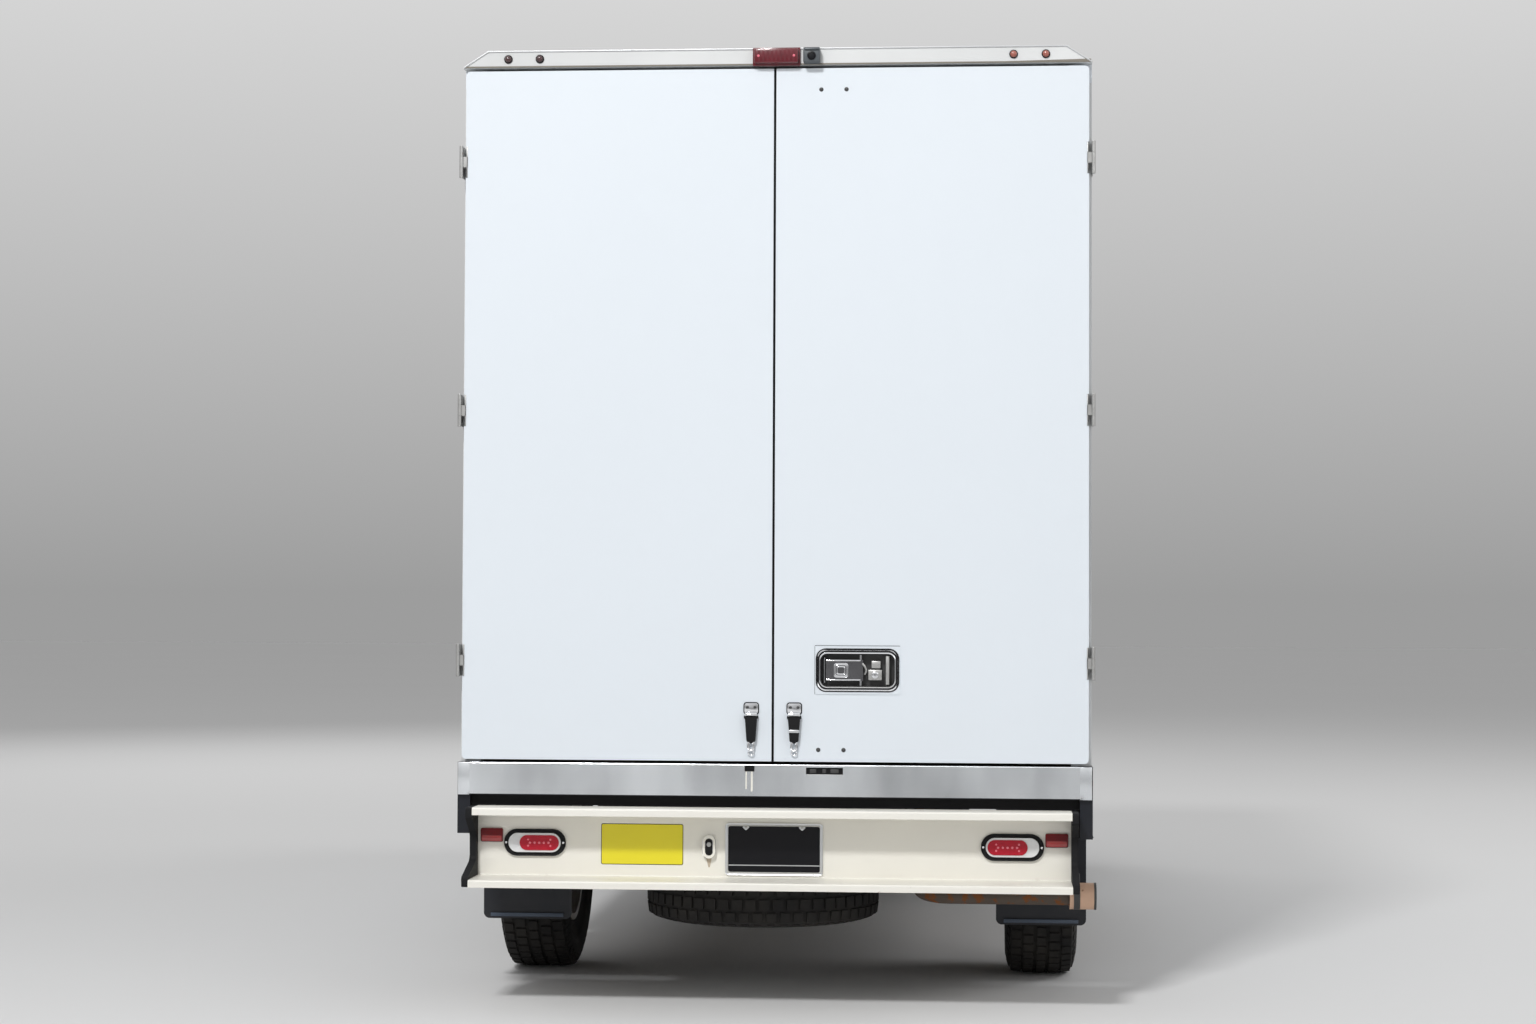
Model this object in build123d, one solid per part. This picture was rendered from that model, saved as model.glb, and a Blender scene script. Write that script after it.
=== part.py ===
from build123d import *
import math
import os

# Cutaway van: a short-bonnet cab on a ladder chassis that carries a tall, narrow box body
# with two full-height rear doors above a step bumper.
# Millimetres. +Y is forwards, +X is the vehicle's right side and +Z is up.
# The origin is on the ground below the middle of the whole vehicle.

# Layout along the vehicle
BOX_L = 3080              # rear door face to the front wall's outer face
REAR_OVERHANG = 960       # rear axle to the outer face of the rear doors
BOX_TO_AXLE = 1410        # front wall's outer face to the front axle
BUMPER_STEP = 180         # outer face of the rear doors to the step's rear lip
FRONT_OVERHANG = 930      # front axle to the front bumper's face
WHEELBASE = BOX_L - REAR_OVERHANG + BOX_TO_AXLE
LENGTH = FRONT_OVERHANG + WHEELBASE + REAR_OVERHANG + BUMPER_STEP
REAR_END = -LENGTH / 2
FRONT_END = LENGTH / 2
DOOR_FACE = REAR_END + BUMPER_STEP
REAR_AXLE = DOOR_FACE + REAR_OVERHANG
FRONT_AXLE = REAR_AXLE + WHEELBASE

# Clearances
SEAT_GAP = 0.3            # between pieces that bear on each other
PANEL_GAP = 6             # round doors and lids
PIN_FIT = 0.05            # radial clearance of a pin or spindle in its bore
ARCH_GAP = 23             # tyre to the inner side of its wheel house

# Tyres and rims
TYRE_D = 774
TYRE_W = 250
SHOULDER_H = 62           # height of the bevel between tread and side wall
SHOULDER_W = 20           # width of that bevel
RIM_D = 424               # bead seat
RIM_LIP = 14
RIM_HALF = 98
RIM_T = 9
REAR_TRACK = 1744
FRONT_TRACK = 1730
WHEEL_Z = TYRE_D / 2
HUB_R = 62                # raised centre of the rim
HUB_BORE = 32
HAND_HOLES = 8
HAND_HOLE_R = 24

# Box body
BOX_W = 2032
WALL = 38
SILL_BOTTOM = 670
SILL_TOP = 774
ROOF_TOP = 3078
CLIP_W = 82               # width of the clipped top corner
CLIP_H = 54               # height of the clipped top corner
HEADER_H = 56
FRONT_CORNER = 100        # radius of the box's front vertical corners
DECK_T = 60
BEARER_H = 56             # cross bearers under the deck
BEARER_W = 60
BEARERS = 8
BOX_FRONT = DOOR_FACE + BOX_L
BOX_HALF = BOX_W / 2

# Rear doors
DOOR_T = 38
SEAL_GAP = 6              # inner face of a door to the rear frame
DOOR_EDGE = 10            # outer edge of a door to the body side
DOOR_SPLIT = 8            # gap between the two doors
DOOR_CORNER = 14
DOOR_BOTTOM = SILL_TOP + 10
DOOR_TOP = ROOF_TOP - HEADER_H - 10
PANEL_RECESS = 12         # depth of the recessed inner panel
PANEL_RAIL = 90           # width of the frame round that panel
FRAME_BACK = DOOR_FACE + DOOR_T + SEAL_GAP
POST_D = 60
POST_W = 64

# Door hinges
PIN_OUT = 4               # hinge pin beyond the body side
PIN_BACK = 6              # hinge pin behind the door's outer face
PIN_R = 3.5
BARREL_R = 6
HINGE_H = 102
LEAF_T = 3
HINGE_LOW = DOOR_BOTTOM + 318
HINGE_HIGH = DOOR_TOP - 295
HINGE_LEVELS = (HINGE_LOW, (HINGE_LOW + HINGE_HIGH) / 2, HINGE_HIGH)

# Paddle latch in the right door
LATCH_X = 271
LATCH_Z = DOOR_BOTTOM + 293
LATCH_PLATE = (272, 154)  # width and height of the cover plate
BEZEL = (260, 132)
BOWL = (232, 100)
LATCH_DEPTH = 26          # the bowl's floor in front of the door's outer face
TRAY_T = 2

# Chassis
RAIL_OUT = 430            # outer face of a frame rail
RAIL_FLANGE = 65
RAIL_H = 148
RAIL_T = 7
RAIL_TOP = SILL_BOTTOM - 22
RAIL_DROP = 70            # the rails step down ahead of the box
SPRING_X = 590
SPRING_W = 64
SPRING_HALF = 640
SPRING_R = 2600
SPRING_ANGLE = 6.5
AXLE_R = 44
KINGPIN_X = 800
ARM_LEVELS = (235, 539)   # middle of the lower and the upper wishbone
ARM_T = 28
BALL_R = 12
SPARE_X = -60
SPARE_Y = DOOR_FACE + 412
SPARE_LOW = 240

# Cab
CAB_BACK = BOX_FRONT + 10
CAB_WALL = 45
CAB_BOTTOM = 470
ARCH_R = 445
GLASS_T = 6
GLASS_INSET = 12
FLOOR_T = 30
CAB_FLOOR_TOP = 620
BULKHEAD = FRONT_AXLE - 10


def block(x0, x1, y0, y1, z0, z1):
    """A box between two corners."""
    size = (x1 - x0, y1 - y0, z1 - z0)
    return Pos((x0 + x1) / 2, (y0 + y1) / 2, (z0 + z1) / 2) * Box(*size)


def outline(points):
    """A closed face from (u, v, corner radius) rows."""
    line = FilletPolyline(*[(u, v) for u, v, r in points], radius=[r for u, v, r in points], close=True)
    return make_face(line)


def square(u0, u1, v0, v1, r=0):
    """The rows of a rectangle with rounded corners."""
    return [(u0, v0, r), (u1, v0, r), (u1, v1, r), (u0, v1, r)]


def along_x(face, x0, x1):
    """Extrude a face drawn in (y, z) from x0 to x1."""
    return extrude(Plane.YZ.offset(x0) * face, x1 - x0)


def along_y(face, y0, y1):
    """Extrude a face drawn in (x, z) from y0 to y1."""
    return extrude(Plane.XZ.offset(-y0) * face, -(y1 - y0))


def along_z(face, z0, z1):
    """Extrude a face drawn in (x, y) from z0 to z1."""
    return extrude(Plane.XY.offset(z0) * face, z1 - z0)


def disc_x(x0, x1, y, z, r):
    """A cylinder along X."""
    return Pos((x0 + x1) / 2, y, z) * Rot(0, 90, 0) * Cylinder(r, x1 - x0)


def disc_y(y0, y1, x, z, r):
    """A cylinder along Y."""
    return Pos(x, (y0 + y1) / 2, z) * Rot(90, 0, 0) * Cylinder(r, y1 - y0)


def disc_z(z0, z1, x, y, r):
    """A cylinder along Z."""
    return Pos(x, y, (z0 + z1) / 2) * Cylinder(r, z1 - z0)


def flip(shape):
    """The mirror image on the other side of the vehicle."""
    return mirror(shape, Plane.YZ)


def on_side(shape, side):
    """A piece drawn on the right side (+1) or mirrored to the left side (-1)."""
    return shape if side > 0 else flip(shape)


def both(shape):
    """The piece and its mirror image."""
    return Compound(children=[shape, flip(shape)])


def pipe(points, bend, r):
    """A round tube along straight runs joined by bends."""
    path = FilletPolyline(*points, radius=bend)
    start = Plane(origin=path @ 0, z_dir=path % 0)
    return sweep(start * Circle(r), path)


os.makedirs("parts", exist_ok=True)


def save(name, shape):
    """Write one node."""
    export_step(shape, "parts/" + name + ".step")


# Wheels

def tyre_ring():
    """A tyre about the Y axis: side walls that lean out from the rim's lips, and bevelled shoulders."""
    half = TYRE_W / 2
    bead = RIM_D / 2
    foot = RIM_HALF - RIM_T - SEAT_GAP
    rows = [
        (bead + SEAT_GAP, -foot, 0),
        (bead + RIM_LIP + 2, -foot, 0),
        (TYRE_D / 2 - SHOULDER_H, -half, 0),
        (TYRE_D / 2, -half + SHOULDER_W, 0),
        (TYRE_D / 2, half - SHOULDER_W, 0),
        (TYRE_D / 2 - SHOULDER_H, half, 0),
        (bead + RIM_LIP + 2, foot, 0),
        (bead + SEAT_GAP, foot, 0),
    ]
    return revolve(outline(rows), Axis.Y, 360)


def rim_disc(bore):
    """A steel rim about the Y axis: a drop-centre barrel and a dished disc with hand holes."""
    half = RIM_HALF
    seat = RIM_D / 2
    t = RIM_T
    barrel_rows = [
        (seat - t, -half, 0),
        (seat + RIM_LIP, -half, 0),
        (seat + RIM_LIP, -half + t, 0),
        (seat, -half + t, 0),
        (seat, -20, 0),
        (seat - 26, 0, 0),
        (seat - 26, 60, 0),
        (seat, half - t, 0),
        (seat + RIM_LIP, half - t, 0),
        (seat + RIM_LIP, half, 0),
        (seat - t, half, 0),
        (seat - 26 - t, 60 + t, 0),
        (seat - 26 - t, -t, 0),
        (seat - t, -20 - t, 0),
    ]
    disc_rows = [
        (bore, 44, 0),
        (bore, 78, 0),
        (HUB_R, 78, 0),
        (HUB_R + 12, 56, 0),
        (130, 56, 0),
        (seat - 26 - t / 2, 30, 0),
        (seat - 26 - t / 2, 14, 0),
        (126, 42, 0),
    ]
    barrel = revolve(outline(barrel_rows), Axis.Y, 360)
    disc = revolve(outline(disc_rows), Axis.Y, 360)
    holes = [
        Rot(0, 360 / HAND_HOLES * i, 0) * Pos(138, 40, 0) * Rot(90, 0, 0) * Cylinder(HAND_HOLE_R, 80)
        for i in range(HAND_HOLES)
    ]
    return barrel + (disc - holes)


WHEELS = (
    # name, side, x, y
    ("front_left", -1, FRONT_TRACK / 2, FRONT_AXLE),
    ("front_right", 1, FRONT_TRACK / 2, FRONT_AXLE),
    ("rear_left", -1, REAR_TRACK / 2, REAR_AXLE),
    ("rear_right", 1, REAR_TRACK / 2, REAR_AXLE),
)
for name, side, x, y in WHEELS:
    hub = Pos(side * x, y, WHEEL_Z) * Rot(0, 0, -90 * side)
    save("tyre_" + name, hub * tyre_ring())
    save("rim_" + name, hub * rim_disc(HUB_BORE + PIN_FIT))


# Chassis

def rail():
    """The right frame rail: a channel that steps down under the cab."""
    back = DOOR_FACE + 26
    low = RAIL_TOP - RAIL_H
    rows = [
        (back, low, 0),
        (BOX_FRONT - 260, low, 90),
        (BOX_FRONT - 60, low - RAIL_DROP, 90),
        (FRONT_END - 60, low - RAIL_DROP, 0),
        (FRONT_END - 60, RAIL_TOP - RAIL_DROP, 0),
        (BOX_FRONT - 60, RAIL_TOP - RAIL_DROP, 90),
        (BOX_FRONT - 260, RAIL_TOP, 90),
        (back, RAIL_TOP, 0),
    ]
    solid = along_x(outline(rows), RAIL_OUT - RAIL_FLANGE, RAIL_OUT)
    pocket_rows = [(u, v + (RAIL_T if i in (0, 1, 2, 3) else -RAIL_T), r) for i, (u, v, r) in enumerate(rows)]
    pocket_rows[0] = (back - 1, pocket_rows[0][1], 0)
    pocket_rows[7] = (back - 1, pocket_rows[7][1], 0)
    pocket_rows[3] = (FRONT_END - 59, pocket_rows[3][1], 0)
    pocket_rows[4] = (FRONT_END - 59, pocket_rows[4][1], 0)
    pocket = along_x(outline(pocket_rows), RAIL_OUT - RAIL_FLANGE - 1, RAIL_OUT - RAIL_T)
    return solid - pocket


CROSSMEMBERS = (
    # y, level below the rail's top face
    (DOOR_FACE + 90, 0),
    (SPARE_Y, 0),
    (REAR_AXLE + 420, 0),
    (REAR_AXLE + 1150, 0),
    (BOX_FRONT - 330, 0),
    (FRONT_END - 150, RAIL_DROP),
)
cross = []
for y, drop in CROSSMEMBERS:
    top = RAIL_TOP - drop - 20
    half = RAIL_OUT - RAIL_T - SEAT_GAP
    hat = block(-half, half, y - 35, y + 35, top - 80, top)
    cross.append(hat - block(-half - 1, half + 1, y - 28, y + 28, top - 81, top - 7))
save("ladder_frame", Compound(children=cross + [rail(), flip(rail())]))

axle_end = REAR_TRACK / 2 + 70
axle = disc_x(-axle_end, axle_end, REAR_AXLE, WHEEL_Z, HUB_BORE)
axle += disc_x(-REAR_TRACK / 2 + 70, REAR_TRACK / 2 - 70, REAR_AXLE, WHEEL_Z, AXLE_R)
axle += Pos(0, REAR_AXLE, WHEEL_Z) * Sphere(132)
axle += disc_y(REAR_AXLE + 90, REAR_AXLE + 215, 0, WHEEL_Z, 48)
for side in (-1, 1):
    x = side * (REAR_TRACK / 2 - 40)
    axle += disc_x(x - 38, x + 38, REAR_AXLE, WHEEL_Z, 150)
    pad_x = side * SPRING_X
    axle += block(pad_x - 45, pad_x + 45, REAR_AXLE - 60, REAR_AXLE + 60, WHEEL_Z, WHEEL_Z + AXLE_R + 8)


def leaf_spring():
    """The right leaf spring: three leaves, an eye at each end, a front hanger and a rear shackle."""
    low = WHEEL_Z + AXLE_R + 8 + SEAT_GAP
    slope = math.radians(SPRING_ANGLE)
    crown = low - SPRING_R * (1 / math.cos(slope) - 1)
    eye = crown + SPRING_HALF * math.tan(slope) + 12
    pack_rows = [
        (REAR_AXLE - SPRING_HALF, eye - 12, 0),
        (REAR_AXLE, crown, SPRING_R),
        (REAR_AXLE + SPRING_HALF, eye - 12, 0),
        (REAR_AXLE + SPRING_HALF, eye + 4, 0),
        (REAR_AXLE, crown + 50, SPRING_R),
        (REAR_AXLE - SPRING_HALF, eye + 4, 0),
    ]
    x0 = SPRING_X - SPRING_W / 2
    x1 = SPRING_X + SPRING_W / 2
    spring = along_x(outline(pack_rows), x0, x1)
    for y in (REAR_AXLE - SPRING_HALF, REAR_AXLE + SPRING_HALF):
        spring += disc_x(x0, x1, y, eye, 26)
    rail_side = RAIL_OUT + SEAT_GAP
    front = block(rail_side, x1, REAR_AXLE + SPRING_HALF - 40, REAR_AXLE + SPRING_HALF + 40, eye, RAIL_TOP - 40)
    rear = block(rail_side, x1, REAR_AXLE - SPRING_HALF - 50, REAR_AXLE - SPRING_HALF + 20, eye + 40, RAIL_TOP - 40)
    shackle = block(x0, x1, REAR_AXLE - SPRING_HALF - 18, REAR_AXLE - SPRING_HALF + 18, eye, eye + 60)
    return spring + front + rear + shackle


save("rear_axle", Compound(children=[axle, leaf_spring(), flip(leaf_spring())]))

shaft_rear = Vector(0, REAR_AXLE + 222, WHEEL_Z)
shaft_front = Vector(0, FRONT_AXLE - 815 - SEAT_GAP - 20, 470)
shaft_run = shaft_front - shaft_rear
shaft = extrude(Plane(origin=shaft_rear, z_dir=shaft_run) * Circle(42), shaft_run.length)
shaft += disc_y(REAR_AXLE + 215 + SEAT_GAP, REAR_AXLE + 245, 0, WHEEL_Z, 58)
shaft += disc_y(FRONT_AXLE - 860, FRONT_AXLE - 815 - SEAT_GAP, 0, 470, 58)

engine = block(-300, 300, FRONT_AXLE - 310, FRONT_AXLE + 470, 440, 850)
engine = fillet(engine.edges().filter_by(Axis.Y), 40)
engine += disc_y(FRONT_AXLE - 815, FRONT_AXLE - 310, 0, 470, 112)
save("drivetrain", Compound(children=[engine, shaft]))

# Fuel tank on the outside of the left rail
TANK_BACK = REAR_AXLE + 1100
TANK_FRONT = FRONT_AXLE - 1490
TANK_W = 390
TANK_OFF = 30             # tank to the rail's outer face
TANK_LOW = 330
TANK_H = 270
TANK_EDGE = 40
STRAP_W = 60
tank_in = -(RAIL_OUT + TANK_OFF)
tank = block(tank_in - TANK_W, tank_in, TANK_BACK, TANK_FRONT, TANK_LOW, TANK_LOW + TANK_H)
tank = fillet(tank.edges(), TANK_EDGE)
for y in (TANK_BACK + 170, TANK_FRONT - 170):
    bracket_low = TANK_LOW + TANK_H - 100
    tank += block(tank_in, -RAIL_OUT - SEAT_GAP, y - STRAP_W / 2, y + STRAP_W / 2, bracket_low, bracket_low + 80)
save("fuel_tank", tank)

spare_mid = SPARE_LOW + TYRE_W / 2
spare = Pos(SPARE_X, SPARE_Y, spare_mid) * Rot(90, 0, 0) * (tyre_ring() + rim_disc(HUB_BORE))
bead_ring = disc_z(spare_mid - 70, spare_mid + 20, SPARE_X, SPARE_Y, RIM_D / 2 + 0.5)
bead_ring -= disc_z(spare_mid - 71, spare_mid + 21, SPARE_X, SPARE_Y, RIM_D / 2 - 12)
carrier = disc_z(spare_mid + 30, spare_mid + 92, SPARE_X, SPARE_Y, HUB_R - 2)
carrier += disc_z(spare_mid + 30, RAIL_TOP - 27 - SEAT_GAP, SPARE_X, SPARE_Y, 18)
spare = spare + bead_ring + carrier
save("spare_wheel", spare)

# Exhaust: a silencer under the floor, a pipe over the axle and a side exit behind the right wheel
EXHAUST_X = 474
EXHAUST_R = 30
EXHAUST_Z = 348           # level of the side exit
TIP_R = 42
TIP_L = 84
EXHAUST_BACK = DOOR_FACE + 175
SILENCER_BACK = REAR_AXLE + 510
SILENCER_FRONT = SILENCER_BACK + 730
SILENCER_R = 95
exhaust_run = [
    (200, FRONT_AXLE - 500, 420),
    (230, FRONT_AXLE - 1620, 400),
    (EXHAUST_X, SILENCER_FRONT + 120, 400),
    (EXHAUST_X, REAR_AXLE + 420, 400),
    (EXHAUST_X, REAR_AXLE + 130, 540),
    (EXHAUST_X, REAR_AXLE - 200, 540),
    (EXHAUST_X, EXHAUST_BACK + 250, 380),
    (EXHAUST_X, EXHAUST_BACK, EXHAUST_Z),
    (BOX_HALF + 12, EXHAUST_BACK, EXHAUST_Z),
]
exhaust = pipe(exhaust_run, 90, EXHAUST_R)
tip_end = BOX_HALF + 20
exhaust += disc_x(tip_end - TIP_L, tip_end, EXHAUST_BACK, EXHAUST_Z, TIP_R)
exhaust -= disc_x(tip_end - TIP_L / 2, tip_end + 1, EXHAUST_BACK, EXHAUST_Z, TIP_R - 4)
exhaust += disc_y(SILENCER_BACK, SILENCER_FRONT, EXHAUST_X, 400, SILENCER_R)
for y, z in ((SILENCER_BACK + 270, 510), (SILENCER_FRONT - 140, 510), (REAR_AXLE - 40, 550)):
    exhaust += block(RAIL_OUT + SEAT_GAP, EXHAUST_X + 8, y - 15, y + 15, z - 22, z + 22)
save("exhaust", exhaust)


# Front suspension and steering

def knuckle():
    """The right steering knuckle: upright, spindle, ball pins, brake plate and steering arm."""
    low = ARM_LEVELS[0] + ARM_T / 2 + SEAT_GAP
    high = ARM_LEVELS[1] - ARM_T / 2 - SEAT_GAP
    x = FRONT_TRACK / 2
    rows = [
        (FRONT_AXLE - 30, low, 12),
        (FRONT_AXLE + 30, low, 12),
        (FRONT_AXLE + 52, WHEEL_Z, 60),
        (FRONT_AXLE + 24, high, 12),
        (FRONT_AXLE - 24, high, 12),
        (FRONT_AXLE - 52, WHEEL_Z, 60),
    ]
    body = along_x(outline(rows), KINGPIN_X - 22, KINGPIN_X + 22)
    body += disc_z(ARM_LEVELS[0] - ARM_T / 2 - 8, low + 5, KINGPIN_X, FRONT_AXLE, BALL_R)
    body += disc_z(high - 5, ARM_LEVELS[1] + ARM_T / 2 + 8, KINGPIN_X, FRONT_AXLE, BALL_R)
    body += disc_x(KINGPIN_X, x + 70, FRONT_AXLE, WHEEL_Z, HUB_BORE)
    body += disc_x(KINGPIN_X + 22, KINGPIN_X + 34, FRONT_AXLE, WHEEL_Z, 130)
    return body + block(KINGPIN_X - 60, KINGPIN_X - 18, FRONT_AXLE - 140, FRONT_AXLE + 10, 290, 316)


save("knuckle_right", knuckle())
save("knuckle_left", flip(knuckle()))


def wishbone(z):
    """The right wishbone: two legs from the frame rail that meet in a neck with a ball seat."""
    root = RAIL_OUT + 20
    rows = [
        (KINGPIN_X, FRONT_AXLE + 20, 0),
        (KINGPIN_X - 110, FRONT_AXLE + 24, 20),
        (root, FRONT_AXLE + 150, 0),
        (root, FRONT_AXLE + 95, 0),
        (KINGPIN_X - 190, FRONT_AXLE, 20),
        (root, FRONT_AXLE - 95, 0),
        (root, FRONT_AXLE - 150, 0),
        (KINGPIN_X - 110, FRONT_AXLE - 24, 20),
        (KINGPIN_X, FRONT_AXLE - 20, 0),
    ]
    arm = along_z(outline(rows), z - ARM_T / 2, z + ARM_T / 2)
    arm += disc_z(z - ARM_T / 2, z + ARM_T / 2, KINGPIN_X, FRONT_AXLE, 28)
    return arm - disc_z(z - ARM_T, z + ARM_T, KINGPIN_X, FRONT_AXLE, BALL_R + PIN_FIT)


beam_y = FRONT_AXLE - 150
towers = block(RAIL_OUT + SEAT_GAP, RAIL_OUT + 21, beam_y, beam_y + 300, 215, 560)
suspension = block(-RAIL_OUT - 21, RAIL_OUT + 21, beam_y, beam_y + 300, 215, 290) + towers + flip(towers)
for z in ARM_LEVELS:
    arm = wishbone(z)
    suspension += arm
    suspension += flip(arm)
save("front_suspension", suspension)


# Box body

def section(inset=0, bottom=SILL_TOP):
    """The body's cross-section, with the top corners clipped."""
    half = BOX_HALF - inset
    top = ROOF_TOP - inset
    clip_w = CLIP_W - inset * 0.3
    clip_h = CLIP_H - inset * 0.5
    return outline([
        (-half, bottom, 0),
        (half, bottom, 0),
        (half, top - clip_h, 0),
        (half - clip_w, top, 0),
        (-half + clip_w, top, 0),
        (-half, top - clip_h, 0),
    ])


deck_half = BOX_HALF - WALL - SEAT_GAP
WALLS_BACK = FRAME_BACK + POST_D
CAP_BACK = BOX_FRONT - FRONT_CORNER - 20
ROOF_SPLIT = ROOF_TOP - CLIP_H - 60
tube = along_y(section(), FRAME_BACK, CAP_BACK) - along_y(section(WALL, -10), FRAME_BACK - 1, CAP_BACK + 1)
wheel_hole = disc_x(-BOX_HALF - 20, BOX_HALF + 20, REAR_AXLE, WHEEL_Z, ARCH_R)
side_zone = block(BOX_HALF - 80, BOX_HALF + 1, WALLS_BACK, CAP_BACK, SILL_TOP, ROOF_SPLIT)
box_side = (tube & side_zone) - wheel_hole
save("box_side_right", box_side)
save("box_side_left", flip(box_side))

roof = tube & block(-BOX_HALF - 1, BOX_HALF + 1, FRAME_BACK, CAP_BACK, ROOF_SPLIT, ROOF_TOP + 1)
save("box_roof", roof)

cap_plan = outline([
    (-BOX_HALF, CAP_BACK, 0),
    (BOX_HALF, CAP_BACK, 0),
    (BOX_HALF, BOX_FRONT, FRONT_CORNER),
    (-BOX_HALF, BOX_FRONT, FRONT_CORNER),
])
cap_inner = outline([
    (-BOX_HALF + WALL, CAP_BACK - 1, 0),
    (BOX_HALF - WALL, CAP_BACK - 1, 0),
    (BOX_HALF - WALL, BOX_FRONT - WALL, FRONT_CORNER - WALL),
    (-BOX_HALF + WALL, BOX_FRONT - WALL, FRONT_CORNER - WALL),
])
cap = along_z(cap_plan, SILL_BOTTOM, ROOF_TOP + 1) & along_y(section(0, SILL_BOTTOM), CAP_BACK, BOX_FRONT + 1)
cap -= along_z(cap_inner, SILL_BOTTOM - 1, ROOF_TOP) & along_y(section(WALL, 0), CAP_BACK - 1, BOX_FRONT)
save("box_front_wall", cap)

post = block(BOX_HALF - POST_W, BOX_HALF, FRAME_BACK, WALLS_BACK, SILL_TOP, ROOF_SPLIT)
post += block(BOX_HALF - POST_W, deck_half, FRAME_BACK, WALLS_BACK, SILL_TOP - DECK_T, SILL_TOP)
header = along_y(section(0, ROOF_TOP - HEADER_H), DOOR_FACE - 4, FRAME_BACK)
save("rear_frame", Compound(children=[header, post, flip(post)]))

# Deck on cross bearers that stand on the frame rails
deck_rows = [
    (-deck_half, FRAME_BACK + SEAT_GAP, 0),
    (deck_half, FRAME_BACK + SEAT_GAP, 0),
    (deck_half, BOX_FRONT - WALL - SEAT_GAP, FRONT_CORNER - WALL),
    (-deck_half, BOX_FRONT - WALL - SEAT_GAP, FRONT_CORNER - WALL),
]
deck = along_z(outline(deck_rows), SILL_TOP - DECK_T, SILL_TOP)
post_in = BOX_HALF - POST_W - SEAT_GAP
post_notch = block(post_in, BOX_HALF, FRAME_BACK, WALLS_BACK + SEAT_GAP, SILL_TOP - DECK_T - 1, SILL_TOP + 1)
deck -= post_notch + flip(post_notch)
bearer_low = RAIL_TOP + SEAT_GAP
for i in range(BEARERS):
    y = FRAME_BACK + 120 + i * (BOX_L - 500) / (BEARERS - 1)
    deck += block(-deck_half, deck_half, y - BEARER_W / 2, y + BEARER_W / 2, bearer_low, SILL_TOP - DECK_T)
arch_in = REAR_TRACK / 2 - TYRE_W / 2 - ARCH_GAP
arch_box = block(arch_in, BOX_HALF, REAR_AXLE - ARCH_R - 20, REAR_AXLE + ARCH_R + 20, 0, SILL_TOP + 1)
deck -= arch_box + flip(arch_box)
house_top = WHEEL_Z + ARCH_R + 20
arch_back = REAR_AXLE - ARCH_R - 20
arch_front = REAR_AXLE + ARCH_R + 20
house = block(arch_in, deck_half, arch_back, arch_front, bearer_low, house_top)
house -= block(arch_in + 4, deck_half + 1, arch_back + 4, arch_front - 4, 0, house_top - 4)
save("box_floor", deck + house + flip(house))

# Side skirts below the walls, with the wheel arches
SKIRT_LOW = 545
skirt = block(BOX_HALF - WALL, BOX_HALF + 3, DOOR_FACE + 2, CAP_BACK, SKIRT_LOW, SILL_TOP)
skirt -= wheel_hole

# Rear sill between the skirts
SILL_PROUD = 12
sill_half = BOX_HALF - WALL - SEAT_GAP
sill = block(-sill_half, sill_half, DOOR_FACE - SILL_PROUD, FRAME_BACK, SILL_BOTTOM, SILL_TOP)
sill -= block(-sill_half - 1, sill_half + 1, DOOR_FACE - SILL_PROUD + 6, FRAME_BACK + 1, SILL_BOTTOM - 1, SILL_TOP - 6)
sill -= block(-89, -57, DOOR_FACE - SILL_PROUD - 1, DOOR_FACE + 4, SILL_TOP - 22, SILL_TOP + 1)
sill -= block(108, 226, DOOR_FACE - SILL_PROUD - 1, DOOR_FACE + 14, SILL_TOP - 30, SILL_TOP - 8)
save("rear_sill", sill)


# Rear doors, drawn closed on the right side

def rear_door():
    """A flush door panel with a recessed inner face."""
    x0 = DOOR_SPLIT / 2
    x1 = BOX_HALF - DOOR_EDGE
    z0 = DOOR_BOTTOM
    z1 = DOOR_TOP
    rows = [(x0, z0, 0), (x1, z0, DOOR_CORNER), (x1, z1, DOOR_CORNER), (x0, z1, 0)]
    panel = along_y(outline(rows), DOOR_FACE, DOOR_FACE + DOOR_T)
    rail_w = PANEL_RAIL
    pocket = square(x0 + rail_w, x1 - rail_w, z0 + rail_w, z1 - rail_w, 20)
    panel -= along_y(outline(pocket), DOOR_FACE + DOOR_T - PANEL_RECESS, DOOR_FACE + DOOR_T + 1)
    for z in HINGE_LEVELS:
        panel -= block(x1 - 6, x1 + 1, DOOR_FACE - 1, DOOR_FACE + DOOR_T + 1, z - HINGE_H / 2, z + HINGE_H / 2)
    return panel


def round_rect(size, x, z, r, grow=0):
    """The rows of a rounded rectangle of a (width, height) size round a centre."""
    half_w = size[0] / 2 + grow
    half_h = size[1] / 2 + grow
    return square(x - half_w, x + half_w, z - half_h, z + half_h, r)


latch_hole = outline(round_rect(BOWL, LATCH_X, LATCH_Z, 22, TRAY_T + SEAT_GAP))
latch_pocket = along_y(latch_hole, DOOR_FACE - 1, DOOR_FACE + LATCH_DEPTH + TRAY_T + SEAT_GAP)
save("rear_door_right", rear_door() - latch_pocket)
save("rear_door_left", flip(rear_door()))

PIN_X = BOX_HALF + PIN_OUT
PIN_Y = DOOR_FACE - PIN_BACK


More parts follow.
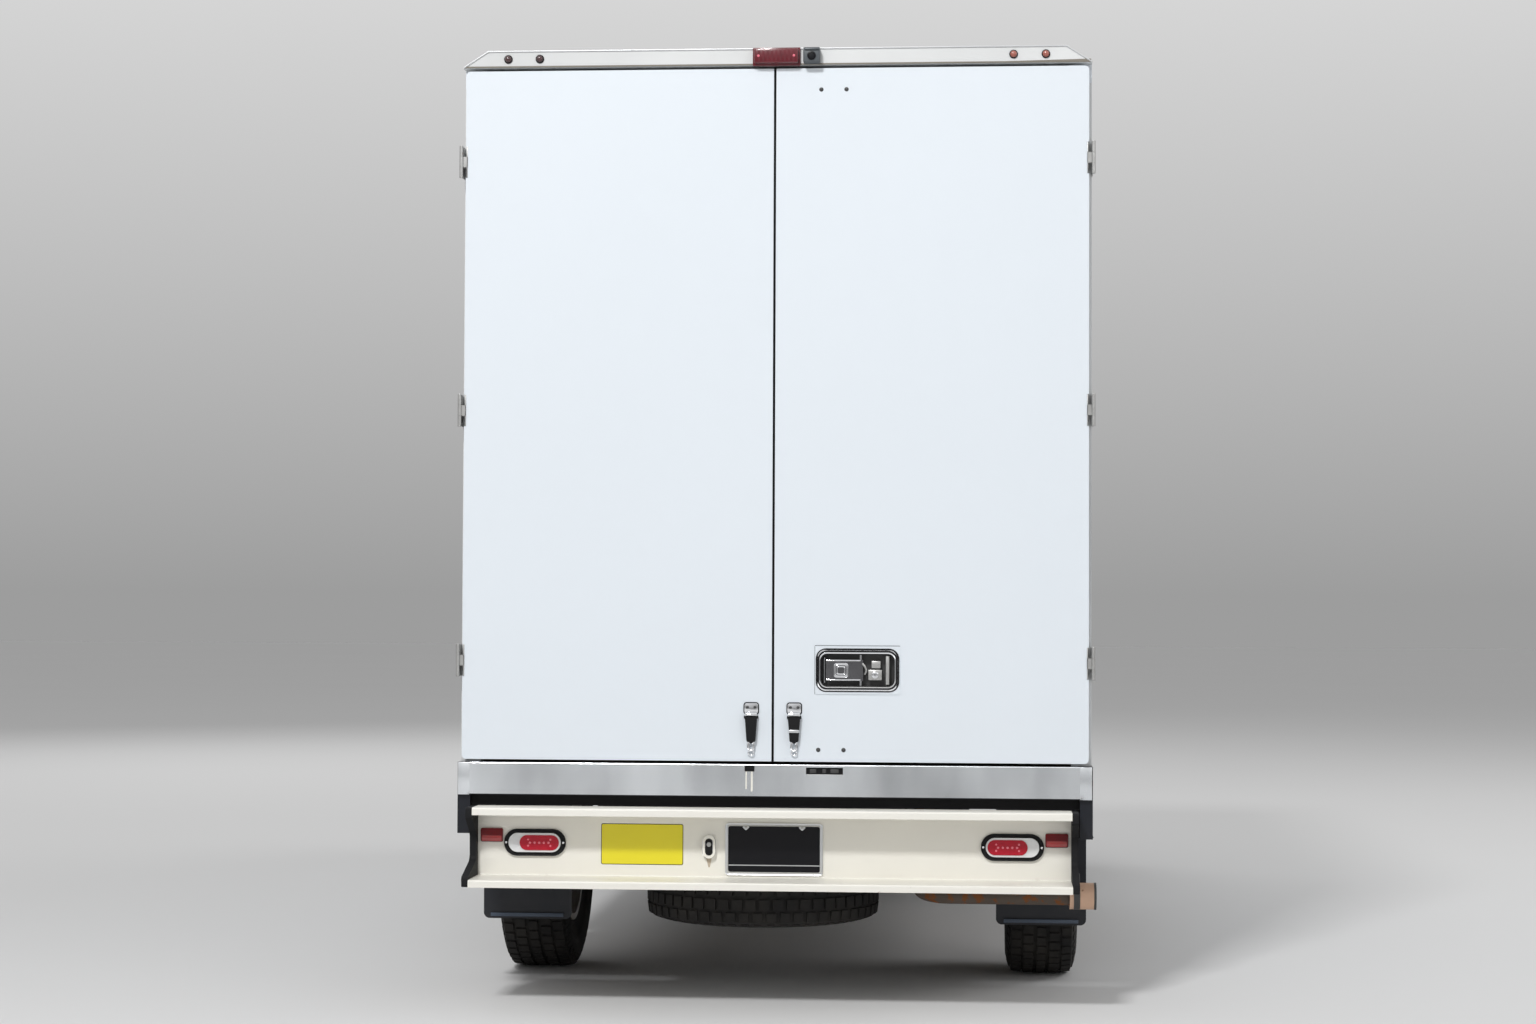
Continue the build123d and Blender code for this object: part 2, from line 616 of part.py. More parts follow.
def hinge_parts():
    """The right door's hinges: the frame's halves with their pins, and the door's halves.

    The door's leaf leaves its barrel on the side that faces the door, so that it stays clear of the frame's
    leaf when the door lies back against the body side.
    """
    frame_half = []
    door_half = []
    third = HINGE_H / 3
    for z in HINGE_LEVELS:
        low = z - HINGE_H / 2
        leaf = block(BOX_HALF, BOX_HALF + LEAF_T, PIN_Y, FRAME_BACK + 46, low, low + HINGE_H)
        leaf -= block(BOX_HALF - 9, BOX_HALF + 12, PIN_Y - 9, PIN_Y + 9, low + third - 0.5, low + 2 * third + 0.5)
        lower = disc_z(low, low + third - 0.5, PIN_X, PIN_Y, BARREL_R)
        upper = disc_z(low + 2 * third + 0.5, low + HINGE_H, PIN_X, PIN_Y, BARREL_R)
        pin = disc_z(low, low + HINGE_H, PIN_X, PIN_Y, PIN_R)
        frame_half.append(leaf + lower + upper + pin)
        barrel = disc_z(low + third, low + 2 * third, PIN_X, PIN_Y, BARREL_R)
        edge = BOX_HALF - DOOR_EDGE
        tangent = PIN_Y + BARREL_R
        tongue = block(edge - 6, PIN_X, tangent - LEAF_T, tangent, low + third, low + 2 * third)
        plate = block(edge - 6, edge - 3, tangent - LEAF_T, DOOR_FACE + DOOR_T - 2, low + 1, low + HINGE_H - 1)
        bore = disc_z(low, low + HINGE_H, PIN_X, PIN_Y, PIN_R + PIN_FIT)
        door_half.append(barrel + tongue + plate - bore)
    return Compound(children=frame_half), Compound(children=door_half)


frame_hinges, door_hinges = hinge_parts()
save("door_hinges", Compound(children=[frame_hinges, flip(frame_hinges)]))


def hold_back(x):
    """A door holder: a riveted bracket, a tapered rubber tongue and an eye."""
    top = DOOR_BOTTOM + 186
    back = DOOR_FACE - SEAT_GAP
    bracket = along_y(outline(square(x - 22, x + 22, top - 34, top, 8)), back - 4, back)
    bracket += disc_x(x - 16, x + 16, back - 10, top - 34, 9)
    rows = [(x - 19, top - 40, 4), (x + 19, top - 40, 4), (x + 13, top - 122, 6), (x - 13, top - 122, 6)]
    bracket += along_y(outline(rows), back - 18, back - 4)
    eye = along_y(outline(square(x - 11, x + 11, top - 152, top - 116, 10)), back - 16, back - 4)
    eye -= disc_y(back - 17, back - 3, x, top - 138, 6)
    return bracket + eye


HOLD_BACK_X = 69
hardware = Compound(children=[door_hinges, hold_back(HOLD_BACK_X)])
save("door_hardware_right", hardware)
save("door_hardware_left", flip(hardware))


def paddle_latch():
    """The recessed latch: cover plate, bezel and bowl, with the paddle on its pin and the lock beside it."""
    back = DOOR_FACE - SEAT_GAP
    floor = DOOR_FACE + LATCH_DEPTH
    half_w = BOWL[0] / 2
    half_h = BOWL[1] / 2
    shape = along_y(outline(round_rect(LATCH_PLATE, LATCH_X, LATCH_Z, 3)), back - 2, back)
    shape += along_y(outline(round_rect(BEZEL, LATCH_X, LATCH_Z, 30)), back - 12, back - 2)
    shape += along_y(outline(round_rect(BOWL, LATCH_X, LATCH_Z, 22, TRAY_T)), back, floor + TRAY_T)
    shape -= along_y(outline(round_rect(BOWL, LATCH_X, LATCH_Z, 20)), back - 13, floor)
    pin_x = LATCH_X + 10
    grip_rows = [
        (pin_x + 9, back + 9, 4),
        (LATCH_X - half_w + 20, back - 1, 3),
        (LATCH_X - half_w + 12, back - 9, 3),
        (LATCH_X - half_w + 28, back - 10, 6),
        (pin_x + 9, back - 3, 4),
    ]
    shape += along_z(outline(grip_rows), LATCH_Z - 34, LATCH_Z + 34)
    shape += disc_z(LATCH_Z - half_h - 1, LATCH_Z + half_h + 1, pin_x, back + 3, 4)
    boss = round_rect((46, 46), LATCH_X - 52, LATCH_Z, 8)
    shape += along_y(outline(boss), back - 12, back - 4)
    shape += block(LATCH_X + 34, LATCH_X + 78, back - 2, floor + 1, LATCH_Z - 32, LATCH_Z + 2)
    shape += disc_y(back - 5, back - 1, LATCH_X + 56, LATCH_Z - 15, 11)
    return shape + block(LATCH_X + 90, LATCH_X + 102, back - 4, floor + 1, LATCH_Z - half_h - 1, LATCH_Z + half_h + 1)


save("door_latch", paddle_latch())

# Step bumper: a channel whose lower flange reaches further back than the upper one
BUMPER_HALF = 951
BUMPER_TOP = 636
BUMPER_LOW = 389
UPPER_REACH = 115
STEEL = 6
LIP = 24
web_y = DOOR_FACE
bumper_rows = [
    (web_y + STEEL, BUMPER_LOW + LIP - STEEL, 8),
    (web_y + STEEL, BUMPER_TOP, 8),
    (web_y - UPPER_REACH, BUMPER_TOP, 6),
    (web_y - UPPER_REACH, BUMPER_TOP - LIP, 0),
    (web_y - UPPER_REACH + STEEL, BUMPER_TOP - LIP, 0),
    (web_y - UPPER_REACH + STEEL, BUMPER_TOP - STEEL, 0),
    (web_y, BUMPER_TOP - STEEL, 3),
    (web_y, BUMPER_LOW + LIP, 3),
    (REAR_END, BUMPER_LOW + LIP, 6),
    (REAR_END, BUMPER_LOW, 0),
    (REAR_END + STEEL, BUMPER_LOW, 0),
    (REAR_END + STEEL, BUMPER_LOW + LIP - STEEL, 0),
]
bumper = along_x(outline(bumper_rows), -BUMPER_HALF, BUMPER_HALF)
bracket = block(RAIL_OUT - 60, RAIL_OUT, web_y + STEEL, DOOR_FACE + 26 - SEAT_GAP, RAIL_TOP - RAIL_H, BUMPER_TOP - 6)
socket_rows = square(-223, -181, 473, 547, 20.5)
socket = along_y(outline(socket_rows), web_y - 14, web_y - SEAT_GAP) - disc_y(web_y - 15, web_y - 6, -202, 510, 12)
save("rear_bumper", Compound(children=[bumper + bracket + flip(bracket), socket]))

# Rear lamps on the bumper's web
LAMP_X = 765
LAMP_Z = 518
LAMP_W = 200
LAMP_H = 86
REFLECTOR_X = 905
REFLECTOR_Z = 541


def rear_lamp():
    """The right oval lamp in its flange, with the square reflector beside it."""
    face = web_y - SEAT_GAP
    half_w = LAMP_W / 2
    half_h = LAMP_H / 2
    ring_rows = square(LAMP_X - half_w, LAMP_X + half_w, LAMP_Z - half_h, LAMP_Z + half_h, half_h - 0.5)
    ring = along_y(outline(ring_rows), face - 8, face)
    lens_rows = square(LAMP_X - half_w + 16, LAMP_X + half_w - 16, LAMP_Z - half_h + 12, LAMP_Z + half_h - 12, half_h - 13)
    lens = along_y(outline(lens_rows), face - 16, face - 8)
    reflector_rows = square(REFLECTOR_X - 36, REFLECTOR_X + 36, REFLECTOR_Z - 22, REFLECTOR_Z + 22, 3)
    reflector = along_y(outline(reflector_rows), face - 8, face)
    return Compound(children=[ring + lens, reflector])


save("rear_lamps", both(rear_lamp()))

plate_face = web_y - SEAT_GAP
plate = along_y(outline(square(-150, 162, 421, 587, 10)), plate_face - 7, plate_face)
plate -= along_y(outline(square(-136, 148, 436, 572, 6)), plate_face - 8, plate_face - 3)
save("number_plate", plate)

# Lamps on the header and along the body
face = DOOR_FACE - 4 - SEAT_GAP
header_low = ROOF_TOP - HEADER_H
stop_lamp = block(-72, 82, face - 28, face, header_low + 2, ROOF_TOP)
stop_lamp = fillet(stop_lamp.edges().filter_by(Axis.X), 6)
save("stop_lamp", stop_lamp)
CAMERA_X = 119
CAMERA_W = 54
camera = block(CAMERA_X - CAMERA_W / 2, CAMERA_X + CAMERA_W / 2, face - 34, face, header_low + 2, ROOF_TOP - 4)
camera += disc_y(face - 40, face - 34, CAMERA_X, header_low + 24, 15)
save("camera_housing", camera)
MARKERS = (765, 868)
marker_z = ROOF_TOP - HEADER_H / 2
markers = []
for x in MARKERS:
    markers += [disc_y(face - 12, face, x * side, marker_z, 14) for side in (-1, 1)]
for x in (-180, 0, 180):
    markers.append(block(x - 45, x + 45, BOX_FRONT + SEAT_GAP, BOX_FRONT + 22, ROOF_TOP - 92, ROOF_TOP - 64))
for side in (-1, 1):
    for y in (DOOR_FACE + 260, BOX_FRONT - 260):
        edge = BOX_HALF + 3 + SEAT_GAP
        lamp = block(edge, edge + 10, y - 30, y + 30, 694, 722)
        markers.append(on_side(lamp, side))
save("marker_lamps", Compound(children=markers))

# Splash guards behind the rear tyres
GUARD_IN = 716
GUARD_LOW = 217
GUARD_CORNER = 20
guard_y = arch_back - SEAT_GAP
guard_top = RAIL_TOP - 150
flap = outline([
    (GUARD_IN, GUARD_LOW, GUARD_CORNER),
    (BOX_HALF, GUARD_LOW, GUARD_CORNER),
    (BOX_HALF, guard_top, 0),
    (GUARD_IN, guard_top, 0),
])
guard = along_y(flap, guard_y - 12, guard_y - 6)
guard += block(GUARD_IN, BOX_HALF, guard_y - 18, guard_y, guard_top, SILL_TOP - DECK_T - BEARER_H)
guard -= block(BOX_HALF - WALL - SEAT_GAP, BOX_HALF + 9, guard_y - 30, guard_y + 1, SKIRT_LOW - 6, SILL_TOP)
save("side_skirts", Compound(children=[skirt, flip(skirt), guard, flip(guard)]))


# Cab: the outer form is where a side view, a front view and a plan all meet

CAB_HALF = 990
ROOF_Z = 2100


def from_axle(rows):
    """Rows of (distance ahead of the front axle, z, corner radius) as rows of (y, z, corner radius)."""
    return [(FRONT_AXLE + ahead, z, r) for ahead, z, r in rows]


CAB_SIDE = from_axle((
    # ahead of the front axle, z, corner radius
    (-580, ROOF_Z, 150),
    (60, 1400, 60),
    (810, 1215, 110),
    (875, 620, 60),
    (820, CAB_BOTTOM, 0),
))
CAB_PLAN = (
    # x, y, corner radius; mirrored
    (CAB_HALF, FRONT_AXLE + 30, 500),
    (940, FRONT_AXLE + 770, 170),
    (720, FRONT_AXLE + 887, 200),
)
CAB_FRONT = (
    # x, z, corner radius; mirrored
    (945, CAB_BOTTOM, 0),
    (CAB_HALF, 900, 300),
    (CAB_HALF - 6, 1330, 120),
    (870, ROOF_Z + 12, 130),
)


def mirrored(rows):
    """Rows for the right half, with those of the left half added in reverse."""
    return list(rows) + [(-u, v, r) for u, v, r in reversed(rows)]


def cab_form(inset, open_by=0):
    """The cab's outer skin, moved inwards; open_by lengthens it through the back and the bottom."""
    back = CAB_BACK - open_by - inset
    low = CAB_BOTTOM - open_by - inset
    lean = (CAB_FRONT[1][0] - CAB_FRONT[0][0]) / (CAB_FRONT[1][1] - CAB_FRONT[0][1])
    tuck = (CAB_SIDE[-2][0] - CAB_SIDE[-1][0]) / (CAB_SIDE[-2][1] - CAB_SIDE[-1][1])
    side_rows = [(back, low, 0), (back, ROOF_Z - 20, 0)] + list(CAB_SIDE[:-1])
    side_rows.append((CAB_SIDE[-1][0] - tuck * (CAB_BOTTOM - low), low, 0))
    side_face = outline(side_rows)
    plan_face = outline(mirrored([(CAB_HALF, back, 0)] + list(CAB_PLAN)))
    front_rows = [(CAB_FRONT[0][0] - lean * (CAB_BOTTOM - low), low, 0)] + list(CAB_FRONT[1:])
    front_face = outline(mirrored(front_rows))
    if inset:
        side_face = offset(side_face, -inset)
        plan_face = offset(plan_face, -inset)
        front_face = offset(front_face, -inset)
    form = along_x(side_face, -CAB_HALF - 10, CAB_HALF + 10)
    form = form & along_y(front_face, back - 10, FRONT_END)
    return form & along_z(plan_face, low - 10, ROOF_Z + 50)


DOOR_SHAPE = from_axle((
    (-1305, 500, 60),
    (-1305, 2015, 50),
    (-670, 2015, 60),
    (-270, 1578, 80),
    (-270, 800, 60),
    (-445, 640, 60),
    (-445, 500, 60),
))
WINDOW_SHAPE = from_axle((
    (-1230, 1400, 50),
    (-1230, 1930, 50),
    (-695, 1930, 50),
    (-350, 1548, 50),
    (-350, 1400, 50),
))
FRONT_BUMPER_LOW = 440
FRONT_BUMPER_TOP = 650
BUMPER_BACK = FRONT_AXLE + 525
outer = cab_form(0)
inner = cab_form(CAB_WALL, 40)
shell = outer - inner
far = CAB_HALF + 20
door_cut = along_x(outline(DOOR_SHAPE), 600, far)
door_fit = along_x(offset(outline(DOOR_SHAPE), -PANEL_GAP), 600, far)
window = along_x(outline(WINDOW_SHAPE), 600, far)
window_fit = along_x(offset(outline(WINDOW_SHAPE), -SEAT_GAP), 600, far)
glazing = cab_form(GLASS_INSET) - cab_form(GLASS_INSET + GLASS_T, 40)

# The windscreen opening, drawn on the plane of the screen
low_y, low_z = CAB_SIDE[1][:2]
top_y, top_z = CAB_SIDE[0][:2]
rake = Vector(0, top_y - low_y, top_z - low_z).normalized()
screen_mid = (0, (low_y + top_y) / 2, (low_z + top_z) / 2)
screen_plane = Plane(origin=screen_mid, x_dir=(1, 0, 0), z_dir=Vector(1, 0, 0).cross(rake))
SCREEN = (
    # x, distance up the screen from its middle, corner radius; mirrored
    (850, -395, 70),
    (745, 360, 80),
)
screen_face = outline(mirrored(SCREEN))
screen_cut = extrude(screen_plane * screen_face, 160, both=True)
screen_fit = extrude(screen_plane * offset(screen_face, -SEAT_GAP), 160, both=True)

BONNET = square(-730, 730, FRONT_AXLE + 120, FRONT_AXLE + 785, 60)
bonnet_cut = along_z(outline(BONNET), 1100, 1500)
bonnet_fit = along_z(offset(outline(BONNET), -PANEL_GAP), 1100, 1500)
GRILLE_HALF = 500
GRILLE_LOW = 770
GRILLE_HIGH = 1060
GRILLE = square(-GRILLE_HALF, GRILLE_HALF, GRILLE_LOW, GRILLE_HIGH, 40)
NOSE_BACK = FRONT_AXLE + 730   # behind the skin of the nose
grille_cut = along_y(outline(GRILLE), NOSE_BACK, FRONT_END)
grille_fit = along_y(offset(outline(GRILLE), -SEAT_GAP), NOSE_BACK, FRONT_END)
HEADLAMP = square(GRILLE_HALF + 60, 905, 800, 1030, 50)
LAMP_BACK = FRONT_AXLE + 530   # the headlamps wrap round the nose's corners
lamp_cut = along_y(outline(HEADLAMP), LAMP_BACK, FRONT_END)
lamp_fit = along_y(offset(outline(HEADLAMP), -SEAT_GAP), LAMP_BACK, FRONT_END)

shell -= door_cut + flip(door_cut)
shell -= screen_cut
shell -= bonnet_cut
shell -= grille_cut
shell -= lamp_cut + flip(lamp_cut)
shell -= disc_x(-far, far, FRONT_AXLE, WHEEL_Z, ARCH_R)
shell -= block(-far, far, BUMPER_BACK - 15, FRONT_END, CAB_BOTTOM - 10, FRONT_BUMPER_TOP + 15)

# Cab door hinges: the pin stands just outside the skin, level with the door's front edge
CAB_PIN_X = CAB_HALF + 2
CAB_PIN_Y = DOOR_SHAPE[3][0] + 3
CAB_HINGE_LEVELS = (880, 1290)
CAB_HINGE_H = 75
CAB_BARREL_R = 7
CAB_PIN_R = 4
cab_door = ((outer - inner) & door_fit) - window
for z in CAB_HINGE_LEVELS:
    third = CAB_HINGE_H / 3
    low = z - CAB_HINGE_H / 2
    room = disc_z(low + third - 0.5, low + 2 * third + 0.5, CAB_PIN_X, CAB_PIN_Y, CAB_BARREL_R + 2.5)
    post = disc_z(low, low + CAB_HINGE_H, CAB_PIN_X, CAB_PIN_Y, CAB_BARREL_R)
    post += block(CAB_HALF - 14, CAB_PIN_X, CAB_PIN_Y, CAB_PIN_Y + 24, low, low + CAB_HINGE_H)
    pin = disc_z(low, low + CAB_HINGE_H, CAB_PIN_X, CAB_PIN_Y, CAB_PIN_R)
    shell += post + flip(post)
    shell -= room + flip(room)
    shell += pin + flip(pin)
    eye = disc_z(low + third, low + 2 * third, CAB_PIN_X, CAB_PIN_Y, CAB_BARREL_R)
    eye += block(CAB_PIN_X - 8, CAB_PIN_X + 4, CAB_PIN_Y - 28, CAB_PIN_Y, low + third, low + 2 * third)
    cab_door += eye - disc_z(low, low + CAB_HINGE_H, CAB_PIN_X, CAB_PIN_Y, CAB_PIN_R + PIN_FIT)

# Bonnet hinges: an arm from the bonnet's rear edge to a pin in a slot of the scuttle
BONNET_PIN_Y = FRONT_AXLE + 90
BONNET_PIN_Z = 1372
BONNET_PIN_R = 5
ARM_X = 600
ARM_W = 20
slot = block(ARM_X - ARM_W / 2 - 3, ARM_X + ARM_W / 2 + 3, BONNET_PIN_Y - 15, BONNET[0][1] + 1, 1300, 1450)
pin = disc_x(ARM_X - ARM_W, ARM_X + ARM_W, BONNET_PIN_Y, BONNET_PIN_Z, BONNET_PIN_R)
shell -= slot + flip(slot)
shell += pin + flip(pin)
save("cab_shell", shell)

save("cab_door_right", cab_door)
save("cab_door_left", flip(cab_door))
door_glass = glazing & window_fit
save("cab_glass_right", door_glass)
save("cab_glass_left", flip(door_glass))
save("windscreen", glazing & screen_fit)

bonnet = (outer - cab_form(30, 40)) & bonnet_fit
arm = disc_x(ARM_X - ARM_W / 2, ARM_X + ARM_W / 2, BONNET_PIN_Y, BONNET_PIN_Z, 10)
arm += block(ARM_X - ARM_W / 2, ARM_X + ARM_W / 2, BONNET_PIN_Y, BONNET[0][1] + 20, BONNET_PIN_Z - 10, BONNET_PIN_Z + 8)
arm -= disc_x(ARM_X - ARM_W, ARM_X + ARM_W, BONNET_PIN_Y, BONNET_PIN_Z, BONNET_PIN_R + PIN_FIT)
save("bonnet", bonnet + arm + flip(arm))

grille_ring = cab_form(6) - cab_form(40, 40)
grille = grille_ring & grille_fit
SLATS = 5
slot_h = 30
GRILLE_RIM = 20
slot_w = GRILLE_HALF - 70
pitch = (GRILLE_HIGH - GRILLE_LOW - 2 * GRILLE_RIM) / SLATS
for i in range(SLATS):
    z = GRILLE_LOW + GRILLE_RIM + pitch * (i + 0.5)
    for x in (-240, 240):
        opening = square(x - slot_w / 2, x + slot_w / 2, z - slot_h / 2, z + slot_h / 2, 10)
        grille -= along_y(outline(opening), NOSE_BACK, FRONT_END)
save("grille", grille)
headlamp = (cab_form(2) - cab_form(40, 40)) & lamp_fit
save("headlamps", both(headlamp))

FRONT_BUMPER_HALF = 985
BUMPER_WALL = 50
bumper_rows = [
    (FRONT_BUMPER_HALF, BUMPER_BACK, 30),
    (FRONT_BUMPER_HALF, BUMPER_BACK + 245, 150),
    (800, FRONT_END, 160),
]
bumper_face = outline(mirrored(bumper_rows))
front_bumper = along_z(bumper_face, FRONT_BUMPER_LOW, FRONT_BUMPER_TOP)
front_bumper = fillet(front_bumper.edges().group_by(Axis.Z)[-1], 20)
hollow_rows = [
    (FRONT_BUMPER_HALF - BUMPER_WALL, BUMPER_BACK - 95, 0),
    (FRONT_BUMPER_HALF - BUMPER_WALL, BUMPER_BACK + 235, 110),
    (790, FRONT_END - 60 + SEAT_GAP, 110),
]
front_bumper -= along_z(outline(mirrored(hollow_rows)), FRONT_BUMPER_LOW - 10, FRONT_BUMPER_TOP - 20)
save("front_bumper", front_bumper)

# Cab floor, toe board and bulkhead in one pressing
TOE_BOARD = FRONT_AXLE - 445
ARCH_TOP = 910            # floor over the front wheels
BULKHEAD_TOP = 1345
floor_rows = [
    (CAB_BACK, CAB_FLOOR_TOP - FLOOR_T, 0),
    (TOE_BOARD + FLOOR_T, CAB_FLOOR_TOP - FLOOR_T, 0),
    (TOE_BOARD + FLOOR_T, ARCH_TOP - FLOOR_T, 0),
    (BULKHEAD + FLOOR_T, ARCH_TOP - FLOOR_T, 0),
    (BULKHEAD + FLOOR_T, BULKHEAD_TOP, 0),
    (BULKHEAD, BULKHEAD_TOP, 0),
    (BULKHEAD, ARCH_TOP, 0),
    (TOE_BOARD, ARCH_TOP, 0),
    (TOE_BOARD, CAB_FLOOR_TOP, 0),
    (CAB_BACK, CAB_FLOOR_TOP, 0),
]
pressing = along_x(outline(floor_rows), -CAB_HALF, CAB_HALF)
cab_floor = pressing & cab_form(CAB_WALL + PANEL_GAP, 60)
flanges = pressing & cab_form(CAB_WALL + SEAT_GAP, 60)
cab_floor += flanges & block(-CAB_HALF, CAB_HALF, CAB_BACK, DOOR_SHAPE[0][0] - PANEL_GAP, 0, ROOF_Z)
cab_floor += flanges & block(-CAB_HALF, CAB_HALF, DOOR_SHAPE[3][0] + PANEL_GAP, BULKHEAD + FLOOR_T, 0, ROOF_Z)
for y in (CAB_BACK + 170, TOE_BOARD - 185):
    mount = block(RAIL_OUT - 50, RAIL_OUT - 5, y - 40, y + 40, RAIL_TOP - RAIL_DROP + SEAT_GAP, CAB_FLOOR_TOP - 5)
    cab_floor += mount
    cab_floor += flip(mount)
SEAT_X = 470
SEAT_W = 500
SEAT_LOW = 860            # underside of the cushion
PEDESTAL_W = 380
PEDESTAL_BACK = FRONT_AXLE - 1230
PEDESTAL_L = 420
for x in (-SEAT_X, SEAT_X):
    left = x - PEDESTAL_W / 2
    cab_floor += block(left, left + PEDESTAL_W, PEDESTAL_BACK, PEDESTAL_BACK + PEDESTAL_L, CAB_FLOOR_TOP - 1,
                       SEAT_LOW - SEAT_GAP)
save("cab_floor", cab_floor)

# Seats, dashboard and steering wheel
HEAD_REST_W = 260


def seat(x):
    """A seat: cushion, back and head rest as one closed solid on a pedestal."""
    side_rows = from_axle((
        (-1270, SEAT_LOW, 20),
        (-740, SEAT_LOW, 40),
        (-720, 1000, 40),
        (-1140, 985, 40),
        (-1250, 1560, 40),
        (-1265, 1760, 25),
        (-1335, 1760, 25),
        (-1360, 1560, 30),
    ))
    half = SEAT_W / 2
    back = FRONT_AXLE - 1470
    body = along_x(outline(side_rows), x - half, x + half)
    for side in (-1, 1):
        head = x + side * HEAD_REST_W / 2
        outside = x + side * (half + 10)
        body -= block(min(head, outside), max(head, outside), back, back + 300, 1580, 1800)
    return fillet(body.edges().group_by(Axis.X)[0] + body.edges().group_by(Axis.X)[-1], 12)


save("seats", Compound(children=[seat(-SEAT_X), seat(SEAT_X)]))

dash_rows = [
    (FRONT_AXLE - 310, 1120, 40),
    (FRONT_AXLE - 370, 1290, 40),
    (FRONT_AXLE - 310, 1370, 40),
    (BULKHEAD - SEAT_GAP, BULKHEAD_TOP, 0),
    (BULKHEAD - SEAT_GAP, 1050, 0),
    (FRONT_AXLE - 170, 1050, 60),
]
dash = along_x(outline(dash_rows), -CAB_HALF, CAB_HALF) & cab_form(CAB_WALL + 25, 60)

# Steering wheel on a raked column
WHEEL_TILT = 35
COLUMN_FOOT = Vector(-SEAT_X, FRONT_AXLE - 340, 1215)
tilt = math.radians(WHEEL_TILT)
column_plane = Plane(origin=COLUMN_FOOT, x_dir=(1, 0, 0), z_dir=(0, -math.cos(tilt), math.sin(tilt)))
wheel_rim = Pos(0, 0, 170) * Torus(190, 15)
spokes = [Pos(0, 0, 165) * Rot(0, 0, a) * Pos(92, 0, 0) * Box(190, 34, 14) for a in (0, 180, 270)]
SHAFT_R = 10
wheel = wheel_rim + spokes + Pos(0, 0, 155) * Cylinder(52, 40) + Pos(0, 0, 100) * Cylinder(SHAFT_R, 80)
save("steering_wheel", column_plane * wheel)
column = column_plane * Pos(0, 0, 50) * Cylinder(34, 160)
bore = column_plane * Pos(0, 0, 95) * Cylinder(SHAFT_R + PIN_FIT, 80)
save("dashboard", dash + column - bore)


MIRROR_IN = CAB_HALF + 34
MIRROR_W = 144
MIRROR_D = 64
MIRROR_LOW = 1420
MIRROR_HIGH = 1760
MIRROR_Y = FRONT_AXLE - 282
ARM_D = 22


def mirror_head():
    """The right door mirror on a two-bar arm."""
    back = MIRROR_Y - MIRROR_D / 2
    head = block(MIRROR_IN, MIRROR_IN + MIRROR_W, back, back + MIRROR_D, MIRROR_LOW, MIRROR_HIGH)
    head = fillet(head.edges(), 24)
    for z in (MIRROR_LOW + 10, MIRROR_LOW + 80):
        head += block(CAB_HALF - 50, MIRROR_IN + 40, back + 2, back + 2 + ARM_D, z, z + ARM_D)
    return head


door_mirror = mirror_head() - cab_form(0, 40)
save("mirror_right", door_mirror)
save("mirror_left", flip(door_mirror))
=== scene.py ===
import logging
import math
from dataclasses import dataclass
from enum import Enum
from typing import Sequence

import bmesh
import bpy
from mathutils import Matrix, Vector
from mathutils.bvhtree import BVHTree


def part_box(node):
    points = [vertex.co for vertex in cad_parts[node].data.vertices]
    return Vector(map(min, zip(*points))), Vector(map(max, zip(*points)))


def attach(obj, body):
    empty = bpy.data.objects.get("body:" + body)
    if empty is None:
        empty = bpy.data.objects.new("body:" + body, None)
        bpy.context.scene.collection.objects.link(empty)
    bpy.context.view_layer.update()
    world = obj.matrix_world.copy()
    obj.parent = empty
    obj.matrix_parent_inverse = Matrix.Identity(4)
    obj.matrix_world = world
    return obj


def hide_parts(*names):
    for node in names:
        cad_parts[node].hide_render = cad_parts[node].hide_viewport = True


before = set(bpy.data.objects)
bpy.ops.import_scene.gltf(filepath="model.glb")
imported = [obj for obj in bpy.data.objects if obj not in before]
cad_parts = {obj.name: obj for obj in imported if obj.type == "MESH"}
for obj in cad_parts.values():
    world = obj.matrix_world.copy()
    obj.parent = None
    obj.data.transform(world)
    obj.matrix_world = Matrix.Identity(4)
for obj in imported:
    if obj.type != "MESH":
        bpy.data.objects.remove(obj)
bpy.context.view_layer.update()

LOG = logging.getLogger("cutaway_van")

Colour = tuple[float, float, float]
Point = tuple[float, float, float]
Flat = tuple[float, float]


class Axis(Enum):
    """The axis that a profile is extruded or turned along."""

    X = 0
    Y = 1
    Z = 2


class Side(Enum):
    """A side of the vehicle, with the sign of its x."""

    LEFT = -1
    RIGHT = 1

    @property
    def word(self) -> str:
        """The side's word, as the bodies are named."""
        return self.name.lower()


class Body(Enum):
    """The body that a piece rides on, where it has no side."""

    CHASSIS = "chassis"
    STEERING_WHEEL = "steering_wheel"


# Node groups and trees


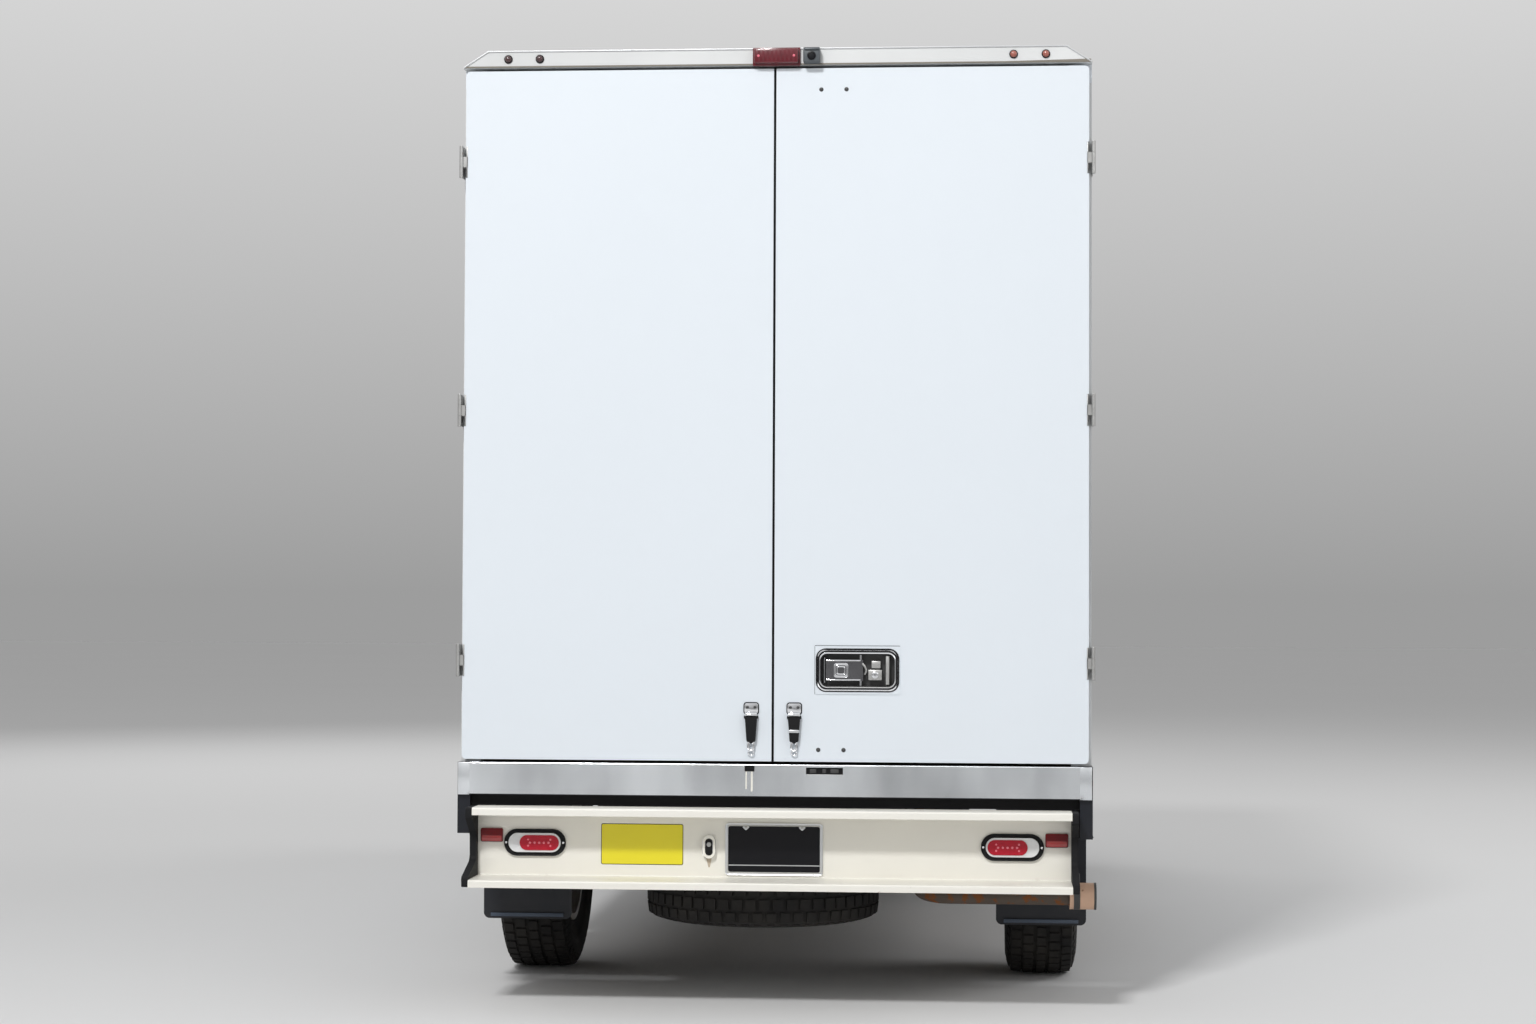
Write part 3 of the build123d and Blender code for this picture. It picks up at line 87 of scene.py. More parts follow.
class Desk:
    """Adds and links nodes in one node tree."""

    def __init__(self, tree: bpy.types.NodeTree) -> None:
        """Start on a tree.

        Args:
            tree: The shader or geometry tree to fill.
        """
        self.tree = tree

    def add(self, kind: str, inputs: dict | None = None, **settings: object) -> bpy.types.Node:
        """Add a node.

        Args:
            kind: The node's type name.
            inputs: Input name or index to a value, or to a socket to link from.
            settings: Attributes of the node itself.

        Returns:
            The new node.
        """
        node = self.tree.nodes.new(kind)
        for key, value in settings.items():
            setattr(node, key, value)
        for key, value in (inputs or {}).items():
            self.feed(node.inputs[key], value)
        return node

    def feed(self, socket: bpy.types.NodeSocket, value: object) -> None:
        """Link a socket from another, or set its plain value."""
        if isinstance(value, bpy.types.NodeSocket):
            self.tree.links.new(value, socket)
        else:
            socket.default_value = value

    def math(self, operation: str, first: object, second: object = 0.0,
             clamp: bool = False) -> bpy.types.NodeSocket:
        """A math node on two values or sockets.

        Args:
            operation: The node's operation.
            first: The first value or socket.
            second: The second value or socket.
            clamp: Keep the result between 0 and 1.

        Returns:
            The result's socket.
        """
        node = self.add("ShaderNodeMath", {0: first, 1: second}, operation=operation, use_clamp=clamp)
        return node.outputs[0]

    def mix(self, factor: object, first: object, second: object, blend: str = "MIX") -> bpy.types.NodeSocket:
        """A colour mix.

        Args:
            factor: How much of the second colour.
            first: The first colour or socket.
            second: The second colour or socket.
            blend: The blending mode.

        Returns:
            The mixed colour's socket.
        """
        node = self.add("ShaderNodeMix", {0: factor, 6: first, 7: second}, data_type="RGBA",
                        blend_type=blend)
        return node.outputs[2]

    def place(self) -> bpy.types.NodeSocket:
        """The piece's own coordinates."""
        return self.add("ShaderNodeTexCoord").outputs["Object"]

    def noise(self, place: object, scale: object, detail: float) -> bpy.types.NodeSocket:
        """A noise value at a place."""
        return self.add("ShaderNodeTexNoise", {"Vector": place, "Scale": scale, "Detail": detail}).outputs[0]

    def over(self, value: object, start: object, gain: float) -> bpy.types.NodeSocket:
        """How far a value lies over a start, times a gain, kept between 0 and 1."""
        return self.math("MULTIPLY", self.math("SUBTRACT", value, start), gain, clamp=True)

    def plus(self, base: object, value: object, gain: float, clamp: bool = False) -> bpy.types.NodeSocket:
        """A base plus a value times a gain."""
        return self.math("ADD", base, self.math("MULTIPLY", value, gain), clamp)


def rgba(colour: Colour) -> tuple[float, float, float, float]:
    """A colour with full alpha."""
    return (*colour, 1.0)


def new_group(name: str, inputs: dict[str, object], outputs: dict[str,
                                                                  str]) -> tuple[Desk, dict, bpy.types.Node]:
    """Start a shader node group.

    Args:
        name: The group's name.
        inputs: Input name to default value; its type follows the value's.
        outputs: Output name to socket type.

    Returns:
        The desk, the input sockets by name and the output node.
    """
    tree = bpy.data.node_groups.new(name, "ShaderNodeTree")
    for key, value in inputs.items():
        kind = "NodeSocketFloat"
        if isinstance(value, tuple):
            kind = "NodeSocketColor" if len(value) == 4 else "NodeSocketVector"
        tree.interface.new_socket(key, in_out="INPUT", socket_type=kind).default_value = value
    for key, kind in outputs.items():
        tree.interface.new_socket(key, in_out="OUTPUT", socket_type=kind)
    desk = Desk(tree)
    return desk, desk.add("NodeGroupInput").outputs, desk.add("NodeGroupOutput")


class Effects:
    """The shader node groups that the materials share."""

    def __init__(self) -> None:
        """Build each group once."""
        self.variation = self._variation()
        self.road_dust = self._road_dust()
        self.edge_wear = self._edge_wear()
        self.rust = self._rust()

    @staticmethod
    def _variation() -> bpy.types.NodeTree:
        """Slow colour drift and a fine surface height."""
        desk, given, out = new_group(
            "surface_variation",
            {"Colour": (0.8, 0.8, 0.8, 1.0), "Drift": 0.05, "Scale": 3.0, "Fine Scale": 300.0,
             "Stretch": (1.0, 1.0, 1.0)},
            {"Colour": "NodeSocketColor", "Height": "NodeSocketFloat", "Value": "NodeSocketFloat"},
        )
        place = desk.place()
        mapped = desk.add("ShaderNodeMapping", {"Vector": place, "Scale": given["Stretch"]}).outputs[0]
        slow = desk.noise(mapped, given["Scale"], 4.0)
        fine = desk.noise(mapped, given["Fine Scale"], 3.0)
        swing = desk.math("SUBTRACT", slow, 0.5)
        gain = desk.math("ADD", desk.math("MULTIPLY", desk.math("MULTIPLY", swing, given["Drift"]), 2.0),
                         1.0)
        tone = desk.add("ShaderNodeCombineColor", {0: gain, 1: gain, 2: gain}).outputs[0]
        desk.feed(out.inputs["Colour"], desk.mix(1.0, given["Colour"], tone, "MULTIPLY"))
        desk.feed(out.inputs["Height"], fine)
        desk.feed(out.inputs["Value"], slow)
        return desk.tree

    @staticmethod
    def _road_dust() -> bpy.types.NodeTree:
        """A mask of dust that thickens towards the ground."""
        desk, given, out = new_group(
            "road_dust", {"Top": 0.9, "Fade": 0.8, "Amount": 0.3, "Scale": 7.0}, {"Mask": "NodeSocketFloat"}
        )
        place = desk.place()
        height = desk.add("ShaderNodeSeparateXYZ", {0: place}).outputs["Z"]
        depth = desk.math("DIVIDE", desk.math("SUBTRACT", given["Top"], height), given["Fade"], clamp=True)
        cloud = desk.noise(place, given["Scale"], 6.0)
        patch = desk.over(cloud, 0.25, 1.8)
        mask = desk.math("MULTIPLY", desk.math("MULTIPLY", depth, patch), given["Amount"], clamp=True)
        desk.feed(out.inputs["Mask"], mask)
        return desk.tree

    @staticmethod
    def _edge_wear() -> bpy.types.NodeTree:
        """A mask along sharp edges, broken up by noise."""
        desk, given, out = new_group(
            "edge_wear", {"Width": 0.002, "Amount": 0.5, "Scale": 60.0}, {"Mask": "NodeSocketFloat"}
        )
        rounded = desk.add("ShaderNodeBevel", {"Radius": given["Width"]}, samples=4).outputs[0]
        true = desk.add("ShaderNodeNewGeometry").outputs["Normal"]
        facing = desk.add("ShaderNodeVectorMath", {0: rounded, 1: true},
                          operation="DOT_PRODUCT").outputs["Value"]
        edge = desk.over(0.985, facing, 14.0)
        place = desk.place()
        cloud = desk.noise(place, given["Scale"], 5.0)
        patch = desk.over(cloud, 0.42, 5.0)
        desk.feed(out.inputs["Mask"], desk.math("MULTIPLY", desk.math("MULTIPLY", edge, patch),
                                                given["Amount"]))
        return desk.tree

    @staticmethod
    def _rust() -> bpy.types.NodeTree:
        """A mask of rust spots, denser below a level."""
        desk, given, out = new_group(
            "rust_spots", {"Amount": 0.2, "Scale": 30.0, "Top": 10.0, "Fade": 0.1},
            {"Mask": "NodeSocketFloat"}
        )
        place = desk.place()
        height = desk.add("ShaderNodeSeparateXYZ", {0: place}).outputs["Z"]
        depth = desk.math("DIVIDE", desk.math("SUBTRACT", given["Top"], height), given["Fade"], clamp=True)
        large = desk.noise(place, given["Scale"], 8.0)
        limit = desk.math("SUBTRACT", 0.78, desk.math("MULTIPLY", given["Amount"], 0.4))
        spot = desk.over(large, limit, 14.0)
        desk.feed(out.inputs["Mask"], desk.math("MULTIPLY", spot, depth))
        return desk.tree


EFFECTS = Effects()

DUST_COLOUR: Colour = (0.33, 0.29, 0.23)
RUST_COLOUR: Colour = (0.20, 0.075, 0.028)


@dataclass(frozen=True)
class Surface:
    """What every kind of finish shares.

    Attributes:
        name: The material's name, which is none of the frame's own.
        slot: The record's material slot. It is not used.
    """

    name: str
    slot: str

    def material(self) -> bpy.types.Material:
        """The finish's material, built on first use.

        Returns:
            The material.
        """
        found = bpy.data.materials.get(self.name)
        if found:
            return found
        material = bpy.data.materials.new(self.name)
        material.use_nodes = True
        self.paint(Desk(material.node_tree), material.node_tree.nodes["Principled BSDF"])
        return material

    def paint(self, desk: Desk, shader: bpy.types.Node) -> None:
        """Wire the finish's nodes; each kind does it in its own way."""
        raise NotImplementedError


@dataclass(frozen=True)
class Finish(Surface):
    """An opaque finish: a base colour with drift, fine height, dust, wear and rust.

    Attributes:
        colour: Base colour.
        roughness: Roughness of the clean surface.
        metallic: Metal or not.
        coat: Clear coat weight.
        drift: Strength of the slow colour drift.
        drift_scale: Its scale.
        fine_scale: Scale of the fine height.
        fine_height: Depth of the fine height in metres.
        stretch: Stretch of the pattern, for brushed and drawn surfaces.
        dust: Amount of road dust.
        dust_top: Height above which there is none.
        wear: Amount of edge wear.
        wear_colour: What shows on worn edges.
        rust: Amount of rust.
        rust_top: Height above which there is none.
        specular: Strength of the plain reflection.
    """

    colour: Colour
    roughness: float = 0.45
    metallic: float = 0.0
    coat: float = 0.0
    drift: float = 0.04
    drift_scale: float = 2.0
    fine_scale: float = 350.0
    fine_height: float = 0.0001
    stretch: Point = (1.0, 1.0, 1.0)
    dust: float = 0.0
    dust_top: float = 1.2
    wear: float = 0.0
    wear_colour: Colour = (0.5, 0.5, 0.48)
    rust: float = 0.0
    rust_top: float = 10.0
    specular: float = 0.5

    def paint(self, desk: Desk, shader: bpy.types.Node) -> None:
        """Wire the finish's nodes.

        Args:
            desk: The material's desk.
            shader: Its main shader.
        """
        shader.inputs["Metallic"].default_value = self.metallic
        shader.inputs["Coat Weight"].default_value = self.coat
        shader.inputs["Coat Roughness"].default_value = 0.08
        shader.inputs["Specular IOR Level"].default_value = self.specular
        base = desk.add("ShaderNodeGroup", node_tree=EFFECTS.variation)
        values = {"Colour": rgba(self.colour), "Drift": self.drift, "Scale": self.drift_scale,
                  "Fine Scale": self.fine_scale, "Stretch": self.stretch}
        for key, value in values.items():
            base.inputs[key].default_value = value
        colour = base.outputs["Colour"]
        rough = desk.plus(self.roughness - 0.04, base.outputs["Value"], 0.08)
        if self.wear:
            worn = desk.add("ShaderNodeGroup", {"Amount": self.wear}, node_tree=EFFECTS.edge_wear).outputs[0]
            colour = desk.mix(worn, colour, rgba(self.wear_colour))
        if self.rust:
            rusty = {"Amount": self.rust, "Top": self.rust_top}
            spots = desk.add("ShaderNodeGroup", rusty, node_tree=EFFECTS.rust).outputs[0]
            colour = desk.mix(spots, colour, rgba(RUST_COLOUR))
            rough = desk.plus(rough, spots, 0.35, clamp=True)
        if self.dust:
            dusty = {"Amount": self.dust, "Top": self.dust_top}
            mask = desk.add("ShaderNodeGroup", dusty, node_tree=EFFECTS.road_dust).outputs[0]
            colour = desk.mix(mask, colour, rgba(DUST_COLOUR))
            rough = desk.plus(rough, mask, 0.4, clamp=True)
        desk.feed(shader.inputs["Base Color"], colour)
        desk.feed(shader.inputs["Roughness"], rough)
        bump = desk.add("ShaderNodeBump", {"Height": base.outputs["Height"], "Distance": self.fine_height})
        bump.inputs["Strength"].default_value = 0.6
        desk.feed(shader.inputs["Normal"], bump.outputs[0])


@dataclass(frozen=True)
class ClearFinish(Surface):
    """Glass or a moulded lens, clear or coloured.

    Attributes:
        colour: Tint.
        roughness: Roughness.
        transmission: Share of light let through.
        ribs: Depth of the moulded ribs in metres, 0 for plain glass.
        rib_scale: Ribs per metre.
    """

    colour: Colour
    roughness: float = 0.03
    transmission: float = 1.0
    ribs: float = 0.0
    rib_scale: float = 300.0

    def paint(self, desk: Desk, shader: bpy.types.Node) -> None:
        """Wire the finish's nodes.

        Args:
            desk: The material's desk.
            shader: Its main shader.
        """
        shader.inputs["Transmission Weight"].default_value = self.transmission
        shader.inputs["IOR"].default_value = 1.45
        base = desk.add("ShaderNodeGroup", node_tree=EFFECTS.variation)
        base.inputs["Colour"].default_value = rgba(self.colour)
        base.inputs["Drift"].default_value = 0.03
        base.inputs["Fine Scale"].default_value = self.rib_scale
        desk.feed(shader.inputs["Base Color"], base.outputs["Colour"])
        smear = desk.math("MULTIPLY", base.outputs["Value"], 0.05)
        desk.feed(shader.inputs["Roughness"], desk.math("ADD", self.roughness, smear))
        if self.ribs:
            place = desk.place()
            wave = desk.add("ShaderNodeTexWave", {"Vector": place, "Scale": self.rib_scale / 6.283},
                            bands_direction="X")
            bump = desk.add("ShaderNodeBump", {"Height": wave.outputs["Fac"], "Distance": self.ribs})
            desk.feed(shader.inputs["Normal"], bump.outputs[0])


@dataclass(frozen=True)
class ClothFinish(Surface):
    """Woven seat cloth: two crossed thread waves under a soft sheen.

    Attributes:
        colour: Thread colour.
        fleck: Colour of the lighter threads.
        threads: Threads per metre.
    """

    colour: Colour
    fleck: Colour
    threads: float = 700.0

    def paint(self, desk: Desk, shader: bpy.types.Node) -> None:
        """Wire the finish's nodes.

        Args:
            desk: The material's desk.
            shader: Its main shader.
        """
        shader.inputs["Sheen Weight"].default_value = 0.3
        place = desk.place()
        heights = []
        for direction in ("X", "DIAGONAL"):
            wave = desk.add("ShaderNodeTexWave", {"Vector": place, "Scale": self.threads / 6.283,
                                                  "Distortion": 0.6}, bands_direction=direction)
            heights.append(wave.outputs["Fac"])
        height = desk.math("MULTIPLY", heights[0], heights[1])
        cloud = desk.noise(place, 140.0, 4.0)
        fleck = desk.over(cloud, 0.45, 4.0)
        desk.feed(shader.inputs["Base Color"], desk.mix(fleck, rgba(self.colour), rgba(self.fleck)))
        desk.feed(shader.inputs["Roughness"], desk.plus(0.8, height, 0.15))
        bump = desk.add("ShaderNodeBump", {"Height": height, "Distance": 0.0006})
        desk.feed(shader.inputs["Normal"], bump.outputs[0])


@dataclass(frozen=True)
class BoardFinish(Surface):
    """Hardwood boards laid lengthwise, with grain and dark joints.

    Attributes:
        light: Colour of the light grain.
        dark: Colour of the dark grain.
        board_width: Width of one board in metres.
    """

    light: Colour
    dark: Colour
    board_width: float = 0.09

    def paint(self, desk: Desk, shader: bpy.types.Node) -> None:
        """Wire the finish's nodes.

        Args:
            desk: The material's desk.
            shader: Its main shader.
        """
        place = desk.place()
        drawn = desk.add("ShaderNodeMapping", {"Vector": place, "Scale": (28.0, 1.4, 28.0)}).outputs[0]
        grain = desk.noise(drawn, 2.2, 8.0)
        across = desk.add("ShaderNodeSeparateXYZ", {0: place}).outputs["X"]
        share = desk.math("DIVIDE", across, self.board_width)
        within = desk.math("ABSOLUTE", desk.math("SUBTRACT", desk.math("FRACT", share), 0.5))
        joint = desk.over(within, 0.47, 40.0)
        number = desk.math("FLOOR", share)
        tone = desk.add("ShaderNodeTexWhiteNoise", {"W": number}, noise_dimensions="1D").outputs["Value"]
        mixed = desk.math("ADD", desk.math("MULTIPLY", grain, 0.7), desk.math("MULTIPLY", tone, 0.3))
        colour = desk.mix(mixed, rgba(self.dark), rgba(self.light))
        desk.feed(shader.inputs["Base Color"], desk.mix(joint, colour, rgba((0.02, 0.015, 0.01))))
        desk.feed(shader.inputs["Roughness"], desk.plus(0.5, grain, 0.3))
        bump = desk.add("ShaderNodeBump", {"Height": desk.math("SUBTRACT", grain, joint),
                                           "Distance": 0.0008})
        desk.feed(shader.inputs["Normal"], bump.outputs[0])


DOOR_WHITE = Finish("door_white", "body_white", (0.74, 0.79, 0.84), 0.32, coat=0.25, drift=0.012,
                    drift_scale=1.2, fine_scale=60.0, fine_height=0.00025, dust=0.10, dust_top=1.05)
BODY_WHITE = Finish("body_white_paint", "body_white", (0.74, 0.78, 0.82), 0.36, coat=0.2, drift=0.02,
                    fine_scale=90.0, fine_height=0.0002, dust=0.16, dust_top=1.5)
CAB_WHITE = Finish("cab_white_paint", "body_white", (0.76, 0.79, 0.82), 0.22, coat=0.6, drift=0.012,
                   fine_scale=500.0, fine_height=0.00004, dust=0.22, dust_top=1.0)
HEADER_WHITE = Finish("header_white_paint", "body_white", (0.67, 0.68, 0.68), 0.35, drift=0.30,
                      drift_scale=0.9, dust=0.0, wear=0.15)
BUMPER_CREAM = Finish("bumper_cream_paint", "cream_steel", (0.84, 0.82, 0.755), 0.40, drift=0.035,
                      drift_scale=5.0, dust=0.13, dust_top=0.60, wear=0.4, wear_colour=(0.22, 0.10, 0.05),
                      rust=0.32, rust_top=0.425)
BOARDS = BoardFinish("floor_boards", "floor_board", (0.42, 0.30, 0.18), (0.20, 0.13, 0.08))
BLACK_PLASTIC = Finish("black_moulded_plastic", "black_trim", (0.020, 0.021, 0.024), 0.5, drift=0.2,
                       fine_scale=900.0, fine_height=0.00015, dust=0.12, dust_top=1.0, specular=0.3)
SKIRT_BLACK = Finish("skirt_black_plastic", "black_trim", (0.010, 0.012, 0.018), 0.36, drift=0.25,
                     fine_scale=800.0, fine_height=0.0001, dust=0.08, dust_top=0.8, specular=0.3)
CABIN_PLASTIC = Finish("cabin_grained_plastic", "black_trim", (0.045, 0.046, 0.050), 0.6, drift=0.1,
                       fine_scale=700.0, fine_height=0.0003)
RUBBER = Finish("black_rubber", "black_trim", (0.010, 0.010, 0.011), 0.72, drift=0.2, fine_scale=500.0,
                fine_height=0.0002, specular=0.2)
CHASSIS_BLACK = Finish("chassis_black_paint", "black_steel", (0.014, 0.014, 0.015), 0.55, drift=0.3,
                       drift_scale=8.0, dust=0.28, dust_top=0.9, rust=0.2, specular=0.3)
CAST_METAL = Finish("rough_cast_metal", "cast_metal", (0.13, 0.125, 0.12), 0.6, metallic=0.6, drift=0.3,
                    fine_scale=250.0, fine_height=0.0008, dust=0.5, rust=0.4)
EXHAUST_STEEL = Finish("scaled_exhaust_steel", "exhaust_steel", (0.10, 0.078, 0.062), 0.7, drift=0.3,
                       drift_scale=6.0, rust=0.6, specular=0.2)
EXHAUST_TAN = Finish("exhaust_tan_tip", "exhaust_steel", (0.66, 0.43, 0.30), 0.5, metallic=0.15, drift=0.18,
                     drift_scale=25.0, rust=0.22)
# The strong slow drift paints light and dark blotches into the brushed colour: painted reflections and
# highlights, on top of the metal's real brushing.
BRUSHED_WITH_PAINTED_REFLECTIONS = Finish("brushed_sill", "polished_sill", (0.60, 0.62, 0.64), 0.26, metallic=0.9, drift=1.25,
                 drift_scale=2.4, fine_scale=220.0, fine_height=0.0002, stretch=(1.0, 1.0, 0.35), dust=0.10,
                 dust_top=0.72)
ALUMINIUM = Finish("bare_aluminium", "polished_sill", (0.62, 0.63, 0.64), 0.34, metallic=0.9, drift=0.08,
                   fine_scale=400.0, fine_height=0.0001)
CHROME = Finish("polished_chrome", "chrome_trim", (0.72, 0.73, 0.75), 0.09, metallic=1.0, drift=0.04)
# Chrome darkened with painted shade, for the paddle down in the latch's bowl.
CHROME_WITH_PAINTED_SHADE = Finish("chrome_painted_shade", "chrome_trim", (0.20, 0.20, 0.21), 0.16, metallic=0.95, drift=0.10,
                     drift_scale=30.0)
ZINC = Finish("zinc_plate", "hinge_steel", (0.46, 0.46, 0.45), 0.38, metallic=0.85, drift=0.15,
              drift_scale=30.0, wear=0.3, rust=0.22)
DARK_STEEL = Finish("dark_steel", "hinge_steel", (0.07, 0.07, 0.07), 0.5, metallic=0.6, drift=0.2, rust=0.2)
RIM_SILVER = Finish("rim_silver_paint", "rim_paint", (0.48, 0.48, 0.48), 0.36, metallic=0.55, drift=0.08,
                    dust=0.8, dust_top=1.1, rust=0.12)
TYRE_RUBBER = Finish("tyre_rubber", "tyre", (0.012, 0.012, 0.013), 0.8, drift=0.25, drift_scale=10.0,
                     fine_scale=260.0, fine_height=0.0004, dust=0.10, dust_top=0.9, specular=0.2)
RED_REFLECTOR = Finish("red_reflector", "red_lens", (0.15, 0.003, 0.006), 0.25, coat=0.1, drift=0.25,
                       drift_scale=90.0, fine_scale=260.0, fine_height=0.0005, specular=0.25)
RED_LENS = Finish("red_lamp_lens", "red_lens", (0.42, 0.004, 0.020), 0.22, coat=0.15, drift=0.2,
                  drift_scale=60.0, fine_scale=200.0, fine_height=0.0004, specular=0.25)
STOP_RED = Finish("stop_lamp_red", "red_lens", (0.12, 0.004, 0.012), 0.22, coat=0.5, drift=0.3,
                  drift_scale=50.0)
MARKER_RED = Finish("marker_red", "red_lens", (0.36, 0.10, 0.07), 0.2, coat=0.8, drift=0.15,
                    drift_scale=80.0)
MARKER_DARK = Finish("marker_dark_red", "red_lens", (0.055, 0.018, 0.02), 0.2, coat=0.8, drift=0.15)
AMBER = Finish("amber_lens", "red_lens", (0.62, 0.20, 0.01), 0.15, coat=0.8, drift=0.15, drift_scale=60.0)
LED_PINK = Finish("led_pink", "red_lens", (0.80, 0.16, 0.22), 0.15, coat=1.0, drift=0.1)
LAMP_WHITE = Finish("lamp_white_lens", "clear_lens", (0.72, 0.73, 0.74), 0.14, coat=1.0, drift=0.08,
                    drift_scale=90.0, fine_scale=240.0, fine_height=0.0004)
STICKER_YELLOW = Finish("sticker_yellow", "cream_steel", (0.80, 0.70, 0.02), 0.35, drift=0.05,
                        drift_scale=6.0)
INK_BLACK = Finish("ink_black", "black_trim", (0.008, 0.008, 0.009), 0.5, drift=0.1, specular=0.2)
PLATE_BLACK = Finish("plate_black", "black_trim", (0.005, 0.005, 0.007), 0.4, drift=0.1, fine_height=0.00005,
                     specular=0.2)
GLASS = ClearFinish("window_glass", "glass", (0.82, 0.90, 0.88))
LENS_CLEAR = ClearFinish("headlamp_clear_lens", "clear_lens", (0.95, 0.96, 0.97))
MIRROR_GLASS = Finish("mirror_glass", "chrome_trim", (0.80, 0.82, 0.84), 0.03, metallic=1.0, drift=0.0)
RUST_STAIN = Finish("rust_stain", "cream_steel", (0.56, 0.47, 0.36), 0.6, drift=0.4, drift_scale=60.0)
DRIP_STAIN = Finish("drip_stain", "polished_sill", (0.78, 0.76, 0.70), 0.6, metallic=0.3, drift=0.3,
                    drift_scale=30.0)
SEAT_CLOTH = ClothFinish("woven_seat_cloth", "seat_cloth", (0.035, 0.036, 0.040), (0.085, 0.088, 0.095))
DRIP_EDGE_BROWN = Finish("drip_edge_brown", "body_white", (0.20, 0.18, 0.15), 0.6, drift=0.25)
CAMERA_GREY = Finish("camera_grey", "black_trim", (0.075, 0.085, 0.095), 0.4, drift=0.1)
REFLECTOR_BAND = Finish("reflector_band_red", "red_lens", (0.42, 0.02, 0.02), 0.15, coat=0.8, drift=0.2,
                        drift_scale=90.0)
# A lighter blue-grey: painted highlight along the splash guards' lower edges.
GUARD_EDGE_HIGHLIGHT = Finish("guard_painted_highlight", "black_trim", (0.055, 0.075, 0.11), 0.5, drift=0.2)
FLOOR_GREY = Finish("studio_floor_grey", "body_white", (0.72, 0.72, 0.72), 0.85, drift=0.02, drift_scale=0.3)
LINER_WHITE = Finish("liner_white", "body_white", (0.62, 0.63, 0.62), 0.5, drift=0.05, fine_scale=120.0,
                     fine_height=0.0006)


# Mesh building


def rounded(corners: Sequence[Flat], radius: float | Sequence[float], steps: int = 6) -> list[Flat]:
    """A closed outline with its corners rounded.

    Args:
        corners: The corner points.
        radius: One radius, or one for each corner.
        steps: Segments in each corner.

    Returns:
        The outline's points, with the same number for every corner.
    """
    points: list[Flat] = []
    count = len(corners)
    for i, corner in enumerate(corners):
        r = radius if isinstance(radius, (int, float)) else radius[i]
        here = Vector(corner)
        back = (Vector(corners[i - 1]) - here).normalized()
        ahead = (Vector(corners[(i + 1) % count]) - here).normalized()
        half = back.angle(ahead) / 2
        reach = min(r / math.tan(half), (Vector(corners[i - 1]) - here).length / 2,
                    (Vector(corners[(i + 1) % count]) - here).length / 2)
        bow = reach * math.tan(half)
        middle = here + (back + ahead).normalized() * (bow / math.sin(half))
        start = here + back * reach - middle
        sweep = start.angle_signed(here + ahead * reach - middle) if bow > 1e-9 else 0.0
        for step in range(steps + 1):
            turn = Matrix.Rotation(-sweep * step / steps, 2)
            points.append(tuple(middle + turn @ start))
    return points


def rectangle(u0: float, u1: float, v0: float, v1: float) -> list[Flat]:
    """The corners of a rectangle, anticlockwise."""
    return [(u0, v0), (u1, v0), (u1, v1), (u0, v1)]


def lift(flat: Flat, along: float, axis: Axis) -> Vector:
    """A point of a plane drawing placed in space, at a distance along its axis."""
    u, v = flat
    if axis is Axis.X:
        return Vector((along, u, v))
    if axis is Axis.Y:
        return Vector((u, along, v))
    return Vector((u, v, along))


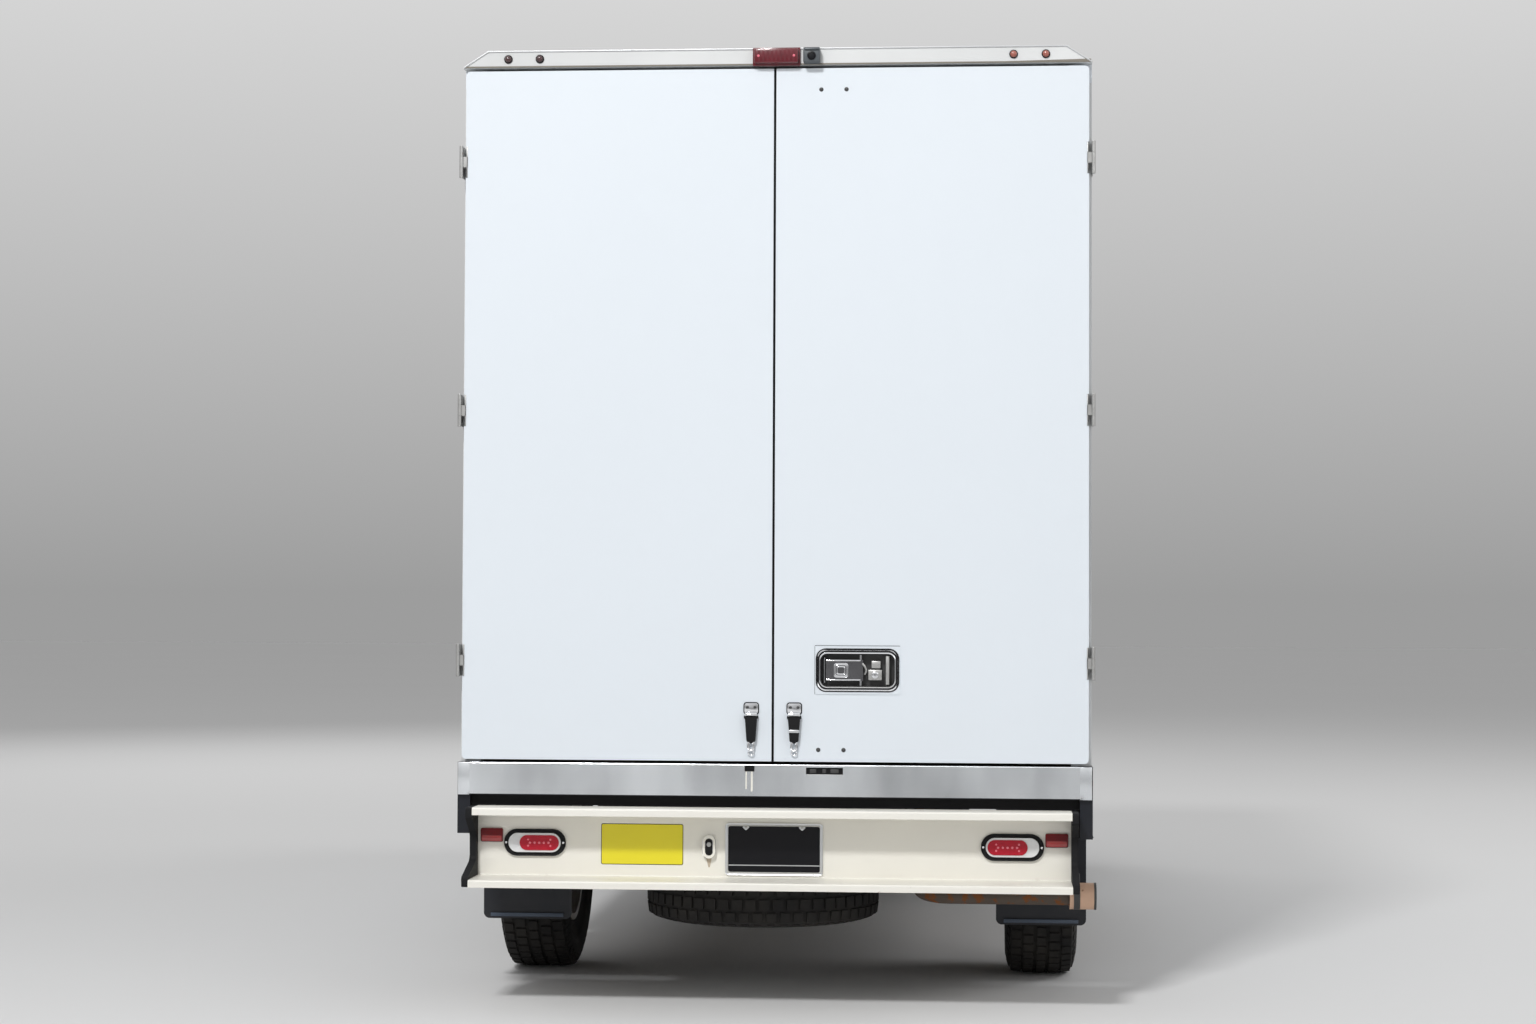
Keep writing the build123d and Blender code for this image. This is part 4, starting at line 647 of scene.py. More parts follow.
class Shape:
    """A mesh under construction, in metres in the vehicle's frame."""

    def __init__(self) -> None:
        """Start empty."""
        self.bm = bmesh.new()

    def absorb(self, other: bmesh.types.BMesh | bpy.types.Mesh, matrix: Matrix | None = None) -> None:
        """Add another mesh.

        Args:
            other: The mesh to add; a bmesh is freed.
            matrix: How to place it.
        """
        mesh = other
        if isinstance(other, bmesh.types.BMesh):
            mesh = bpy.data.meshes.new("part")
            other.to_mesh(mesh)
            other.free()
        if matrix is not None:
            mesh.transform(matrix)
        self.bm.from_mesh(mesh)
        bpy.data.meshes.remove(mesh)

    def block(self, low: Point, high: Point, bevel: float = 0.0, segments: int = 2) -> "Shape":
        """Add a box between two corners, with its edges rounded.

        Args:
            low: Lowest corner.
            high: Highest corner.
            bevel: Edge radius.
            segments: Segments in the edge.

        Returns:
            The shape itself.
        """
        part = bmesh.new()
        bmesh.ops.create_cube(part, size=1.0)
        a = Vector([min(p, q) for p, q in zip(low, high)])
        b = Vector([max(p, q) for p, q in zip(low, high)])
        middle = (a + b) / 2
        for vertex in part.verts:
            vertex.co = Vector([c * s + m for c, s, m in zip(vertex.co, b - a, middle)])
        if bevel:
            bmesh.ops.bevel(part, geom=list(part.edges), offset=bevel, segments=segments, profile=0.5,
                            affect="EDGES")
        self.absorb(part)
        return self

    def prism(self, outline: Sequence[Flat], axis: Axis, start: float, end: float,
              bevel: float = 0.0) -> "Shape":
        """Add an outline extruded along an axis, with a rounded edge at its end face.

        Args:
            outline: The closed outline.
            axis: The direction of extrusion.
            start: Where it starts along the axis.
            end: Where it ends; the rounded edge is there.
            bevel: Radius of that edge.

        Returns:
            The shape itself.
        """
        part = bmesh.new()
        first = [part.verts.new(lift(p, start, axis)) for p in outline]
        last = [part.verts.new(lift(p, end, axis)) for p in outline]
        count = len(outline)
        for i in range(count):
            j = (i + 1) % count
            part.faces.new((first[i], first[j], last[j], last[i]))
        part.faces.new(first[::-1])
        cap = part.faces.new(last)
        if bevel:
            bmesh.ops.bevel(part, geom=list(cap.edges), offset=bevel, segments=3, profile=0.5,
                            affect="EDGES")
        self.absorb(part)
        return self

    def ring(self, outer: Sequence[Flat], inner: Sequence[Flat], axis: Axis, start: float, end: float,
             crown: float = 0.0) -> "Shape":
        """Add a closed frame between two outlines with the same number of points.

        Args:
            outer: Outer outline.
            inner: Inner outline.
            axis: The direction of its depth.
            start: Back face.
            end: Front face.
            crown: How far the front's middle stands beyond its edges, for a rounded frame.

        Returns:
            The shape itself.
        """
        part = bmesh.new()
        sections = []
        levels = [(0.0, start), (0.0, end)]
        if crown:
            bow = 4
            levels += [(k / bow, end + crown * math.sin(math.pi * k / bow)) for k in range(1, bow)]
        levels += [(1.0, end), (1.0, start)]
        for share, along in levels:
            loop = []
            for p, q in zip(outer, inner):
                blend = (p[0] + (q[0] - p[0]) * share, p[1] + (q[1] - p[1]) * share)
                loop.append(part.verts.new(lift(blend, along, axis)))
            sections.append(loop)
        count = len(outer)
        for k in range(len(sections)):
            a, b = sections[k], sections[(k + 1) % len(sections)]
            for i in range(count):
                j = (i + 1) % count
                part.faces.new((a[i], a[j], b[j], b[i]))
        self.absorb(part)
        return self

    def rod(self, start: Point, end: Point, radius: float, segments: int = 20, bevel: float = 0.0,
            end_radius: float | None = None) -> "Shape":
        """Add a round bar between two points.

        Args:
            start: One end.
            end: The other end.
            radius: Radius at the start.
            segments: Sides.
            bevel: Rounding of both end edges.
            end_radius: Radius at the end, for a taper.

        Returns:
            The shape itself.
        """
        a, b = Vector(start), Vector(end)
        run = b - a
        part = bmesh.new()
        bmesh.ops.create_cone(part, cap_ends=True, segments=segments, radius1=radius,
                              radius2=radius if end_radius is None else end_radius, depth=run.length)
        if bevel:
            rims = [e for e in part.edges
                    if len(e.link_faces) == 2 and any(len(f.verts) > 4 for f in e.link_faces)]
            bmesh.ops.bevel(part, geom=rims, offset=bevel, segments=3, profile=0.5, affect="EDGES")
        turn = Vector((0, 0, 1)).rotation_difference(run).to_matrix().to_4x4()
        self.absorb(part, Matrix.Translation((a + b) / 2) @ turn)
        return self

    def turned(self, profile: Sequence[Flat], centre: Point, axis: Vector, steps: int = 48) -> "Shape":
        """Add a profile of (radius, distance along the axis) points turned about an axis.

        Args:
            profile: A closed profile, or one whose ends lie on the axis.
            centre: The origin of the axis.
            axis: Its direction.
            steps: Segments round it.

        Returns:
            The shape itself.
        """
        part = bmesh.new()
        loops = []
        for step in range(steps):
            angle = 2 * math.pi * step / steps
            loops.append([part.verts.new((r * math.cos(angle), r * math.sin(angle), d)) for r, d in profile])
        closed = profile[0][0] > 1e-6 or profile[-1][0] > 1e-6
        for step in range(steps):
            a, b = loops[step], loops[(step + 1) % steps]
            for i in range(len(profile) if closed else len(profile) - 1):
                j = (i + 1) % len(profile)
                part.faces.new((a[i], b[i], b[j], a[j]))
        bmesh.ops.remove_doubles(part, verts=part.verts, dist=1e-6)
        turn = Vector((0, 0, 1)).rotation_difference(axis).to_matrix().to_4x4()
        self.absorb(part, Matrix.Translation(centre) @ turn)
        return self

    def tube(self, path: Sequence[Vector], radius: float, closed: bool = False,
             segments: int = 10) -> "Shape":
        """Add a round tube along a run of points.

        Args:
            path: The points.
            radius: The tube's radius.
            closed: Join the last point to the first.
            segments: Sides.

        Returns:
            The shape itself.
        """
        curve = bpy.data.curves.new("path", "CURVE")
        curve.dimensions = "3D"
        curve.bevel_depth = radius
        curve.bevel_resolution = max(1, segments // 4)
        curve.use_fill_caps = not closed
        spline = curve.splines.new("POLY")
        spline.points.add(len(path) - 1)
        for point, place in zip(spline.points, path):
            point.co = (*place, 1.0)
        spline.use_cyclic_u = closed
        holder = bpy.data.objects.new("path", curve)
        mesh = bpy.data.meshes.new_from_object(holder)
        bpy.data.objects.remove(holder)
        bpy.data.curves.remove(curve)
        self.absorb(mesh)
        return self

    def finish(self, name: str, finish: Surface, body: str | Body = Body.CHASSIS,
               replaces: Sequence[str] = (), smooth: float = 35.0) -> bpy.types.Object:
        """Turn the shape into a finished piece that rides on a body.

        Args:
            name: The piece's name.
            finish: What it is made of.
            body: The body it rides on.
            replaces: The CAD nodes that it stands for.
            smooth: Edges sharper than this many degrees stay sharp.

        Returns:
            The object.
        """
        bmesh.ops.remove_doubles(self.bm, verts=self.bm.verts, dist=2e-6)
        bmesh.ops.recalc_face_normals(self.bm, faces=self.bm.faces)
        mesh = bpy.data.meshes.new(name)
        self.bm.to_mesh(mesh)
        self.bm.free()
        mesh.materials.clear()
        mesh.materials.append(finish.material())
        for polygon in mesh.polygons:
            polygon.material_index = 0
            polygon.use_smooth = True
        mesh.set_sharp_from_angle(angle=math.radians(smooth))
        piece = bpy.data.objects.new(name, mesh)
        bpy.context.scene.collection.objects.link(piece)
        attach(piece, body.value if isinstance(body, Body) else body)
        if replaces:
            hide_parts(*replaces)
        LOG.info("%s: %d faces on %s", name, len(mesh.polygons), body)
        return piece


class Skin:
    """The surface of some CAD nodes or pieces, for seating others on it."""

    def __init__(self, *nodes: str | bpy.types.Object) -> None:
        """Gather their triangles.

        Args:
            nodes: Names of CAD nodes, or finished pieces.
        """
        vertices: list[Vector] = []
        triangles: list[tuple[int, ...]] = []
        for node in nodes:
            mesh = (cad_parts[node] if isinstance(node, str) else node).data
            base = len(vertices)
            vertices += [v.co.copy() for v in mesh.vertices]
            triangles += [tuple(base + i for i in p.vertices) for p in mesh.polygons]
        self.tree = BVHTree.FromPolygons(vertices, triangles)

    def hit(self, start: Point | Vector, direction: Point | Vector) -> tuple[Vector, Vector]:
        """The first point of the surface along a ray.

        Args:
            start: Where the ray starts.
            direction: Where it goes.

        Returns:
            The point and the surface's normal there.
        """
        place, normal, _, _ = self.tree.ray_cast(Vector(start), Vector(direction).normalized())
        if place is None:
            raise ValueError(f"no surface from {tuple(start)} along {tuple(direction)}")
        return place, normal


# Repeats in Geometry Nodes


class Repeat:
    """A Geometry Nodes tree that sets one small mesh at many places, with named inputs."""

    SOCKETS = {int: "NodeSocketInt", float: "NodeSocketFloat", tuple: "NodeSocketVector"}

    def __init__(self, name: str, inputs: dict[str, int | float | tuple]) -> None:
        """Start the tree.

        Args:
            name: The tree's name.
            inputs: Input name to default value.
        """
        tree = bpy.data.node_groups.new(name, "GeometryNodeTree")
        for key, value in inputs.items():
            socket = tree.interface.new_socket(key, in_out="INPUT", socket_type=self.SOCKETS[type(value)])
            socket.default_value = value
        tree.interface.new_socket("Material", in_out="INPUT", socket_type="NodeSocketMaterial")
        tree.interface.new_socket("Geometry", in_out="OUTPUT", socket_type="NodeSocketGeometry")
        self.tree = tree
        self.desk = Desk(tree)
        self.given = self.desk.add("NodeGroupInput").outputs

    def line(self) -> bpy.types.NodeSocket:
        """Points in a straight line: Count of them, from Start by Step."""
        places = {"Count": self.given["Count"], "Start Location": self.given["Start"],
                  "Offset": self.given["Step"]}
        return self.desk.add("GeometryNodeMeshLine", places, mode="OFFSET").outputs[0]

    def circle(self, radius: bpy.types.NodeSocket, phase: object = 0.0) -> tuple[bpy.types.NodeSocket, ...]:
        """Points round the X axis, at Offset along it.

        Args:
            radius: The circle's radius.
            phase: Turn of the first point, in steps.

        Returns:
            The points' geometry, and the angle at each.
        """
        desk, given = self.desk, self.given
        line = desk.add("GeometryNodeMeshLine", {"Count": given["Count"]}, mode="OFFSET")
        index = desk.math("ADD", desk.add("GeometryNodeInputIndex").outputs[0], phase)
        angle = desk.math("MULTIPLY", desk.math("DIVIDE", index, given["Count"]), math.tau)
        y = desk.math("MULTIPLY", desk.math("COSINE", angle), radius)
        z = desk.math("MULTIPLY", desk.math("SINE", angle), radius)
        place = desk.add("ShaderNodeCombineXYZ", {0: given["Offset"], 1: y, 2: z}).outputs[0]
        moved = desk.add("GeometryNodeSetPosition", {"Geometry": line.outputs[0], "Position": place})
        return moved.outputs[0], angle

    def close(self, points: bpy.types.NodeSocket, item: bpy.types.NodeSocket,
              rotation: bpy.types.NodeSocket | None = None) -> "Repeat":
        """Set the item at the points, realise it and give it its material.

        Args:
            points: The points' geometry.
            item: The geometry to set there.
            rotation: Its rotation at each point.

        Returns:
            The repeat itself.
        """
        placed = self.desk.add("GeometryNodeInstanceOnPoints", {"Points": points, "Instance": item})
        if rotation is not None:
            self.desk.feed(placed.inputs["Rotation"], rotation)
        real = self.desk.add("GeometryNodeRealizeInstances", {0: placed.outputs[0]})
        painted = self.desk.add("GeometryNodeSetMaterial", {"Geometry": real.outputs[0],
                                                            "Material": self.given["Material"]})
        self.desk.add("NodeGroupOutput", {0: painted.outputs[0]})
        return self

    def grow(self, finish: Surface, values: dict[str, int | float | tuple]) -> bpy.types.Mesh:
        """Run the tree with some values.

        Args:
            finish: The material to set.
            values: Input name to value.

        Returns:
            A plain mesh.
        """
        holder = bpy.data.objects.new("holder", bpy.data.meshes.new("holder"))
        bpy.context.scene.collection.objects.link(holder)
        modifier = holder.modifiers.new("repeat", "NODES")
        modifier.node_group = self.tree
        for item in self.tree.interface.items_tree:
            if item.in_out == "INPUT" and item.name == "Material":
                modifier[item.identifier] = finish.material()
            elif item.in_out == "INPUT" and item.name in values:
                modifier[item.identifier] = values[item.name]
        shaped = holder.evaluated_get(bpy.context.evaluated_depsgraph_get())
        mesh = bpy.data.meshes.new_from_object(shaped)
        empty = holder.data
        bpy.data.objects.remove(holder)
        bpy.data.meshes.remove(empty)
        return mesh


def line_of_domes() -> Repeat:
    """A straight line of domed heads: rivets, screws or lamp diodes."""
    repeat = Repeat("line_of_domes", {"Start": (0.0, 0.0, 0.0), "Step": (0.1, 0.0, 0.0), "Count": 2,
                                      "Radius": 0.005, "Height": 0.003, "Turn": (0.0, 0.0, 0.0)})
    given, desk = repeat.given, repeat.desk
    ball = desk.add("GeometryNodeMeshUVSphere", {"Segments": 10, "Rings": 6, "Radius": given["Radius"]})
    squash = desk.math("DIVIDE", given["Height"], given["Radius"])
    size = desk.add("ShaderNodeCombineXYZ", {0: 1.0, 1: 1.0, 2: squash}).outputs[0]
    dome = desk.add("GeometryNodeTransform", {"Geometry": ball.outputs[0], "Scale": size})
    turned = desk.add("GeometryNodeTransform", {"Geometry": dome.outputs[0], "Rotation": given["Turn"]})
    return repeat.close(repeat.line(), turned.outputs[0])


def ring_of_blocks() -> Repeat:
    """Blocks round the X axis: the tread blocks of a tyre."""
    repeat = Repeat("ring_of_blocks", {"Count": 8, "Radius": 0.3, "Offset": 0.0, "Size": (0.02, 0.02, 0.02),
                                       "Slant": 0.0, "Phase": 0.0})
    given, desk = repeat.given, repeat.desk
    points, angle = repeat.circle(given["Radius"], given["Phase"])
    cube = desk.add("GeometryNodeMeshCube", {"Size": given["Size"]})
    slanted = desk.add("GeometryNodeTransform", {
        "Geometry": cube.outputs[0],
        "Rotation": desk.add("ShaderNodeCombineXYZ", {0: 0.0, 1: given["Slant"], 2: 0.0}).outputs[0]})
    turn = desk.add("ShaderNodeCombineXYZ", {0: desk.math("SUBTRACT", angle, math.pi / 2), 1: 0.0,
                                             2: 0.0}).outputs[0]
    return repeat.close(points, slanted.outputs[0], turn)


def row_of_bars() -> Repeat:
    """Straight bars in a row: roof bows, wall posts, slats or vent blades."""
    repeat = Repeat("row_of_bars", {"Start": (0.0, 0.0, 0.0), "Step": (0.1, 0.0, 0.0), "Count": 2,
                                    "Size": (0.02, 0.02, 1.0), "Turn": (0.0, 0.0, 0.0)})
    given, desk = repeat.given, repeat.desk
    bar = desk.add("GeometryNodeMeshCube", {"Size": given["Size"]})
    turned = desk.add("GeometryNodeTransform", {"Geometry": bar.outputs[0], "Rotation": given["Turn"]})
    return repeat.close(repeat.line(), turned.outputs[0])


def ring_of_studs() -> Repeat:
    """Short prisms or rods round the X axis: washers, nuts and stud ends."""
    repeat = Repeat("ring_of_studs", {"Count": 8, "Circle": 0.1, "Sides": 6, "Radius": 0.01, "Depth": 0.01,
                                      "Offset": 0.0})
    given, desk = repeat.given, repeat.desk
    points, angle = repeat.circle(given["Circle"])
    stud = desk.add("GeometryNodeMeshCylinder", {"Vertices": given["Sides"], "Radius": given["Radius"],
                                                 "Depth": given["Depth"]})
    laid = desk.add("GeometryNodeTransform", {"Geometry": stud.outputs[0],
                                              "Rotation": (0.0, math.pi / 2, 0.0)})
    turn = desk.add("ShaderNodeCombineXYZ", {0: angle, 1: 0.0, 2: 0.0}).outputs[0]
    return repeat.close(points, laid.outputs[0], turn)


DOMES = line_of_domes()
LUGS = ring_of_blocks()
BARS = row_of_bars()
STUDS = ring_of_studs()


def domes(shape: Shape, finish: Surface, start: Point, step: Point, count: int, radius: float, height: float,
          axis: Axis = Axis.Y) -> None:
    """Add a line of domed heads to a shape.

    Args:
        shape: The shape to add to.
        finish: Its finish.
        start: The first head.
        step: From each head to the next.
        count: How many.
        radius: Head radius.
        height: Head height.
        axis: The direction that the heads face.
    """
    turn = {Axis.X: (0.0, math.pi / 2, 0.0), Axis.Y: (math.pi / 2, 0.0, 0.0), Axis.Z: (0.0, 0.0, 0.0)}[axis]
    shape.absorb(DOMES.grow(finish, {"Start": start, "Step": step, "Count": count, "Radius": radius,
                                     "Height": height, "Turn": turn}))


def middle_of(node: str) -> Point:
    """The middle of a CAD node's box."""
    low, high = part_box(node)
    return tuple((a + b) / 2 for a, b in zip(low, high))


# Sizes read from the frame

DOOR_THICK = 0.038        # a rear door's thickness
HEADER_TALL = 0.056       # height of the header's face
DOOR_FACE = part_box("rear_door_right")[0][1]
DOOR_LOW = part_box("rear_door_right")[0][2]
DOOR_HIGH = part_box("rear_door_right")[1][2]
DOOR_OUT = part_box("rear_door_right")[1][0]
DOOR_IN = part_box("rear_door_right")[0][0]
DOOR_BACK = DOOR_FACE + DOOR_THICK
BOX_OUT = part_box("box_side_right")[1][0]
BOX_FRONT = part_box("box_front_wall")[1][1]
ROOF_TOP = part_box("box_roof")[1][2]
SILL_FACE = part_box("rear_sill")[0][1]
WEB_FACE = DOOR_FACE
HEADER_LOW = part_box("rear_frame")[1][2] - HEADER_TALL
HEADER_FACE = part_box("rear_frame")[0][1]
SEAT = 0.0004             # how far a fitted piece sinks into what carries it
SPRING_X = 0.59           # distance of the rear springs from the middle
FAR_AHEAD = 3.2           # where rays start that look back at the nose
FAR_OUT = 1.4             # where rays start that look in at the cab's sides
REARWARD = Vector((0, -1, 0))


@dataclass(frozen=True)
class PaddleLatch:
    """The recessed latch of the right rear door: cover plate, bezel, bowl, paddle and lock.

    Attributes:
        plate: Width and height of the cover plate.
        bezel: Width and height of the chromed bezel.
        bowl: Width and height of the bowl.
        depth: Depth of the bowl behind the door's face.
        body: The body it rides on.
    """

    plate: Flat = (0.272, 0.154)
    bezel: Flat = (0.260, 0.132)
    bowl: Flat = (0.232, 0.100)
    depth: float = 0.026
    body: str = "rear_door_right"

    def build(self) -> None:
        """Build the whole latch."""
        x, _, z = middle_of("door_latch")
        face = DOOR_FACE - SEAT
        self._cover(x, z, face)
        self._bowl(x, z, face)
        self._paddle(x, z, face)
        self._lock(x, z, face)

    @staticmethod
    def _frame(size: Flat, x: float, z: float, grow: float, radius: float) -> list[Flat]:
        """A rounded rectangle of a (width, height) size round a centre."""
        w = size[0] / 2 + grow
        h = size[1] / 2 + grow
        return rounded(rectangle(x - w, x + w, z - h, z + h), radius, 8)

    def _cover(self, x: float, z: float, face: float) -> None:
        """The painted cover plate, a black line of painted shadow under its top edge, a dark strip down its
        left edge, the gaskets and the bezel.
        """
        hole = self._frame(self.bowl, x, z, 0.0, 0.020)
        cover = Shape().ring(self._frame(self.plate, x, z, 0.0, 0.003), hole, Axis.Y, face, face - 0.0022)
        cover.finish("latch_cover", DOOR_WHITE, self.body, ("door_latch",))
        w = self.plate[0] / 2
        top = z + self.plate[1] / 2
        # Painted shadow: the black strip under the cover plate's top edge.
        gaskets_and_shadow_line = Shape().block((x - w, face - 0.0016, top), (x + w, face, top + 0.0016), 0.0005)
        gaskets_and_shadow_line.block((x - w - 0.0012, face - 0.0012, z - self.plate[1] / 2), (x - w, face, top), 0.0004)
        gaskets_and_shadow_line.ring(self._frame(self.bezel, x, z, 0.0035, 0.033), hole, Axis.Y, face - 0.002, face - 0.004)
        gaskets_and_shadow_line.ring(self._frame(self.bowl, x, z, 0.003, 0.022), hole, Axis.Y, face - 0.006, face - 0.0095)
        gaskets_and_shadow_line.finish("latch_gaskets", INK_BLACK, self.body)
        ring = Shape().ring(self._frame(self.bezel, x, z, 0.0, 0.030),
                            self._frame(self.bowl, x, z, 0.003, 0.022), Axis.Y, face - 0.003, face - 0.007,
                            0.004)
        ring.finish("latch_bezel", CHROME, self.body, smooth=60)

    def _bowl(self, x: float, z: float, face: float) -> None:
        """The dark pressed bowl sunk into the door."""
        inner = self._frame(self.bowl, x, z, 0.0, 0.020)
        tray = Shape().ring(self._frame(self.bowl, x, z, 0.0015, 0.021), inner, Axis.Y, face,
                            face + self.depth)
        tray.prism(inner, Axis.Y, face + self.depth + 0.0015, face + self.depth - 0.001)
        tray.finish("latch_bowl", DARK_STEEL, self.body)

    def _paddle(self, x: float, z: float, face: float) -> None:
        """The paddle with its lip, bright edge bars, nested boss and pivot pin; its chrome is darkened as
        painted shade of the bowl.
        """
        edge = x - self.bowl[0] / 2
        pin_x = x + 0.010
        profile = [(pin_x + 0.009, face + 0.009), (edge + 0.020, face - 0.001), (edge + 0.012, face - 0.009),
                   (edge + 0.028, face - 0.0098), (pin_x + 0.009, face - 0.003)]
        paddle = Shape().prism(rounded(profile, (0.003, 0.002, 0.002, 0.005, 0.003)), Axis.Z, z - 0.034,
                               z + 0.034)
        paddle.finish("latch_paddle", CHROME_WITH_PAINTED_SHADE, self.body)
        bright = Shape()
        for level in (z - 0.031, z + 0.031):
            bright.rod((edge + 0.016, face - 0.0105, level), (pin_x, face - 0.005, level), 0.0028, 12,
                       0.0008)
        boss_x = x - 0.052
        for half, front in ((0.023, 0.012), (0.014, 0.0150)):
            outer = rounded(rectangle(boss_x - half, boss_x + half, z - half, z + half), half * 0.35)
            inner = rounded(rectangle(boss_x - half * 0.72, boss_x + half * 0.72, z - half * 0.72,
                                      z + half * 0.72), half * 0.25)
            bright.ring(outer, inner, Axis.Y, face - 0.006, face - front, 0.001)
        bright.rod((pin_x, face + 0.003, z - 0.049), (pin_x, face + 0.003, z + 0.049), 0.004, 16)
        bright.rod((edge + 0.010, face + 0.004, z - 0.040), (edge + 0.010, face + 0.004, z + 0.040), 0.003,
                   14)
        bright.finish("latch_bright_work", CHROME, self.body)
        lever = Shape()
        bend = [Vector((x + 0.016 + 0.012 * math.sin(a), face - 0.002 - 0.006 * math.cos(a),
                        z + 0.022 - 0.014 * a)) for a in (0.0, 0.5, 1.0, 1.5, 2.0, 2.5)]
        lever.tube(bend, 0.0035)
        lever.finish("latch_lever", ZINC, self.body)

    def _lock(self, x: float, z: float, face: float) -> None:
        """The grey lock block with its cylinder, and the stop bar at the bowl's end."""
        lock = Shape().block((x + 0.034, face - 0.002, z - 0.032), (x + 0.078, face + self.depth, z + 0.002),
                             0.003)
        lock.block((x + 0.044, face + 0.004, z + 0.006), (x + 0.074, face + self.depth, z + 0.030), 0.003)
        lock.block((x + 0.090, face - 0.004, z - 0.047), (x + 0.102, face + self.depth, z + 0.047), 0.003)
        lock.finish("latch_lock_block", ZINC, self.body)
        barrel = Shape().turned([(0.0, 0.0), (0.011, 0.0), (0.011, 0.004), (0.009, 0.005), (0.0, 0.005)],
                                (x + 0.056, face - 0.0015, z - 0.015), REARWARD, 28)
        barrel.finish("latch_lock_barrel", CHROME, self.body)
        slit = Shape().block((x + 0.0552, face - 0.0068, z - 0.020), (x + 0.0568, face - 0.005, z - 0.010))
        slit.finish("latch_key_slot", INK_BLACK, self.body)


@dataclass(frozen=True)
class DoorHardware:
    """The hinge halves and the door holder of one rear door.

    Attributes:
        side: Which door.
        holder_x: Distance of the holder from the middle.
        hinge_height: Height of a hinge.
        barrel: Radius of its barrel.
        leaf: Thickness of its leaves.
    """

    side: Side
    holder_x: float = 0.069
    hinge_height: float = 0.102
    barrel: float = 0.006
    leaf: float = 0.003

    @property
    def body(self) -> str:
        """The door's body."""
        return f"rear_door_{self.side.word}"

    def levels(self) -> tuple[float, float, float]:
        """The hinges' levels, spread between the door's edges."""
        low = DOOR_LOW + 0.318
        high = DOOR_HIGH - 0.295
        return low, (low + high) / 2, high

    def build(self) -> None:
        """Build the hinge halves, their screws, and the holder."""
        self._hinges()
        self._holder()

    def _hinges(self) -> None:
        """The door's leaves and middle barrels, and the frame's screws and pin heads."""
        s = self.side.value
        pin = (s * (BOX_OUT + 0.004), DOOR_FACE - 0.006)
        tangent = pin[1] + self.barrel
        edge = DOOR_OUT * s
        third = self.hinge_height / 3
        leaves = Shape()
        heads = Shape()
        frame_heads = Shape()
        for z in self.levels():
            low = z - self.hinge_height / 2
            leaves.rod((*pin, low + third), (*pin, low + 2 * third), self.barrel, 24)
            leaves.block((edge - s * 0.006, tangent - self.leaf, low + third),
                         (pin[0], tangent, low + 2 * third))
            leaves.block((edge - s * 0.006, tangent - self.leaf, low + 0.001),
                         (edge - s * 0.003, DOOR_FACE + 0.036, low + self.hinge_height - 0.001), 0.0006)
            screw = (edge - s * 0.003, DOOR_FACE + 0.018, low + 0.016)
            domes(heads, ZINC, screw, (0.0, 0.0, 0.035), 3, 0.0045, 0.0022, Axis.X)
            screw = (s * (BOX_OUT + self.leaf), DOOR_FACE + 0.062, low + 0.016)
            domes(frame_heads, ZINC, screw, (0.0, 0.0, 0.035), 3, 0.0050, 0.0024, Axis.X)
            for end in (low, low + self.hinge_height):
                frame_heads.rod((*pin, end - 0.0015), (*pin, end + 0.0015), self.barrel * 0.9, 20, 0.0006)
        leaves.finish(f"hinge_leaves_{self.side.word}", ZINC, self.body,
                      (f"door_hardware_{self.side.word}",))
        heads.finish(f"hinge_screws_{self.side.word}", ZINC, self.body)
        frame_heads.finish(f"hinge_frame_screws_{self.side.word}", ZINC)

    def _holder(self) -> None:
        """A riveted bracket with a bright bar, a tapered rubber tongue and a slotted eye."""
        x = self.side.value * self.holder_x
        top = DOOR_LOW + 0.186
        face = DOOR_FACE - SEAT
        plate = rounded(rectangle(x - 0.022, x + 0.022, top - 0.034, top), 0.008)
        rim = rounded(rectangle(x - 0.025, x + 0.025, top - 0.037, top + 0.003), 0.010)
        dark = Shape().prism(rim, Axis.Y, face, face - 0.0018, 0.0006)
        dark.block((x - 0.023, face - 0.011, top - 0.050), (x + 0.023, face, top - 0.040), 0.002)
        dark.finish(f"holder_shadow_plate_{self.side.word}", INK_BLACK, self.body)
        bright = Shape().prism(plate, Axis.Y, face - 0.001, face - 0.0045, 0.001)
        bright.rod((x - 0.019, face - 0.0115, top - 0.036), (x + 0.019, face - 0.0115, top - 0.036), 0.0065,
                   18, 0.0012)
        eye_top = top - 0.116
        outer = rounded(rectangle(x - 0.012, x + 0.012, eye_top - 0.037, eye_top), 0.0115)
        inner = rounded(rectangle(x - 0.0055, x + 0.0055, eye_top - 0.030, eye_top - 0.012), 0.0052)
        bright.ring(outer, inner, Axis.Y, face - 0.004, face - 0.011, 0.002)
        ring = [Vector((x + 0.009 * math.cos(a), face - 0.008, eye_top - 0.043 + 0.007 * math.sin(a)))
                for a in (math.tau * k / 20 for k in range(20))]
        bright.tube(ring, 0.0022, closed=True)
        bright.finish(f"holder_bracket_{self.side.word}", CHROME, self.body,
                      (f"door_hardware_{self.side.word}",))
        heads = Shape()
        domes(heads, DARK_STEEL, (x - 0.012, face - 0.0045, top - 0.013), (0.024, 0.0, 0.0), 2, 0.0048,
              0.003)
        heads.finish(f"holder_rivets_{self.side.word}", DARK_STEEL, self.body)
        shape = [(x - 0.0195, top - 0.044), (x - 0.0135, top - 0.124), (x + 0.0135, top - 0.124),
                 (x + 0.0195, top - 0.044)]
        tongue = Shape().prism(rounded(shape, (0.004, 0.006, 0.006, 0.004)), Axis.Y, face - 0.003,
                               face - 0.018, 0.004)
        tongue.finish(f"holder_tongue_{self.side.word}", RUBBER, self.body)
        if self.side is Side.RIGHT:
            band = Shape().block((x - 0.0165, face - 0.0192, top - 0.094),
                                 (x + 0.0165, face - 0.004, top - 0.084), 0.002)
            band.finish("holder_band", ALUMINIUM, self.body)


